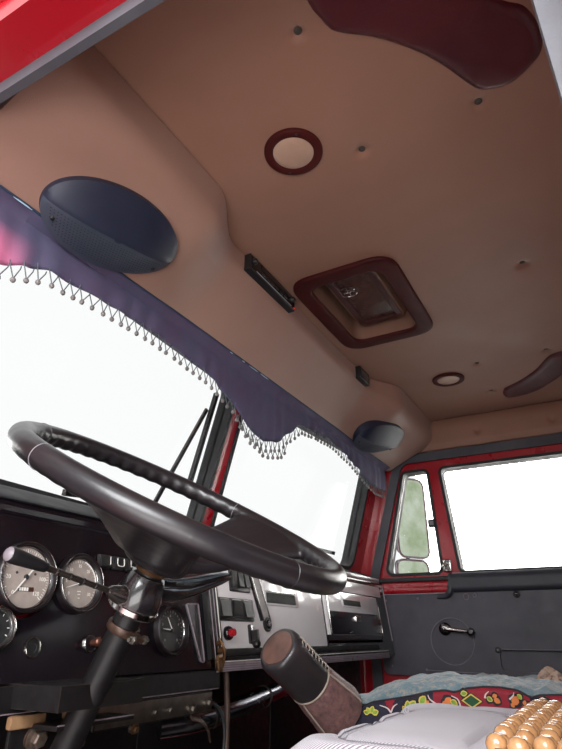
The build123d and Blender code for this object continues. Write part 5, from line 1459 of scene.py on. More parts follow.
def joined(shape, voxel, smooth=4):
    """Melts the bodies of a shape into one skin with rounded joints."""
    mesh = bpy.data.meshes.new("joined")
    shape.bm.to_mesh(mesh)
    shape.bm.free()
    carrier = bpy.data.objects.new("joined", mesh)
    bpy.context.scene.collection.objects.link(carrier)
    melt = carrier.modifiers.new("melt", "REMESH")
    melt.mode = "VOXEL"
    melt.voxel_size = voxel
    relax = carrier.modifiers.new("relax", "SMOOTH")
    relax.factor, relax.iterations = 0.5, smooth
    bpy.context.view_layer.update()
    result = bpy.data.meshes.new_from_object(carrier.evaluated_get(bpy.context.evaluated_depsgraph_get()))
    bpy.data.objects.remove(carrier)
    return result


body = Shape()
rim = [(RIM_R * math.cos(a), RIM_R * math.sin(a), 0) for a in (2 * math.pi * k / 144 for k in range(144))]
body.tube(rim, TUBE_R, "wheel", 24, close=True, side=(0, 0, 1))
SPOKE = (
    # distance from the axis, height, half width, half thickness
    (0.0, -0.082, 0.044, 0.014), (0.05, -0.08, 0.052, 0.015), (0.09, -0.07, 0.056, 0.013),
    (0.13, -0.053, 0.062, 0.012), (0.17, -0.035, 0.07, 0.012), (0.21, -0.018, 0.082, 0.012),
    (0.238, -0.007, 0.094, 0.012), (0.256, -0.001, 0.104, 0.01),
)
for angle in SPOKE_ANGLES:
    a = math.radians(angle)
    out, side = Vector((math.cos(a), math.sin(a), 0)), Vector((-math.sin(a), math.cos(a), 0))
    rings = []
    for reach, height, half, tall in SPOKE:
        rings.append([
            out * reach + side * w + Vector((0, 0, height + h)) for w, h in rounded_section(half, tall)
        ])
    body.skin(rings, "wheel")
body.lathe(
    [
        (0.0005, -0.106), (0.043, -0.106), (0.052, -0.1), (0.055, -0.085), (0.055, -0.066), (0.05, -0.056),
        (0.034, -0.051), (0.0005, -0.05)
    ],
    (0, 0, 0), (0, 0, 1), "wheel", 48
)
wheel_mesh = joined(body, 0.0026, 5)

# %% Finger waves, seam rings, horn button
for vert in wheel_mesh.vertices:
    x, y, z = vert.co
    radius = math.hypot(x, y)
    tube = math.hypot(radius - RIM_R, z)
    if tube < 0.03 and tube > 0.004:
        turn = math.degrees(math.atan2(y, x)) % 360
        clear = min(abs((turn - a + 180) % 360 - 180) for a in SPOKE_ANGLES)
        inward = max(0.0, ((RIM_R - radius) * 0.75 - z * 0.66) / tube)
        wave = 0.5 - 0.5 * math.cos(math.radians(turn) * 56)
        pull = 0.0024 * wave * inward ** 1.5 * step(11, 20, clear)
        scale = 1 - pull / tube
        vert.co.x, vert.co.y = (
            (RIM_R + (radius - RIM_R) * scale) * x / radius, (RIM_R + (radius - RIM_R) * scale) * y / radius
        )
        vert.co.z = z * scale
wheel_mesh.transform(wheel_axes)
wheel_mesh.materials.append(M["wheel"])
wheel = place(
    "steering_wheel_finished", wheel_mesh, "steering_wheel", "wheel_plastic", ["steering_wheel"], 80
)
print("wheel faces:", len(wheel.data.polygons))

M["seam"] = finish("moulding_seam", srgb(150, 146, 150), srgb(120, 116, 120), (0.4, 0.6))
details = Shape()
SEAM_RINGS = ((356, "seam"), (197, "seam"), (76, "wheel"), (300, "wheel"))
seam_r = TUBE_R - 0.0001
for angle, key in SEAM_RINGS:
    a = math.radians(angle)
    ring = []
    for k in range(28):
        t = 2 * math.pi * k / 28
        reach = RIM_R + seam_r * math.cos(t)
        ring.append(wheel_axes @ Vector((math.cos(a) * reach, math.sin(a) * reach, seam_r * math.sin(t))))
    details.tube(ring, 0.0007, key, 6, close=True)
details.lathe(
    [(0.0005, -0.04), (0.018, -0.0405), (0.028, -0.044), (0.031, -0.05), (0.031, -0.056), (0.0005, -0.056)],
    wheel_axes @ Vector((0, 0, 0)), AXIS, "gloss_black", 48
)
details.lathe(
    [(0.031, -0.058), (0.035, -0.052), (0.0372, -0.0505), (0.0385, -0.053), (0.0385, -0.058)], WHEEL, AXIS,
    "chrome", 48
)
details.lathe(
    [(0.016, -0.135), (0.016, -0.118), (0.024, -0.116), (0.03, -0.104), (0.0005, -0.104), (0.0005, -0.135)],
    WHEEL, AXIS, "brass", 36
)
details.lathe(
    [(0.0098, -0.167), (0.0098, -0.12), (0.0005, -0.12), (0.0005, -0.167)], WHEEL, AXIS, "steel", 24
)
details.done("steering_wheel_details", "steering_wheel", "wheel_plastic")

# %% [markdown]
# ## Column switches
# Under the wheel sits a turned switch housing with a chromed skirt. A thin rod with a tapered grip
# reaches to the driver's left, and a broad flat handle to the right.

# %% Housing, rod and flat handle
def column_spot(drop):
    return WHEEL - AXIS * drop


M["smoky"] = finish(
    "smoky_chrome", srgb(150, 144, 142), srgb(96, 88, 86), (0.1, 0.25), (30.0, 0.9), Metallic=0.9
)
# A pale blue-grey gloss for a painted highlight: the reflection of the sky on the flat handle, given as
# colour.
M["painted_sky_highlight"] = finish(
    "pale_painted_sky_highlight", srgb(150, 168, 182), srgb(110, 126, 140), (0.15, 0.3), (24.0, 0.9), Coat_Weight=0.5,
    Coat_Roughness=0.08
)
M["grease"] = finish(
    "greasy_brass", srgb(88, 64, 50), srgb(38, 30, 30), (0.3, 0.5), (70.0, 1.0), Metallic=0.4
)
M["lilac_tip"] = finish("pale_tip", srgb(134, 124, 130), srgb(104, 96, 102), (0.4, 0.5))
M["switch"] = finish(
    "switch_housing", srgb(26, 24, 28), srgb(40, 35, 36), (0.12, 0.26), (30.0, 0.9),
    worn=(srgb(120, 112, 106), 0.0025, 0.7), Coat_Weight=0.5, Coat_Roughness=0.1
)
switches = Shape()
switches.lathe(
    [
        (0.0215, -0.178), (0.036, -0.178), (0.038, -0.172), (0.0365, -0.15), (0.031, -0.13), (0.027, -0.1205),
        (0.0215, -0.119)
    ],
    WHEEL, AXIS, "switch", 40
)
switches.lathe(
    [(0.036, -0.1775), (0.0395, -0.175), (0.0395, -0.168), (0.0365, -0.166), (0.035, -0.17)], WHEEL, AXIS,
    "chrome", 40
)
root, rod_root = column_spot(0.14), column_spot(0.162)
ROD = (Vector((0.9064, -0.6356, 1.0106)) - rod_root).normalized()
switches.tube([rod_root + ROD * r for r in (0.03, 0.08, 0.12, 0.195)], 0.0040, "steel", 12)
for reach in (0.09, 0.115, 0.14, 0.165):
    switches.lathe(
        [(0.004, reach), (0.0047, reach + 0.001), (0.0047, reach + 0.004), (0.004, reach + 0.005)], rod_root,
        ROD, "smoky", 14
    )
switches.lathe(
    [(0.0135, 0.012), (0.0150, 0.022), (0.0135, 0.042), (0.0085, 0.060), (0.0042, 0.066)], rod_root, ROD,
    "smoky", 24
)
grip = [
    (0.0045, 0.186), (0.0064, 0.188), (0.0074, 0.198), (0.0090, 0.222), (0.0100, 0.240), (0.0098, 0.2450),
    (0.0088, 0.2480), (0.0068, 0.2505), (0.0030, 0.2520), (0.0004, 0.2522)
]
switches.lathe(grip[:7], rod_root, ROD, "satin_black", 24)
switches.lathe(grip[6:], rod_root, ROD, "lilac_tip", 24)
HANDLE = (
    # distance from the axis, half width, half thickness, drop
    (0.016, 0.016, 0.016, 0.002), (0.045, 0.023, 0.017, 0.002), (0.08, 0.024, 0.016, -0.001),
    (0.115, 0.021, 0.014, -0.008), (0.15, 0.017, 0.0115, -0.017), (0.185, 0.013, 0.009, -0.027),
    (0.205, 0.009, 0.006, -0.032), (0.209, 0.003, 0.002, -0.033),
)
rings = []
for reach, half, tall, drop in HANDLE:
    centre = root - ACROSS * reach - AXIS * (drop - 0.004)
    rings.append([centre + REARWARD * w + AXIS * h for w, h in rounded_section(half, tall, 20, 0.75)])
switches.skin(rings, "switch")
# A pale strip over the upper near side of the flat handle is a painted highlight, the sky's reflection
# painted as colour.
worn = []
for k, (reach, half, tall, drop) in enumerate(HANDLE[:7]):
    centre = root - ACROSS * reach - AXIS * (drop - 0.004)
    arc = [(math.cos(a), math.sin(a)) for a in (math.radians(18 + 12 * i + 3 * k) for i in range(5))]
    worn.append([
        centre + REARWARD * c * half * r + AXIS * s * tall * r for r, side in ((1.06, arc), (0.9, arc[::-1]))
        for c, s in side
    ])
switches.skin(worn, "painted_sky_highlight")
for turn in (20, 140, 260):
    a = math.radians(turn)
    spot = column_spot(0.1775) + (ACROSS * math.cos(a) + REARWARD * math.sin(a)) * 0.0295
    switches.lathe(
        [(0.0042, -0.001), (0.0042, 0.0025), (0.0034, 0.0034), (0.0003, 0.0036)], spot, -AXIS, "steel", 6
    )
switches.done("column_switches_finished", "cab", "switch_black", ["column_switches"])

# %% Clamp and bolts on the column
CLAMP_DROP = 0.204
bolt = column_spot(CLAMP_DROP) + REARWARD * 0.037
clamp = Shape()
clamp.lathe(
    [
        (0.0213, -0.211), (0.0245, -0.211), (0.0255, -0.209), (0.0255, -0.201), (0.0245, -0.199),
        (0.0213, -0.199)
    ],
    WHEEL, AXIS, "grease", 36
)
for side in (1, -1):
    low = bolt + ACROSS * side * 0.004
    clamp.tube([low - REARWARD * 0.012, low + REARWARD * 0.004], 0.005, "grease", 4, side=ACROSS)
clamp.tube([bolt - ACROSS * 0.02, bolt + ACROSS * 0.022], 0.003, "steel", 10)
for way in (1, -1):
    clamp.lathe(
        [(0.0065, -0.003), (0.0065, 0.002), (0.0055, 0.003), (0.0003, 0.003)], bolt + ACROSS * 0.013 * way,
        ACROSS * way, "steel", 6
    )
LOW_COLLAR = 0.5  # how far down the column the plain collar sits
clamp.lathe(
    [
        (0.0213, -LOW_COLLAR - 0.008), (0.0232, -LOW_COLLAR - 0.006), (0.0232, -LOW_COLLAR + 0.006),
        (0.0213, -LOW_COLLAR + 0.008)
    ],
    WHEEL, AXIS, "switch", 32
)
clamp.done("column_clamp", "cab", "column_paint")
print("column drop at the clamp:", tuple(round(v, 3) for v in column_spot(CLAMP_DROP)))

# %% [markdown]
# ## Gear lever
# The lever is wrapped: a leather grip with a scuffed flat end and a laced seam, a pale collar, and a
# perforated leather sleeve with piping down its sides. The grip is turned about the lever's own axis.

# %% Lever grip and sleeve
TIP = Vector((0.345, -0.573, 0.902))
LEVER = Vector((-0.815, 0.205, -0.545)).normalized()
LEVER_SIDE = LEVER.cross(Vector((0, 0, 1))).normalized()
LEVER_TOP = LEVER_SIDE.cross(LEVER).normalized()
M["scuffed"] = finish(
    "scuffed_leather", srgb(118, 84, 72), srgb(70, 50, 46), (0.35, 0.6), (26.0, 1.0), relief=(0.0016, 0.0002)
)
M["grip"] = finish(
    "black_leather", srgb(36, 33, 36), srgb(52, 46, 48), (0.28, 0.42), (16.0, 0.9), relief=(0.0018, 0.0003),
    Coat_Weight=0.3, Coat_Roughness=0.3
)
M["sleeve"] = finish(
    "sleeve_leather", srgb(142, 104, 100), srgb(84, 64, 64), (0.4, 0.6), (90.0, 1.0), relief=(0.0022, 0.0005)
)
M["piping"] = finish("beige_piping", srgb(176, 164, 150), srgb(140, 126, 116), (0.5, 0.65))


LEVER_GROWTH = 1.16


def lever_ring(reach, radius, steps=48, lumps=0.0):
    ring = []
    radius *= LEVER_GROWTH
    for k in range(steps):
        a = 2 * math.pi * k / steps
        lump = 1 + lumps * noise.noise(Vector((math.cos(a) * 2, math.sin(a) * 2, reach * 40)))
        ring.append(
            TIP + LEVER * reach + (LEVER_SIDE * math.cos(a) + LEVER_TOP * math.sin(a)) * radius * lump
        )
    return ring


lever = Shape()
lever.skin(
    [
        lever_ring(r, d, 48, 0.02)
        for r, d in ((0.004, 0.029), (0.001, 0.0285), (0.0, 0.022), (-0.0005, 0.002))
    ],
    "scuffed"
)
lever.skin(
    [
        lever_ring(r, d, 48, 0.03)
        for r, d in (
            (0.0035, 0.028), (0.0015, 0.031), (0.0035, 0.0345), (0.009, 0.0372), (0.02, 0.0382),
            (0.05, 0.0375), (0.08, 0.0378), (0.104, 0.0384), (0.111, 0.0375), (0.112, 0.03)
        )
    ],
    "grip"
)
lever.tube(lever_ring(0.1125, 0.0365), 0.0028, "piping", 10, close=True)
lever.skin(
    [
        lever_ring(r, d, 48, 0.05)
        for r, d in (
            (0.112, 0.03), (0.1135, 0.0345), (0.12, 0.0375), (0.15, 0.0405), (0.18, 0.0435), (0.205, 0.046),
            (0.216, 0.0455), (0.219, 0.038), (0.218, 0.012)
        )
    ],
    "sleeve"
)
for turn in (25, 150, 270):
    a = math.radians(turn)
    out = LEVER_SIDE * math.cos(a) + LEVER_TOP * math.sin(a)
    lever.tube(
        [
            TIP + LEVER * r + out * d * LEVER_GROWTH
            for r, d in ((0.114, 0.0362), (0.13, 0.0392), (0.16, 0.0420), (0.19, 0.0448), (0.214, 0.0462))
        ],
        0.0017, "piping", 8
    )
lace_turn = math.radians(35)
lace_out = LEVER_SIDE * math.cos(lace_turn) + LEVER_TOP * math.sin(lace_turn)
lace_across = LEVER.cross(lace_out)
lever.tube(
    [TIP + LEVER * r + lace_out * 0.0385 * LEVER_GROWTH for r in (0.01, 0.03, 0.06, 0.09, 0.108)], 0.0035,
    "grip", 8, flat=0.6
)
for k in range(9):
    centre = TIP + LEVER * (0.014 + 0.0112 * k) + lace_out * 0.0405 * LEVER_GROWTH
    lever.tube(
        [
            centre - lace_across * 0.008 - lace_out * 0.002, centre + LEVER * 0.003,
            centre + lace_across * 0.008 + LEVER * 0.006 - lace_out * 0.002
        ],
        0.0011, "piping", 6
    )
foot_reach = (TIP.z - 0.643) / -LEVER.z
lever.tube([TIP + LEVER * 0.19, TIP + LEVER * foot_reach], 0.011, "satin_black", 20)
foot = TIP + LEVER * foot_reach
boot = [
    (0.062, -0.0225), (0.064, -0.018), (0.061, -0.013), (0.05, -0.011), (0.05, -0.007), (0.046, -0.002),
    (0.037, 0.0), (0.037, 0.004), (0.032, 0.01), (0.024, 0.013), (0.023, 0.018), (0.0195, 0.024),
    (0.013, 0.026), (0.0005, 0.026)
]
lever.lathe(boot, foot, (0, 0, 1), "rubber", 44)
gear_lever = lever.done("gear_lever_finished", "cab", "lever_leather", ["gear_lever"], 60)

# %% Pores of the sleeve
pore = Shape()
pore.lathe(
    [(0.0012, -0.0004), (0.0012, 0.0003), (0.0007, 0.0006), (0.0001, 0.0006)], (0, 0, 0), (0, 0, 1), "grip", 6
)
spots = []
for i in range(9):
    for j in range(26):
        a, reach = 2 * math.pi * (j + 0.5 * (i % 2)) / 26, 0.124 + 0.0098 * i
        radius = LEVER_GROWTH * (0.0377 + (reach - 0.12) * 0.1)
        spots.append(TIP + LEVER * reach + (LEVER_SIDE * math.cos(a) + LEVER_TOP * math.sin(a)) * radius)
place("sleeve_pores", scatter("sleeve_pores", spots, pore, "grip", size=1.0), "cab", "lever_leather")
print("sleeve pores:", len(spots))
# %% [markdown]
# ## The dash
# The dash is a black lacquered sheet that leans back a little. Its instruments are small turned bodies:
# a deep black bezel with a bright lip, a pale dial with printed numbers, and a white needle. Everything
# on it is placed by its sideways position and its height, on a plane that follows the CAD face.

# %% Places on the dash face
FACE_OUT = Vector((0, 0.9903, 0.1387))
FACE_UP = Vector((0, -0.1387, 0.9903))
FACE_RIGHT = Vector((-1, 0, 0))
FACE_LEAN = 0.14

M["dial"] = finish(
    "dial_face", srgb(166, 154, 146), srgb(146, 134, 128), (0.4, 0.5), (60.0, 0.8), Coat_Weight=0.3,
    Coat_Roughness=0.1
)
M["dial_dark"] = finish(
    "dark_dial", srgb(34, 36, 38), srgb(44, 44, 44), (0.35, 0.5), (50.0, 0.8), Coat_Weight=0.4,
    Coat_Roughness=0.1
)
M["print"] = finish("white_print", srgb(236, 232, 224), srgb(214, 210, 204), (0.4, 0.5), (60.0, 0.6))
M["ink"] = finish("dark_print", srgb(60, 54, 52), srgb(44, 40, 40), (0.4, 0.5), (60.0, 0.6))
M["bezel"] = finish("bezel_black", srgb(12, 7, 12), srgb(26, 15, 18), (0.34, 0.48), (30.0, 0.9))
M["copper"] = finish(
    "copper_rim", srgb(120, 76, 60), srgb(70, 42, 38), (0.25, 0.4), (40.0, 0.9), Metallic=0.6
)
# Near-white lacquer for plates on the dash: a painted reflection of the bright windows in the glossy dash.
M["painted_window_reflection"] = finish(
    "white_painted_window_reflection", srgb(252, 248, 248), srgb(242, 237, 238), (0.16, 0.28), (5.0, 0.6),
    worn=(srgb(60, 54, 54), 0.0012, 0.5), Coat_Weight=0.6, Coat_Roughness=0.05,
)
# Black for the insides of slots and sockets, drawn as plates: painted shade of the holes.
M["painted_hole_shade"] = finish("painted_shade_black", srgb(8, 7, 8), srgb(5, 5, 6), (0.5, 0.7), (20.0, 0.6))
M["ridge"] = finish("black_ridge", srgb(12, 10, 12), srgb(18, 14, 15), (0.45, 0.6), (30.0, 0.8))
M["rail_grey"] = finish("grey_inlay", srgb(96, 92, 96), srgb(70, 66, 70), (0.3, 0.45), (40.0, 0.9))
M["cowl"] = finish(
    "dash_cowl", srgb(27, 28, 34), srgb(20, 20, 26), (0.55, 0.7), relief=(0.0014, 0.0001), dust=0.05
)
M["lilac"] = finish(
    "grey_lilac_strip", srgb(148, 134, 142), srgb(116, 104, 112), (0.25, 0.4), (20.0, 0.9), Coat_Weight=0.4
)
M["knob_red"] = finish(
    "red_button", srgb(196, 34, 42), srgb(160, 22, 34), (0.2, 0.35), (60.0, 0.6), Coat_Weight=0.5
)
M["crackle"] = finish(
    "grey_ribbed_strip", srgb(196, 190, 188), srgb(166, 160, 160), (0.4, 0.55), (60.0, 0.9),
    relief=(0.002, 0.0003)
)


def dash_spot(x, z, out=0.0):
    return Vector((x, -0.846 + FACE_LEAN * (1.125 - z), z)) + FACE_OUT * out


def dash_plate(shape, corners, out, thick, key, radius=0.0, rounded=0.0):
    """A plate on the dash face; corners are (x, z)."""
    outline = [(-x, z / FACE_UP.z) for x, z in corners]
    outline = rounded_outline(outline, radius) if radius else outline
    shape.plate(outline, dash_spot(0, 0, out), FACE_RIGHT, FACE_UP, thick, key, rounded)


def oblong_plate(shape, x, z, out, thick, key, radius=0.0, rounded=0.0):
    """The same for a rectangle, given as (low, high) in x and in z."""
    dash_plate(
        shape, [(x[0], z[0]), (x[1], z[0]), (x[1], z[1]), (x[0], z[1])], out, thick, key, radius, rounded
    )


def dial_spot(x, z, radius, degrees, out):
    turn = math.radians(degrees)
    return dash_spot(x, z, out) + (FACE_RIGHT * math.cos(turn) + FACE_UP * math.sin(turn)) * radius


print("dash face from", dash_spot(-1, 0.85), "to", dash_spot(1, 1.125))

# %% [markdown]
# The marks around a dial repeat, so a ring of points carries one small bar, and the radial tree turns
# each bar towards the centre. The numbers are real letter shapes, flattened onto the dial.


# %% Dials
FACE_HEIGHT = 0.004


def bezel(shape, x, z, rim, inner, height, key="bezel", lip="chrome"):
    """A deep ring with a thin bright lip around its mouth and a wide dark slope down to the dial."""
    spot = dash_spot(x, z)
    outer = [
        (rim, -0.002), (rim, height - 0.003), (rim - 0.0012, height - 0.001), (rim - 0.003, height),
        (rim - 0.005, height - 0.001), (inner + 0.0035, 0.0085), (inner + 0.001, 0.0065),
        (inner - 0.0005, 0.002), (inner - 0.0005, -0.002)
    ]
    shape.lathe(outer, spot, FACE_OUT, key, 56, close=True)
    for radius, level, thick in ((rim - 0.0022, height - 0.0002, 0.0005), (inner + 0.0012, 0.0068, 0.0006)):
        ring = [
            (radius + thick * math.cos(a), level + thick * math.sin(a))
            for a in (k * math.pi / 3 for k in range(6))
        ]
        shape.lathe(ring, spot, FACE_OUT, lip, 56, close=True)


def dial_marks(name, x, z, radius, start, sweep, count, length, width, key):
    bar = Shape()
    bar.plate(
        [(-width, -length), (width, -length), (width, length), (-width, length)], (0, 0, 0), (1, 0, 0),
        (0, 1, 0), 0.0004, key
    )
    spots = [
        dial_spot(x, z, radius, start - sweep * k / (count - 1), FACE_HEIGHT + 0.0002) for k in range(count)
    ]
    return ring_of(name, spots, bar, key, dash_spot(x, z, FACE_HEIGHT), FACE_OUT), key


def needle(shape, x, z, degrees, reach, tail, key="print", width=0.0011, level=0.0026):
    turn = math.radians(degrees)
    along = FACE_RIGHT * math.cos(turn) + FACE_UP * math.sin(turn)
    side = FACE_OUT.cross(along)
    outline = [
        (-tail, -width), (reach * 0.6, -width * 0.8), (reach, -width * 0.3), (reach, width * 0.3),
        (reach * 0.6, width * 0.8), (-tail, width)
    ]
    shape.plate(outline, dash_spot(x, z, FACE_HEIGHT + level), along, side, 0.0008, key)
    shape.lathe(
        [(0.0042, 0.0004), (0.0042, 0.003), (0.003, 0.0042), (0.001, 0.0046)], dash_spot(x, z, FACE_HEIGHT),
        FACE_OUT, "satin_black", 20
    )


def gauges_finished():
    shape = Shape()
    marks = []
    # speed: a pale dial with numbers from 0 to 120 and a distance counter
    x, z = 0.7235, 1.004
    bezel(shape, x, z, 0.0555, 0.0465, 0.015)
    shape.lathe([(0.0485, 0.0015), (0.0485, FACE_HEIGHT)], dash_spot(x, z), FACE_OUT, "dial", 56)
    marks.append(dial_marks("speed_marks", x, z, 0.0425, 228, 276, 49, 0.0016, 0.00035, "print"))
    marks.append(dial_marks("speed_long_marks", x, z, 0.0412, 228, 276, 13, 0.0032, 0.0006, "print"))
    for k, number in enumerate(("0", "20", "40", "60", "80", "100", "120")):
        shape.words(
            number, 0.0092, dial_spot(x, z, 0.0325, 228 - 46 * k, FACE_HEIGHT), FACE_RIGHT, FACE_UP, "print"
        )
    for side in (-1, 1):
        spot = dash_spot(x + 0.0175 * side, z + 0.006, FACE_HEIGHT)
        shape.lathe([(0.0022, 0), (0.0022, 0.0006)], spot, FACE_OUT, "ink", 16)
    oblong_plate(shape, (x - 0.017, x + 0.013), (z - 0.0215, z - 0.0145), FACE_HEIGHT, 0.0005, "ink", 0.001)
    for k in range(6):
        low = x + 0.011 - 0.0046 * k
        oblong_plate(
            shape, (low - 0.0036, low), (z - 0.0207, z - 0.0153), FACE_HEIGHT + 0.0004, 0.0003,
            "print" if k < 4 else "copper"
        )
    needle(shape, x, z, 229, 0.036, 0.022, width=0.0013)
    # engine speed: a greyer dial with a white arc and small numbers
    x, z = 0.6110, 1.003
    bezel(shape, x, z, 0.0500, 0.0400, 0.015)
    shape.lathe([(0.0415, 0.0015), (0.0415, FACE_HEIGHT)], dash_spot(x, z), FACE_OUT, "dial", 56)
    marks.append(dial_marks("engine_marks", x, z, 0.0368, 218, 256, 31, 0.0018, 0.0004, "print"))
    for k, number in enumerate(("0", "5", "10", "15", "20", "25", "30")):
        shape.words(
            number, 0.0078, dial_spot(x, z, 0.0290, 218 - 42.7 * k, FACE_HEIGHT), FACE_RIGHT, FACE_UP, "print"
        )
    arc = [dial_spot(x, z, 0.0385, a, FACE_HEIGHT + 0.0008) for a in range(-12, 78, 5)]
    shape.tube(arc, 0.0011, "print", 6)
    for k, drop in enumerate((0.013, 0.018, 0.024)):
        oblong_plate(
            shape, (x - 0.004 + 0.001 * k, x + 0.004 - 0.001 * k), (z - drop - 0.0014, z - drop), FACE_HEIGHT,
            0.0004, "print"
        )
    needle(shape, x, z, 197, 0.033, 0.008)
    # a small round gauge at the far left, with a dark face
    x, z = 0.767, 0.929
    bezel(shape, x, z, 0.0285, 0.0235, 0.012, "satin_black", "chrome")
    shape.lathe(
        [
            (0.0285, 0.006), (0.0300, 0.008), (0.0300, 0.011), (0.0280, 0.0125), (0.0265, 0.0125),
            (0.0265, 0.006)
        ],
        dash_spot(x, z), FACE_OUT, "chrome", 48, close=True
    )
    shape.lathe([(0.025, 0.0015), (0.025, FACE_HEIGHT)], dash_spot(x, z), FACE_OUT, "dial_dark", 40)
    marks.append(dial_marks("small_marks", x, z, 0.0205, 210, 240, 9, 0.0018, 0.0005, "print"))
    needle(shape, x, z, 250, 0.019, 0.005)
    # a black double-pressure gauge to the right of the wheel
    x, z = 0.3605, 0.930
    bezel(shape, x, z, 0.0490, 0.0395, 0.015, "bezel", "bezel")
    ring = [
        (0.0408 + 0.0006 * math.cos(a), 0.0072 + 0.0006 * math.sin(a))
        for a in (k * math.pi / 3 for k in range(6))
    ]
    shape.lathe(ring, dash_spot(x, z), FACE_OUT, "chrome", 56, close=True)
    shape.lathe([(0.041, 0.0015), (0.041, FACE_HEIGHT)], dash_spot(x, z), FACE_OUT, "dial_dark", 56)
    marks.append(dial_marks("pressure_marks", x, z, 0.0355, 225, 270, 21, 0.0022, 0.0005, "dial"))
    for k, number in enumerate(("0", "3", "6", "9", "12")):
        shape.words(
            number, 0.007, dial_spot(x, z, 0.0272, 225 - 67.5 * k, FACE_HEIGHT), FACE_RIGHT, FACE_UP, "dial"
        )
    needle(shape, x, z, 176, 0.0265, 0.002)
    needle(shape, x, z, 119, 0.0265, 0.002, level=0.0036)
    for mesh, key in marks:
        shape.take(mesh, key)
    shape.done("gauges_finished", "cab", "instrument", ["gauges"])


gauges_finished()
print("four gauges on the dash")

# %% [markdown]
# To the right of the wheel stands a panel with rocker switches, a slanted ribbed strip, a slot in a bright
# frame, a red button and a small lever. The near-white of the panel and its frame is a painted reflection of
# the bright windows in the glossy dash, and the depth of the slot is a black plate, painted shade. A tapered
# silver frame and three thin ridges divide it from the gauges. Each is a low plate or bar with rounded edges,
# stacked on the dash face.


# %% Panel with its switches
def rocker(shape, x, z, wide, high, lean, frame_key="satin_black"):
    """One rocker: a rim and a button that leans to one side, with a pale outline on it."""
    oblong_plate(
        shape, (x - wide / 2, x + wide / 2), (z - high / 2, z + high / 2), 0.002, 0.004, frame_key, 0.002,
        0.0008
    )
    low, high_end = (0.003, 0.008) if lean else (0.008, 0.003)
    half, up = wide / 2 - 0.0022, high / 2 - 0.0022
    corners = []
    for side_z, level in ((-up, low), (up, high_end)):
        corners.append([
            dash_spot(x + s * half, z + side_z, o)
            for s, o in ((-1, 0.004), (-1, 0.005 + level), (1, 0.005 + level), (1, 0.004))
        ])
    shape.skin(corners, "satin_black")


def centre_panel():
    shape = Shape()
    # Near-white plates: a painted reflection of the bright windows in the glossy dash.
    dash_plate(
        shape, [(0.176, 0.893), (-0.405, 0.893), (-0.405, 1.094), (0.186, 1.094)], 0.0, 0.0022, "painted_window_reflection",
        0.006, 0.0008
    )
    oblong_plate(shape, (-0.985, -0.408), (1.0635, 1.118), 0.0, 0.0022, "painted_window_reflection", 0.006, 0.0008)
    # bright frame with a dark slot
    # near-white frame, a painted reflection, with a slot whose depth is a black plate of painted shade
    (x0, x1), (z0, z1), gap = (-0.232, -0.036), (0.996, 1.058), 0.026
    oblong_plate(shape, (x0, x1), (z0, z1), 0.002, 0.004, "painted_window_reflection", 0.004, 0.0012)
    oblong_plate(
        shape, (x0 + 0.02, x1 - 0.008), (z0 + 0.005, z0 + 0.005 + gap), 0.0062, 0.0012, "painted_hole_shade", 0.002
    )
    oblong_plate(
        shape, (x0 + 0.018, x1 - 0.006), (z0 + gap + 0.007, z0 + gap + 0.0095), 0.006, 0.003, "chrome", 0.001,
        0.0005
    )
    return shape.done("centre_panel", "cab", "dash_black")


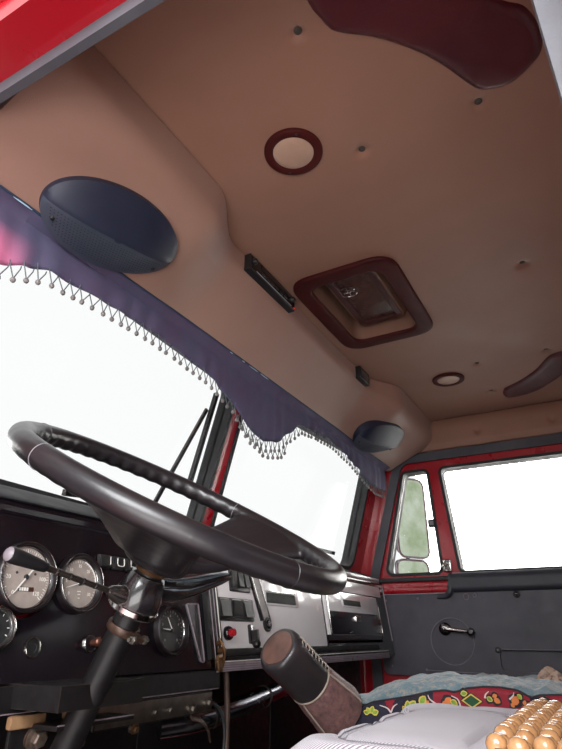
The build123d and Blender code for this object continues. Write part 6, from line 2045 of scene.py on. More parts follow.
def switches_finished():
    shape = Shape()
    # rocker blocks: a row of three in one black housing, and two above
    oblong_plate(shape, (0.026, 0.184), (0.952, 1.004), 0.002, 0.003, "satin_black", 0.005, 0.001)
    for k in range(3):
        rocker(shape, 0.158 - 0.052 * k, 0.979, 0.043, 0.040, k == 1)
        shape.tube(
            [dash_spot(0.176 - 0.052 * k, 1.0005, 0.0068), dash_spot(0.140 - 0.052 * k, 1.0005, 0.0068)],
            0.0008, "print", 6
        )
        shape.words(
            "-" if k == 1 else "|", 0.010, dash_spot(0.158 - 0.052 * k, 0.970, 0.0115), FACE_RIGHT, FACE_UP,
            "dial"
        )
    oblong_plate(shape, (0.036, 0.128), (1.020, 1.076), 0.002, 0.004, "satin_black", 0.004, 0.001)
    for k in range(3):
        rocker(shape, 0.112 - 0.030 * k, 1.050, 0.025, 0.042, k == 0)
    # three rockers above the column, two of them with a pale outline
    for k in range(3):
        x = 0.553 - 0.036 * k
        rocker(shape, x, 1.046, 0.031, 0.024, k == 1)
    path = [
        dash_spot(x, z, 0.0126)
        for x, z in ((0.5255, 1.0535), (0.5255, 1.0415), (0.5165, 1.039), (0.5085, 1.0415), (0.5085, 1.0535))
    ]
    shape.tube(smooth_path(path, 4), 0.0009, "print", 6)
    path = [dash_spot(x, z, 0.0126) for x, z in ((0.489, 1.0535), (0.489, 1.041), (0.475, 1.041))]
    shape.tube(path, 0.0009, "print", 6)
    shape.tube([dash_spot(0.5445, z, 0.0126) for z in (1.040, 1.054)], 0.0009, "print", 6)
    # slanted ribbed strip with bright edges and a round end
    top, low, half = (0.020, 1.090), (-0.034, 0.955), 0.0155
    for shift, wide, level, key in (
        (0, half, 0.006, "crackle"), (half + 0.004, 0.0022, 0.009, "chrome"),
        (half + 0.0085, 0.0026, 0.008, "gloss_black"), (-half - 0.002, 0.0016, 0.009, "chrome")
    ):
        corners = [
            (x + shift + s * wide, z) for (x, z), sides in ((low, (-1, 1)), (top, (1, -1))) for s in sides
        ]
        dash_plate(shape, corners, 0.001, level, key, 0.0, 0.0008)
    for z, key, radius in (
        (0.947, "satin_black", 0.0175), (0.947, "gloss_black", 0.0115), (0.947, "lilac", 0.006)
    ):
        level = 0.010 if radius > 0.012 else 0.0125 if radius > 0.007 else 0.014
        shape.lathe(
            [(radius, 0.0), (radius, level - 0.002), (radius - 0.002, level)], dash_spot(-0.037, z), FACE_OUT,
            key, 28
        )
    rib = Shape()
    rib.plate(
        [(-half + 0.001, -0.0014), (half - 0.001, -0.0014), (half - 0.001, 0.0014), (-half + 0.001, 0.0014)],
        (0, 0, 0), FACE_RIGHT, FACE_UP, 0.0014, "crackle"
    )
    spots = [
        dash_spot(low[0] + (top[0] - low[0]) * t, low[1] + (top[1] - low[1]) * t, 0.0068)
        for t in (0.12 + 0.87 * k / 22 for k in range(23))
    ]
    shape.take(scatter("strip_ribs", spots, rib, "crackle"), "crackle")
    # red push button in a black collar, and a small lever that ends in a ball
    spot = dash_spot(0.152, 0.925)
    shape.lathe(
        [(0.0155, 0), (0.0155, 0.010), (0.0135, 0.013), (0.010, 0.013)], spot, FACE_OUT, "gloss_black", 28
    )
    shape.lathe(
        [(0.0085, 0.011), (0.0085, 0.021), (0.0078, 0.0245), (0.005, 0.0265), (0.0015, 0.027)], spot,
        FACE_OUT, "knob_red", 28
    )
    oblong_plate(shape, (0.0385, 0.0575), (0.902, 0.946), 0.002, 0.007, "gloss_black", 0.005, 0.0015)
    shape.block(
        (-0.0045, -0.022, 0), (0.0045, 0.010, 0.020), "bezel", 0.0018, 2,
        Matrix.Translation(dash_spot(0.048, 0.922, 0.006)) @ Matrix((
            FACE_RIGHT, FACE_UP, FACE_OUT
        )).transposed().to_4x4()
    )
    ball = [
        (0.0105 * math.sin(a), 0.018 - 0.0105 * math.cos(a))
        for a in (math.pi * (k + 0.25) / 8.5 for k in range(9))
    ]
    shape.lathe(ball, dash_spot(0.047, 0.900), FACE_OUT, "bezel", 20)
    # ringed socket, its hole a black disc of painted shade, and a pull knob on the driver's side
    ring = [
        (0.0140 + 0.0012 * math.cos(a), 0.0016 + 0.0012 * math.sin(a))
        for a in (k * math.pi / 4 for k in range(8))
    ]
    shape.lathe(ring, dash_spot(0.6965, 0.902), FACE_OUT, "chrome", 36, close=True)
    shape.lathe(
        [(0.013, 0.0), (0.013, 0.0012), (0.008, 0.0012), (0.0075, 0.0004)], dash_spot(0.6965, 0.902),
        FACE_OUT, "painted_hole_shade", 36
    )
    spot = dash_spot(0.579, 0.907)
    shape.lathe([(0.0150, 0), (0.0150, 0.003), (0.0135, 0.005), (0.011, 0.005)], spot, FACE_OUT, "chrome", 32)
    shape.lathe([(0.0125, 0.004), (0.0125, 0.0065), (0.0100, 0.0075)], spot, FACE_OUT, "bezel", 32)
    shape.lathe(
        [(0.0052, 0.006), (0.0052, 0.016), (0.0080, 0.019), (0.0080, 0.025), (0.006, 0.0275), (0.002, 0.028)],
        spot, FACE_OUT, "copper", 28
    )
    shape.done("switches_finished", "cab", "switch_black", ["switch_panel"])


centre_panel()
switches_finished()


# %% Tapered frame, ridges and the rail along the lower edge
def dash_trims():
    shape = Shape()
    wedge = rounded_outline(
        [(0.306, 0.982), (0.264, 0.984), (0.2495, 0.868), (0.262, 0.868)], [0.004, 0.004, 0.006, 0.006], 4
    )
    path = [dash_spot(x, z, 0.005) for x, z in wedge]
    shape.tube(path, 0.0017, "lilac", 8, close=True)
    dash_plate(shape, wedge, 0.0, 0.0035, "rail_grey")
    fin = Shape()
    fin.plate(
        [(-0.0008, -0.054), (0.0008, -0.054), (0.0008, 0.054), (-0.0008, 0.054)], (0, 0, 0), FACE_RIGHT,
        FACE_UP, 0.0016, "satin_black"
    )
    shape.take(
        scatter(
            "wedge_fins", [dash_spot(0.262 + 0.0055 * k, 0.930, 0.0036) for k in range(3)], fin, "satin_black"
        ),
        "satin_black"
    )
    for x, wide, level, key in (
        (0.2285, 0.0072, 0.010, "ridge"), (0.2200, 0.0007, 0.0115, "lilac"), (0.2130, 0.0055, 0.010, "ridge"),
        (0.2060, 0.0007, 0.0115, "lilac"), (0.2000, 0.0048, 0.010, "ridge"),
        (0.1935, 0.0009, 0.0115, "print"), (0.1880, 0.0042, 0.008, "ridge")
    ):
        shift = 0.006
        dash_plate(
            shape,
            [
                (x - shift - wide, 0.872), (x - shift + wide, 0.872), (x + shift + wide, 1.03),
                (x + shift - wide, 1.03)
            ],
            0.0, level, key, 0.0, 0.0004
        )
    # brass nuts and a short pipe at the foot of the ridges
    for x, z, radius, level in (
        (0.2030, 0.9030, 0.0062, 0.018), (0.1990, 0.8880, 0.0075, 0.022), (0.1960, 0.8720, 0.0062, 0.016)
    ):
        shape.lathe(
            [(radius, 0.004), (radius, level - 0.001), (radius - 0.0015, level)], dash_spot(x, z), FACE_OUT,
            "brass", 6
        )
        shape.lathe(
            [(radius * 0.55, level - 0.002), (radius * 0.55, level + 0.005), (radius * 0.35, level + 0.006)],
            dash_spot(x, z), FACE_OUT, "brass", 12
        )
    pipe = [
        dash_spot(0.206, 0.912, 0.018), dash_spot(0.2055, 0.900, 0.024), dash_spot(0.2005, 0.886, 0.026),
        dash_spot(0.196, 0.870, 0.020), dash_spot(0.192, 0.852, 0.010)
    ]
    shape.tube(smooth_path(pipe, 5), 0.0026, "brass", 8)
    # black edge, bright line and a grey strip along the bottom
    oblong_plate(shape, (-0.86, 0.184), (0.8785, 0.8925), 0.0, 0.0045, "ridge", 0.0, 0.0015)
    path = [
        dash_spot(x, 0.866 + 0.004 * step(0.2, -0.6, x), 0.0125)
        for x in (0.212, 0.1, -0.05, -0.2, -0.35, -0.55, -0.75, -0.93)
    ]
    shape.tube(path, 0.0012, "print", 8)
    oblong_plate(shape, (-0.93, 0.212), (0.8460, 0.8640), 0.008, 0.0055, "lilac", 0.0, 0.0015)
    for k in range(3):
        oblong_plate(
            shape, (-0.93, 0.212), (0.8490 + 0.0045 * k, 0.8497 + 0.0045 * k), 0.0134, 0.0003, "bezel"
        )
    oblong_plate(shape, (0.196, 0.212), (0.846, 0.880), 0.006, 0.010, "brass", 0.002, 0.001)
    # a light edge along the top of the passenger's side
    shape.block((-0.99, -0.853, 1.117), (-0.56, -0.838, 1.135), "lilac", 0.004)
    shape.tube(
        [
            (-1.0315, -0.8445, 1.122), (-1.0315, -0.838, 1.07), (-1.0315, -0.826, 0.98),
            (-1.0315, -0.8155, 0.905)
        ],
        0.0032, "lilac", 8
    )
    # black cowl over the foot of the windscreens
    cowl = rounded_outline(
        [
            (-0.838, 1.1235), (-0.846, 1.1300), (-0.912, 1.1600), (-0.938, 1.1690), (-0.964, 1.1690),
            (-0.964, 1.1235)
        ],
        [0.003, 0.006, 0.01, 0.006, 0.003, 0.002], 4
    )
    shape.skin([[(x, y, z) for y, z in cowl] for x in (-1.028, 1.028)], "cowl")
    shape.done("dash_trims", "cab", "dash_black")


dash_trims()


# %% Lid of the glovebox, with a lip, a latch and a keyhole
def glovebox_trim():
    shape = Shape()
    oblong_plate(shape, (-0.925, -0.458), (0.925, 1.050), 0.0012, 0.0012, "gloss_black", 0.008, 0.0006)
    # Thin near-white bars: a painted reflection of the bright windows.
    for x, thick in ((-0.4220, 0.0016), (-0.4310, 0.0016), (-0.4400, 0.0016)):
        oblong_plate(shape, (x - thick, x + thick), (0.925, 1.058), 0.0, 0.0034, "painted_window_reflection", 0.0, 0.0006)
    # near-white plate, a painted reflection, with a slot whose depth is a black plate of painted shade
    oblong_plate(shape, (-0.918, -0.452), (0.996, 1.058), 0.0024, 0.0022, "painted_window_reflection", 0.006, 0.0008)
    oblong_plate(shape, (-0.735, -0.565), (1.012, 1.052), 0.0042, 0.0030, "painted_window_reflection", 0.004, 0.0012)
    oblong_plate(shape, (-0.728, -0.575), (1.017, 1.035), 0.0072, 0.0012, "painted_hole_shade", 0.002)
    path = [
        dash_spot(x, z, 0.0018)
        for x, z in rounded_outline(
            [(-0.932, 0.925), (-0.452, 0.925), (-0.452, 1.058), (-0.932, 1.058)], 0.010, 4
        )
    ]
    shape.tube(path, 0.0016, "chrome", 6, close=True)
    oblong_plate(shape, (-0.715, -0.665), (0.966, 0.986), 0.001, 0.007, "chrome", 0.004, 0.0015)
    shape.lathe(
        [(0.006, 0.006), (0.006, 0.0095), (0.0045, 0.011), (0.002, 0.011)], dash_spot(-0.69, 0.976), FACE_OUT,
        "satin_black", 20
    )
    shape.done("glovebox_trim", "glovebox", "dash_black")


glovebox_trim()
print("dash panel, switches, trims and glovebox lid")

# %% [markdown]
# Under the dash the cab is dark, and that shade is painted in: near-black boards cover the front wall, and a
# near-black flange, brackets, bolts and a round duct hang below the rail. Boards are thin plates with bent
# edges, and every bolt is the same small hexagon on a washer, repeated by the scatter tree.


# %% Boards, flange, bolts and duct under the dash
M["bracket"] = finish(
    "primed_bracket", srgb(150, 118, 84), srgb(104, 76, 54), (0.45, 0.65), (36.0, 1.0),
    worn=(RUST, 0.003, 0.8)
)
M["rusty_steel"] = finish(
    "stained_steel", srgb(132, 118, 108), srgb(78, 62, 52), (0.35, 0.55), (60.0, 1.0), Metallic=0.7
)
M["rusty"] = finish(
    "rusty_steel", srgb(78, 58, 48), srgb(48, 34, 30), (0.45, 0.65), (40.0, 1.0), Metallic=0.3
)
M["duct"] = finish(
    "polished_duct", srgb(176, 176, 184), srgb(120, 118, 126), (0.12, 0.3), (9.0, 0.9), Metallic=1.0
)


def bolt_shape(size, key):
    shape = Shape()
    out = Vector((0, 0.97, -0.24))
    shape.lathe(
        [(size * 1.5, 0), (size * 1.5, size * 0.25), (size * 1.3, size * 0.35)], (0, 0, 0), out, key, 16
    )
    shape.lathe([(size, size * 0.3), (size, size * 1.0), (size * 0.8, size * 1.15)], (0, 0, 0), out, key, 6)
    return shape


def under_dash():
    shape = Shape()
    # front boards: flat near-black sheets, painted shade, with a sloping toe board on each side
    for low, high, foot in ((-1.0, -0.286, 0.42), (-0.280, 0.280, 0.63), (0.286, 1.0, 0.42)):
        shape.block((low, -0.954, foot), (high, -0.946, 0.852), "soot", 0.002)
    for low, high in ((-1.0, -0.286), (0.286, 1.0)):
        toe = ((-0.950, 0.43), (-0.800, 0.303), (-0.806, 0.300), (-0.956, 0.425))
        shape.skin([[(x, y, z) for y, z in toe] for x in (low, high)], "mat")
    # flange below the rail, with a worn lower edge
    lip = (
        (-0.800, 0.852), (-0.797, 0.818), (-0.800, 0.8155), (-0.845, 0.8125), (-0.845, 0.8155),
        (-0.803, 0.8185), (-0.804, 0.852)
    )
    shape.skin([[(x, y, z) for y, z in lip] for x in (0.20, 0.86)], "soot")
    shape.tube([(x, -0.7968, 0.8165) for x in (0.205, 0.42, 0.64, 0.86)], 0.0008, "lilac", 6)
    # gusset and bright edge of the column bracket, and the tab that carries its big bolt
    gusset_x = 0.600
    shape.skin(
        [
            [(gusset_x + w, -0.796, 0.846), (gusset_x + w, -0.796, 0.802), (gusset_x + w, -0.766, 0.802)]
            for w in (0.0, 0.034)
        ],
        "bracket"
    )
    shape.block((0.530, -0.800, 0.794), (0.692, -0.740, 0.801), "soot", 0.002)
    shape.tube([(x, -0.740, 0.801) for x in (0.532, 0.61, 0.69)], 0.0011, "lilac", 6)
    shape.block((0.628, -0.806, 0.736), (0.723, -0.799, 0.800), "soot", 0.003)
    shape.block((0.668, -0.803, 0.796), (0.730, -0.790, 0.814), "bracket", 0.004)
    # strap, upright rod and a thin bent cable by the tunnel
    strap = smooth_path(
        [(0.292, -0.80, 0.770), (0.262, -0.797, 0.762), (0.236, -0.797, 0.742), (0.222, -0.80, 0.722)], 5
    )
    shape.tube(strap, 0.008, "rusty", 8, flat=0.35)
    shape.tube(
        [
            (0.150, -0.815, 0.850), (0.153, -0.806, 0.78), (0.160, -0.800, 0.70), (0.160, -0.81, 0.60),
            (0.16, -0.86, 0.50)
        ],
        0.0068, "rusty", 12
    )
    cable = smooth_path(
        [
            (0.215, -0.803, 0.79), (0.190, -0.800, 0.775), (0.172, -0.800, 0.745), (0.166, -0.803, 0.70),
            (0.168, -0.82, 0.62), (0.17, -0.88, 0.52)
        ],
        6
    )
    shape.tube(cable, 0.0035, "rubber", 8)
    # duct: a smooth tube across the tunnel with two clamps
    duct = smooth_path(
        [
            (-0.34, -0.87, 0.81), (-0.15, -0.845, 0.79), (0.02, -0.835, 0.772), (0.13, -0.838, 0.762),
            (0.21, -0.86, 0.752), (0.27, -0.90, 0.745)
        ],
        6
    )
    shape.tube(duct, 0.024, "duct", 24)
    for k in (9, 20):
        shape.tube(
            [duct[k] + (duct[k + 1] - duct[k]).normalized() * s for s in (-0.004, 0.004)], 0.0256, "soot", 24
        )
    shape.done("under_dash_boards", "cab", "column_paint")
    carrier = Shape()
    small = [
        (0.41, -0.7975, 0.790), (0.366, -0.7975, 0.790), (0.470, -0.7975, 0.771), (0.585, -0.7975, 0.764),
        (0.600, -0.7975, 0.735)
    ]
    large = [(0.292, -0.799, 0.786), (0.236, -0.799, 0.792)]
    carrier.block((0.222, -0.806, 0.774), (0.560, -0.799, 0.8125), "soot", 0.002)
    for name, spots, size, key in (
        ("flange_bolts", small, 0.0050, "steel"), ("flange_nuts", large, 0.0072, "steel"),
        ("cable_nut", [(0.470, -0.790, 0.771)], 0.0062, "brass"),
        ("bracket_bolt", [(0.676, -0.7985, 0.782)], 0.0125, "rusty_steel"),
        ("tab_bolt", [(0.646, -0.7985, 0.755)], 0.0045, "steel")
    ):
        carrier.take(scatter(name, spots, bolt_shape(size, key), key), key)
    carrier.lathe(
        [(0.021, 0.0), (0.021, 0.0022), (0.019, 0.003), (0.010, 0.003)], (0.676, -0.7992, 0.782),
        (0, 0.97, -0.24), "rusty", 32
    )
    carrier.done("under_dash_bolts", "cab", "column_paint")


under_dash()
print("boards, flange and bolts under the dash")


# %% [markdown]
# ## Doors and mirrors
# Both doors carry the same fittings, mirrored. Each piece is built once on the closed right-hand door, in
# the cab's coordinates. Its mirror image is then swung about the left hinge line to where that door
# stands, and the faces are flipped, because mirroring turns a mesh inside out.

# %% A piece on both doors
TRIM_X = -1.045
HINGE_SPOT, DOOR_OPEN = (1.147, -0.915, 0.8), math.radians(70)
HINGE = Matrix.Translation(HINGE_SPOT)
MIRRORED = HINGE @ Matrix.Rotation(-DOOR_OPEN, 4, "Z") @ HINGE.inverted() @ Matrix.Scale(-1, 4, (1, 0, 0))


def both_doors(name, build, slot, node=None):
    shape = Shape()
    build(shape)
    right = bpy.data.meshes.new(name)
    shape.bm.to_mesh(right)
    shape.bm.free()
    for key in shape.finishes:
        right.materials.append(M[key])
    left = right.copy()
    left.transform(MIRRORED)
    left.flip_normals()
    for side, mesh in (("right", right), ("left", left)):
        place(f"{name}_{side}", mesh, f"door_{side}", slot, [f"{node}_{side}"] if node else ())


def door_spot(y, z, out=0.0):
    return Vector((TRIM_X + out, y, z))


M["sill"] = finish(
    "moulded_sill", srgb(58, 60, 68), srgb(46, 48, 56), (0.4, 0.55), relief=(0.0014, 0.00012), dust=0.1
)
M["embossed"] = finish(
    "embossed_edge", srgb(132, 128, 138), srgb(110, 106, 116), (0.35, 0.5), relief=(0.0012, 0.0001)
)
# The mirror faces are metal in green and pale grey blotches: a painted reflection of trees and sky.
M["mirror_painted_reflection"] = finish(
    "mirror_painted_reflection", srgb(140, 158, 116), srgb(212, 218, 206), (0.03, 0.08), (11.0, 1.0), Metallic=1.0
)
M["mirror_rim"] = finish("mirror_rim", srgb(158, 158, 164), srgb(126, 126, 134), (0.4, 0.55), (20.0, 0.8))


# %% Window winder, lock stud and handles
def door_fittings(shape):
    inward = (1, 0, 0)
    shape.lathe(
        [(0.0005, 0), (0.0235, 0), (0.0235, 0.004), (0.0205, 0.0085), (0.0155, 0.0105), (0.0005, 0.011)],
        door_spot(-0.603, 0.948), inward, "gloss_black", 36
    )
    arm = [
        door_spot(y, z, out)
        for y, z, out in (
            (-0.611, 0.9495, 0.016), (-0.603, 0.9488, 0.0175), (-0.575, 0.9455, 0.0195),
            (-0.535, 0.9410, 0.0205), (-0.503, 0.9375, 0.0205)
        )
    ]
    shape.tube(arm, [0.0075, 0.0105, 0.0085, 0.0068, 0.0060], "chrome", 14, flat=0.5, side=inward)
    shape.lathe(
        [(0.006, 0.009), (0.0058, 0.0185), (0.005, 0.0225), (0.0028, 0.0245), (0.0004, 0.025)],
        door_spot(-0.603, 0.948), inward, "chrome", 24
    )
    knob = [
        (0.0045, 0.016), (0.0050, 0.0245), (0.0115, 0.0265), (0.0148, 0.0315), (0.0142, 0.0365),
        (0.0100, 0.0400), (0.0062, 0.0405)
    ]
    shape.lathe(knob, door_spot(-0.500, 0.937), inward, "gloss_black", 28)
    shape.lathe(
        [(0.0064, 0.0400), (0.0056, 0.0415), (0.0030, 0.0424), (0.0004, 0.0426)], door_spot(-0.500, 0.937),
        inward, "embossed", 20
    )
    for y, z, radius, key in ((-0.508, 1.061, 0.0105, "lilac"), (-0.4745, 1.0655, 0.0060, "embossed")):
        ring = [
            (radius + 0.0022 * math.cos(a), 0.0012 + 0.0022 * math.sin(a))
            for a in (k * math.pi / 4 for k in range(8))
        ]
        shape.lathe(ring, door_spot(y, z), inward, key, 28, close=True)
    shape.lathe(
        [(0.0135, 0), (0.0135, 0.002), (0.0115, 0.0035), (0.0065, 0.004)], door_spot(-0.321, 1.067), inward,
        "satin_black", 24
    )
    shape.lathe(
        [(0.0078, 0.003), (0.0074, 0.007), (0.0055, 0.0105), (0.0025, 0.0125), (0.0004, 0.013)],
        door_spot(-0.321, 1.067), inward, "chrome", 24
    )
    # outside: a plate, a grab handle and a lock barrel
    shape.block((-1.133, -0.160, 1.0175), (-1.128, -0.012, 1.0525), "chrome", 0.0022)
    grab = smooth_path(
        [
            (-1.128, -0.150, 1.035), (-1.146, -0.142, 1.035), (-1.1535, -0.118, 1.035),
            (-1.1545, -0.090, 1.035), (-1.1535, -0.062, 1.035), (-1.146, -0.040, 1.035),
            (-1.128, -0.034, 1.035)
        ],
        5
    )
    shape.tube(grab, 0.0058, "chrome", 14)
    shape.lathe(
        [(0.0082, 0.0), (0.0082, 0.011), (0.0066, 0.0125), (0.0004, 0.0125)], (-1.131, -0.022, 1.035),
        (-1, 0, 0), "steel", 24
    )


both_doors("door_fittings_finished", door_fittings, "bright_metal", "door_fittings")


# %% Sills, rails, seals and screws
def door_details(shape):
    # moulded sill under the sliding glass, with a soft lower edge and a pale line along its top, a painted
    # highlight
    section = rounded_outline(
        [
            (-1.082, 1.150), (-1.082, 1.084), (-1.036, 1.078), (-1.026, 1.092), (-1.028, 1.136),
            (-1.040, 1.150)
        ],
        [0.002, 0.002, 0.008, 0.010, 0.010, 0.010], 4
    )
    shape.skin([[(x, y, z) for x, z in section] for y in (-0.556, -0.552, -0.30, -0.024, -0.020)], "sill")
    shape.tube([(-1.0405, y, 1.1505) for y in (-0.55, -0.3, -0.03)], 0.0016, "mirror_rim", 8)
    # red rail and black seal under the quarter window
    rail = rounded_outline(
        [
            (TRIM_X - 0.032, 1.128), (TRIM_X - 0.032, 1.080), (TRIM_X + 0.003, 1.080),
            (TRIM_X + 0.007, 1.090), (TRIM_X + 0.007, 1.118), (TRIM_X - 0.001, 1.127)
        ],
        0.004, 3
    )
    shape.skin([[(x, y, z) for x, z in rail] for y in (-0.862, -0.70, -0.566)], "paint")
    shape.tube([(TRIM_X + 0.0075, y, 1.104) for y in (-0.858, -0.70, -0.572)], 0.0016, "paint", 8)
    shape.tube([(TRIM_X + 0.0045, y, 1.0775) for y in (-0.862, -0.70, -0.555)], 0.0024, "mirror_rim", 8)
    shape.block((-1.085, -0.868, 1.124), (-1.034, -0.556, 1.1415), "rubber", 0.005, 3)
    elbow = smooth_path(
        [
            (-1.050, -0.560, 1.148), (-1.044, -0.560, 1.135), (-1.039, -0.560, 1.110),
            (-1.036, -0.566, 1.082), (-1.040, -0.585, 1.066), (-1.042, -0.620, 1.063)
        ],
        6
    )
    shape.tube(
        elbow,
        [0.010 + 0.003 * step(0, 8, k) - 0.006 * step(20, len(elbow) - 1, k) for k in range(len(elbow))],
        "sill", 12
    )
    # dish rim, the bright edge of the pull recess with its end piece, and the foot line
    rim = [
        door_spot(-0.580 + 0.0815 * math.cos(a), 0.905 + 0.0815 * math.sin(a), 0.0006)
        for a in (2 * math.pi * k / 56 for k in range(56))
    ]
    shape.tube(rim, 0.0024, "embossed", 8, close=True)
    shape.tube([door_spot(y, 0.8785, 0.001) for y in (-0.405, -0.25, -0.062)], 0.0023, "embossed", 8)
    shape.lathe(
        [(0.0105, 0), (0.0105, 0.003), (0.0085, 0.0055), (0.0035, 0.006)], door_spot(-0.4175, 0.8765),
        (1, 0, 0), "satin_black", 24
    )
    shape.lathe(
        [(0.0032, 0.005), (0.0028, 0.007), (0.0004, 0.008)], door_spot(-0.4175, 0.8765), (1, 0, 0),
        "mirror_rim", 14
    )
    shape.tube(
        [door_spot(y, 0.8035 - 0.002 * k, 0.0005) for k, y in enumerate((-0.690, -0.62, -0.55, -0.462))],
        0.0019, "embossed", 8
    )
    # latch of the quarter window and the catch higher up
    shape.block((-1.066, -0.585, 1.158), (-1.052, -0.553, 1.206), "chrome", 0.005, 3)
    shape.tube(
        smooth_path(
            [
                (-1.050, -0.570, 1.196), (-1.038, -0.574, 1.188), (-1.034, -0.584, 1.178),
                (-1.038, -0.592, 1.168)
            ],
            5
        ),
        0.0056, "chrome", 12
    )
    shape.lathe(
        [(0.0075, 0), (0.0075, 0.006), (0.005, 0.009), (0.0004, 0.0095)], (-1.052, -0.566, 1.170), (1, 0, 0),
        "steel", 20
    )
    shape.block((-1.082, -0.632, 1.340), (-1.058, -0.600, 1.372), "rubber", 0.007, 3)
    screw = Shape()
    screw.lathe(
        [(0.0046, -0.001), (0.0046, 0.0008), (0.0034, 0.0018), (0.0015, 0.0012), (0.0004, 0.0012)], (0, 0, 0),
        (1, 0, 0), "embossed", 14
    )
    spots = [
        door_spot(y, z, 0.0004)
        for y, z in (
            (-0.835, 1.055), (-0.835, 0.93), (-0.825, 0.815), (-0.69, 0.805), (-0.43, 0.797), (-0.05, 0.797),
            (-0.04, 0.95), (-0.04, 1.06), (-0.70, 1.06)
        )
    ]
    shape.take(scatter("trim_screws", spots, screw, "embossed"), "embossed")


both_doors("door_details", door_details, "door_trim_black")


# %% Mirror glasses in pale rims
def mirror_glasses(shape):
    across = Vector((-0.818, 0.574, 0))
    for spot, wide, high in (
        ((-1.2845, -0.7645, 1.431), 0.172, 0.365), ((-1.2825, -0.7775, 1.176), 0.176, 0.122)
    ):
        corners = rounded_outline(
            [(-wide / 2, -high / 2), (wide / 2, -high / 2), (wide / 2, high / 2), (-wide / 2, high / 2)],
            0.04, 6
        )
        shape.plate(
            [(a * 0.96, b * 0.98) for a, b in corners], spot, across, (0, 0, 1), 0.0016, "mirror_painted_reflection"
        )
        shape.tube(
            [Vector(spot) + across * a + Vector((0, 0, b)) for a, b in corners], 0.0052, "mirror_rim", 10,
            close=True
        )


both_doors("mirror_glasses", mirror_glasses, "mirror_body")


# %% [markdown]
# ## Seats
# A cushion is foam under a sewn cover, so it is fullest in the middle and its sides pull in between the
# corners. Blender's cloth solver gives that shape: a slightly small rounded box is remeshed into even
# faces and blown up with a little pressure, without gravity. How far a point may move is capped, the
# underside is kept flat where it rests on its pan, and the seams are pressed in afterwards.

# %% Blowing up a cushion
def pad_block(size, corner, rounding, inset):
    """A rounded box from the origin to size, as stacked rounded rectangles, a little smaller than the pad."""
    shape = Shape()
    rows = []
    for k in range(7):
        a = math.pi / 2 * k / 6
        rows.append((rounding * (1 - math.sin(a)), rounding * (1 - math.cos(a))))
    rows += [(e, size[2] - d) for e, d in rows[::-1]]
    rings = []
    for edge, z in rows:
        off = edge + inset
        box = [(off, off), (size[0] - off, off), (size[0] - off, size[1] - off), (off, size[1] - off)]
        level = inset + z * (size[2] - 2 * inset) / size[2]
        rings.append([(x, y, level) for x, y in rounded_outline(box, max(corner - edge, 0.012), 6)])
    shape.skin(rings, "mat")
    mesh = bpy.data.meshes.new("pad_block")
    shape.bm.to_mesh(mesh)
    shape.bm.free()
    return mesh


def with_modifiers(mesh, build):
    """The mesh that an object with freshly added modifiers evaluates to."""
    carrier = bpy.data.objects.new("carrier", mesh)
    bpy.context.scene.collection.objects.link(carrier)
    build(carrier)
    bpy.context.view_layer.update()
    result = bpy.data.meshes.new_from_object(carrier.evaluated_get(bpy.context.evaluated_depsgraph_get()))
    bpy.data.objects.remove(carrier)
    return result


def coordinates(mesh):
    flat = np.empty(len(mesh.vertices) * 3)
    mesh.vertices.foreach_get("co", flat)
    return flat.reshape(-1, 3)


def blown_up(mesh, voxel, cap, pressure=4.0, frames=20):
    """An even remesh of the block, swollen by the cloth solver, with every move capped."""
    def even(carrier):
        melt = carrier.modifiers.new("melt", "REMESH")
        melt.mode, melt.voxel_size = "VOXEL", voxel

    mesh = with_modifiers(mesh, even)
    rest = coordinates(mesh)
    scene = bpy.context.scene
    carrier = bpy.data.objects.new("swelling", mesh)
    scene.collection.objects.link(carrier)
    cloth = carrier.modifiers.new("cloth", "CLOTH")
    settings = cloth.settings
    settings.quality = 4
    settings.mass = 0.3
    settings.use_pressure = True
    settings.uniform_pressure_force = pressure
    settings.effector_weights.gravity = 0.0
    cloth.collision_settings.use_collision = False
    cloth.point_cache.frame_start, cloth.point_cache.frame_end = 1, frames
    for frame_number in range(1, frames + 1):
        scene.frame_set(frame_number)
    swollen = bpy.data.meshes.new_from_object(
        carrier.evaluated_get(bpy.context.evaluated_depsgraph_get())
    )
    moved = coordinates(swollen) - rest
    bpy.data.objects.remove(carrier)
    scene.frame_set(1)
    length = np.linalg.norm(moved, axis=1, keepdims=True)
    moved *= np.minimum(1.0, cap / np.maximum(length, 1e-9))
    mesh.vertices.foreach_set("co", (rest + moved).ravel())
    return mesh


def segment_distance(spots, line):
    """The distance in the XY plane from each spot to a line of points."""
    best = np.full(len(spots), 9.0)
    for a, b in zip(line[:-1], line[1:]):
        a, b = np.array(a[:2]), np.array(b[:2])
        along = b - a
        t = np.clip(((spots[:, :2] - a) @ along) / max(along @ along, 1e-12), 0, 1)
        best = np.minimum(best, np.linalg.norm(spots[:, :2] - a - t[:, None] * along, axis=1))
    return best


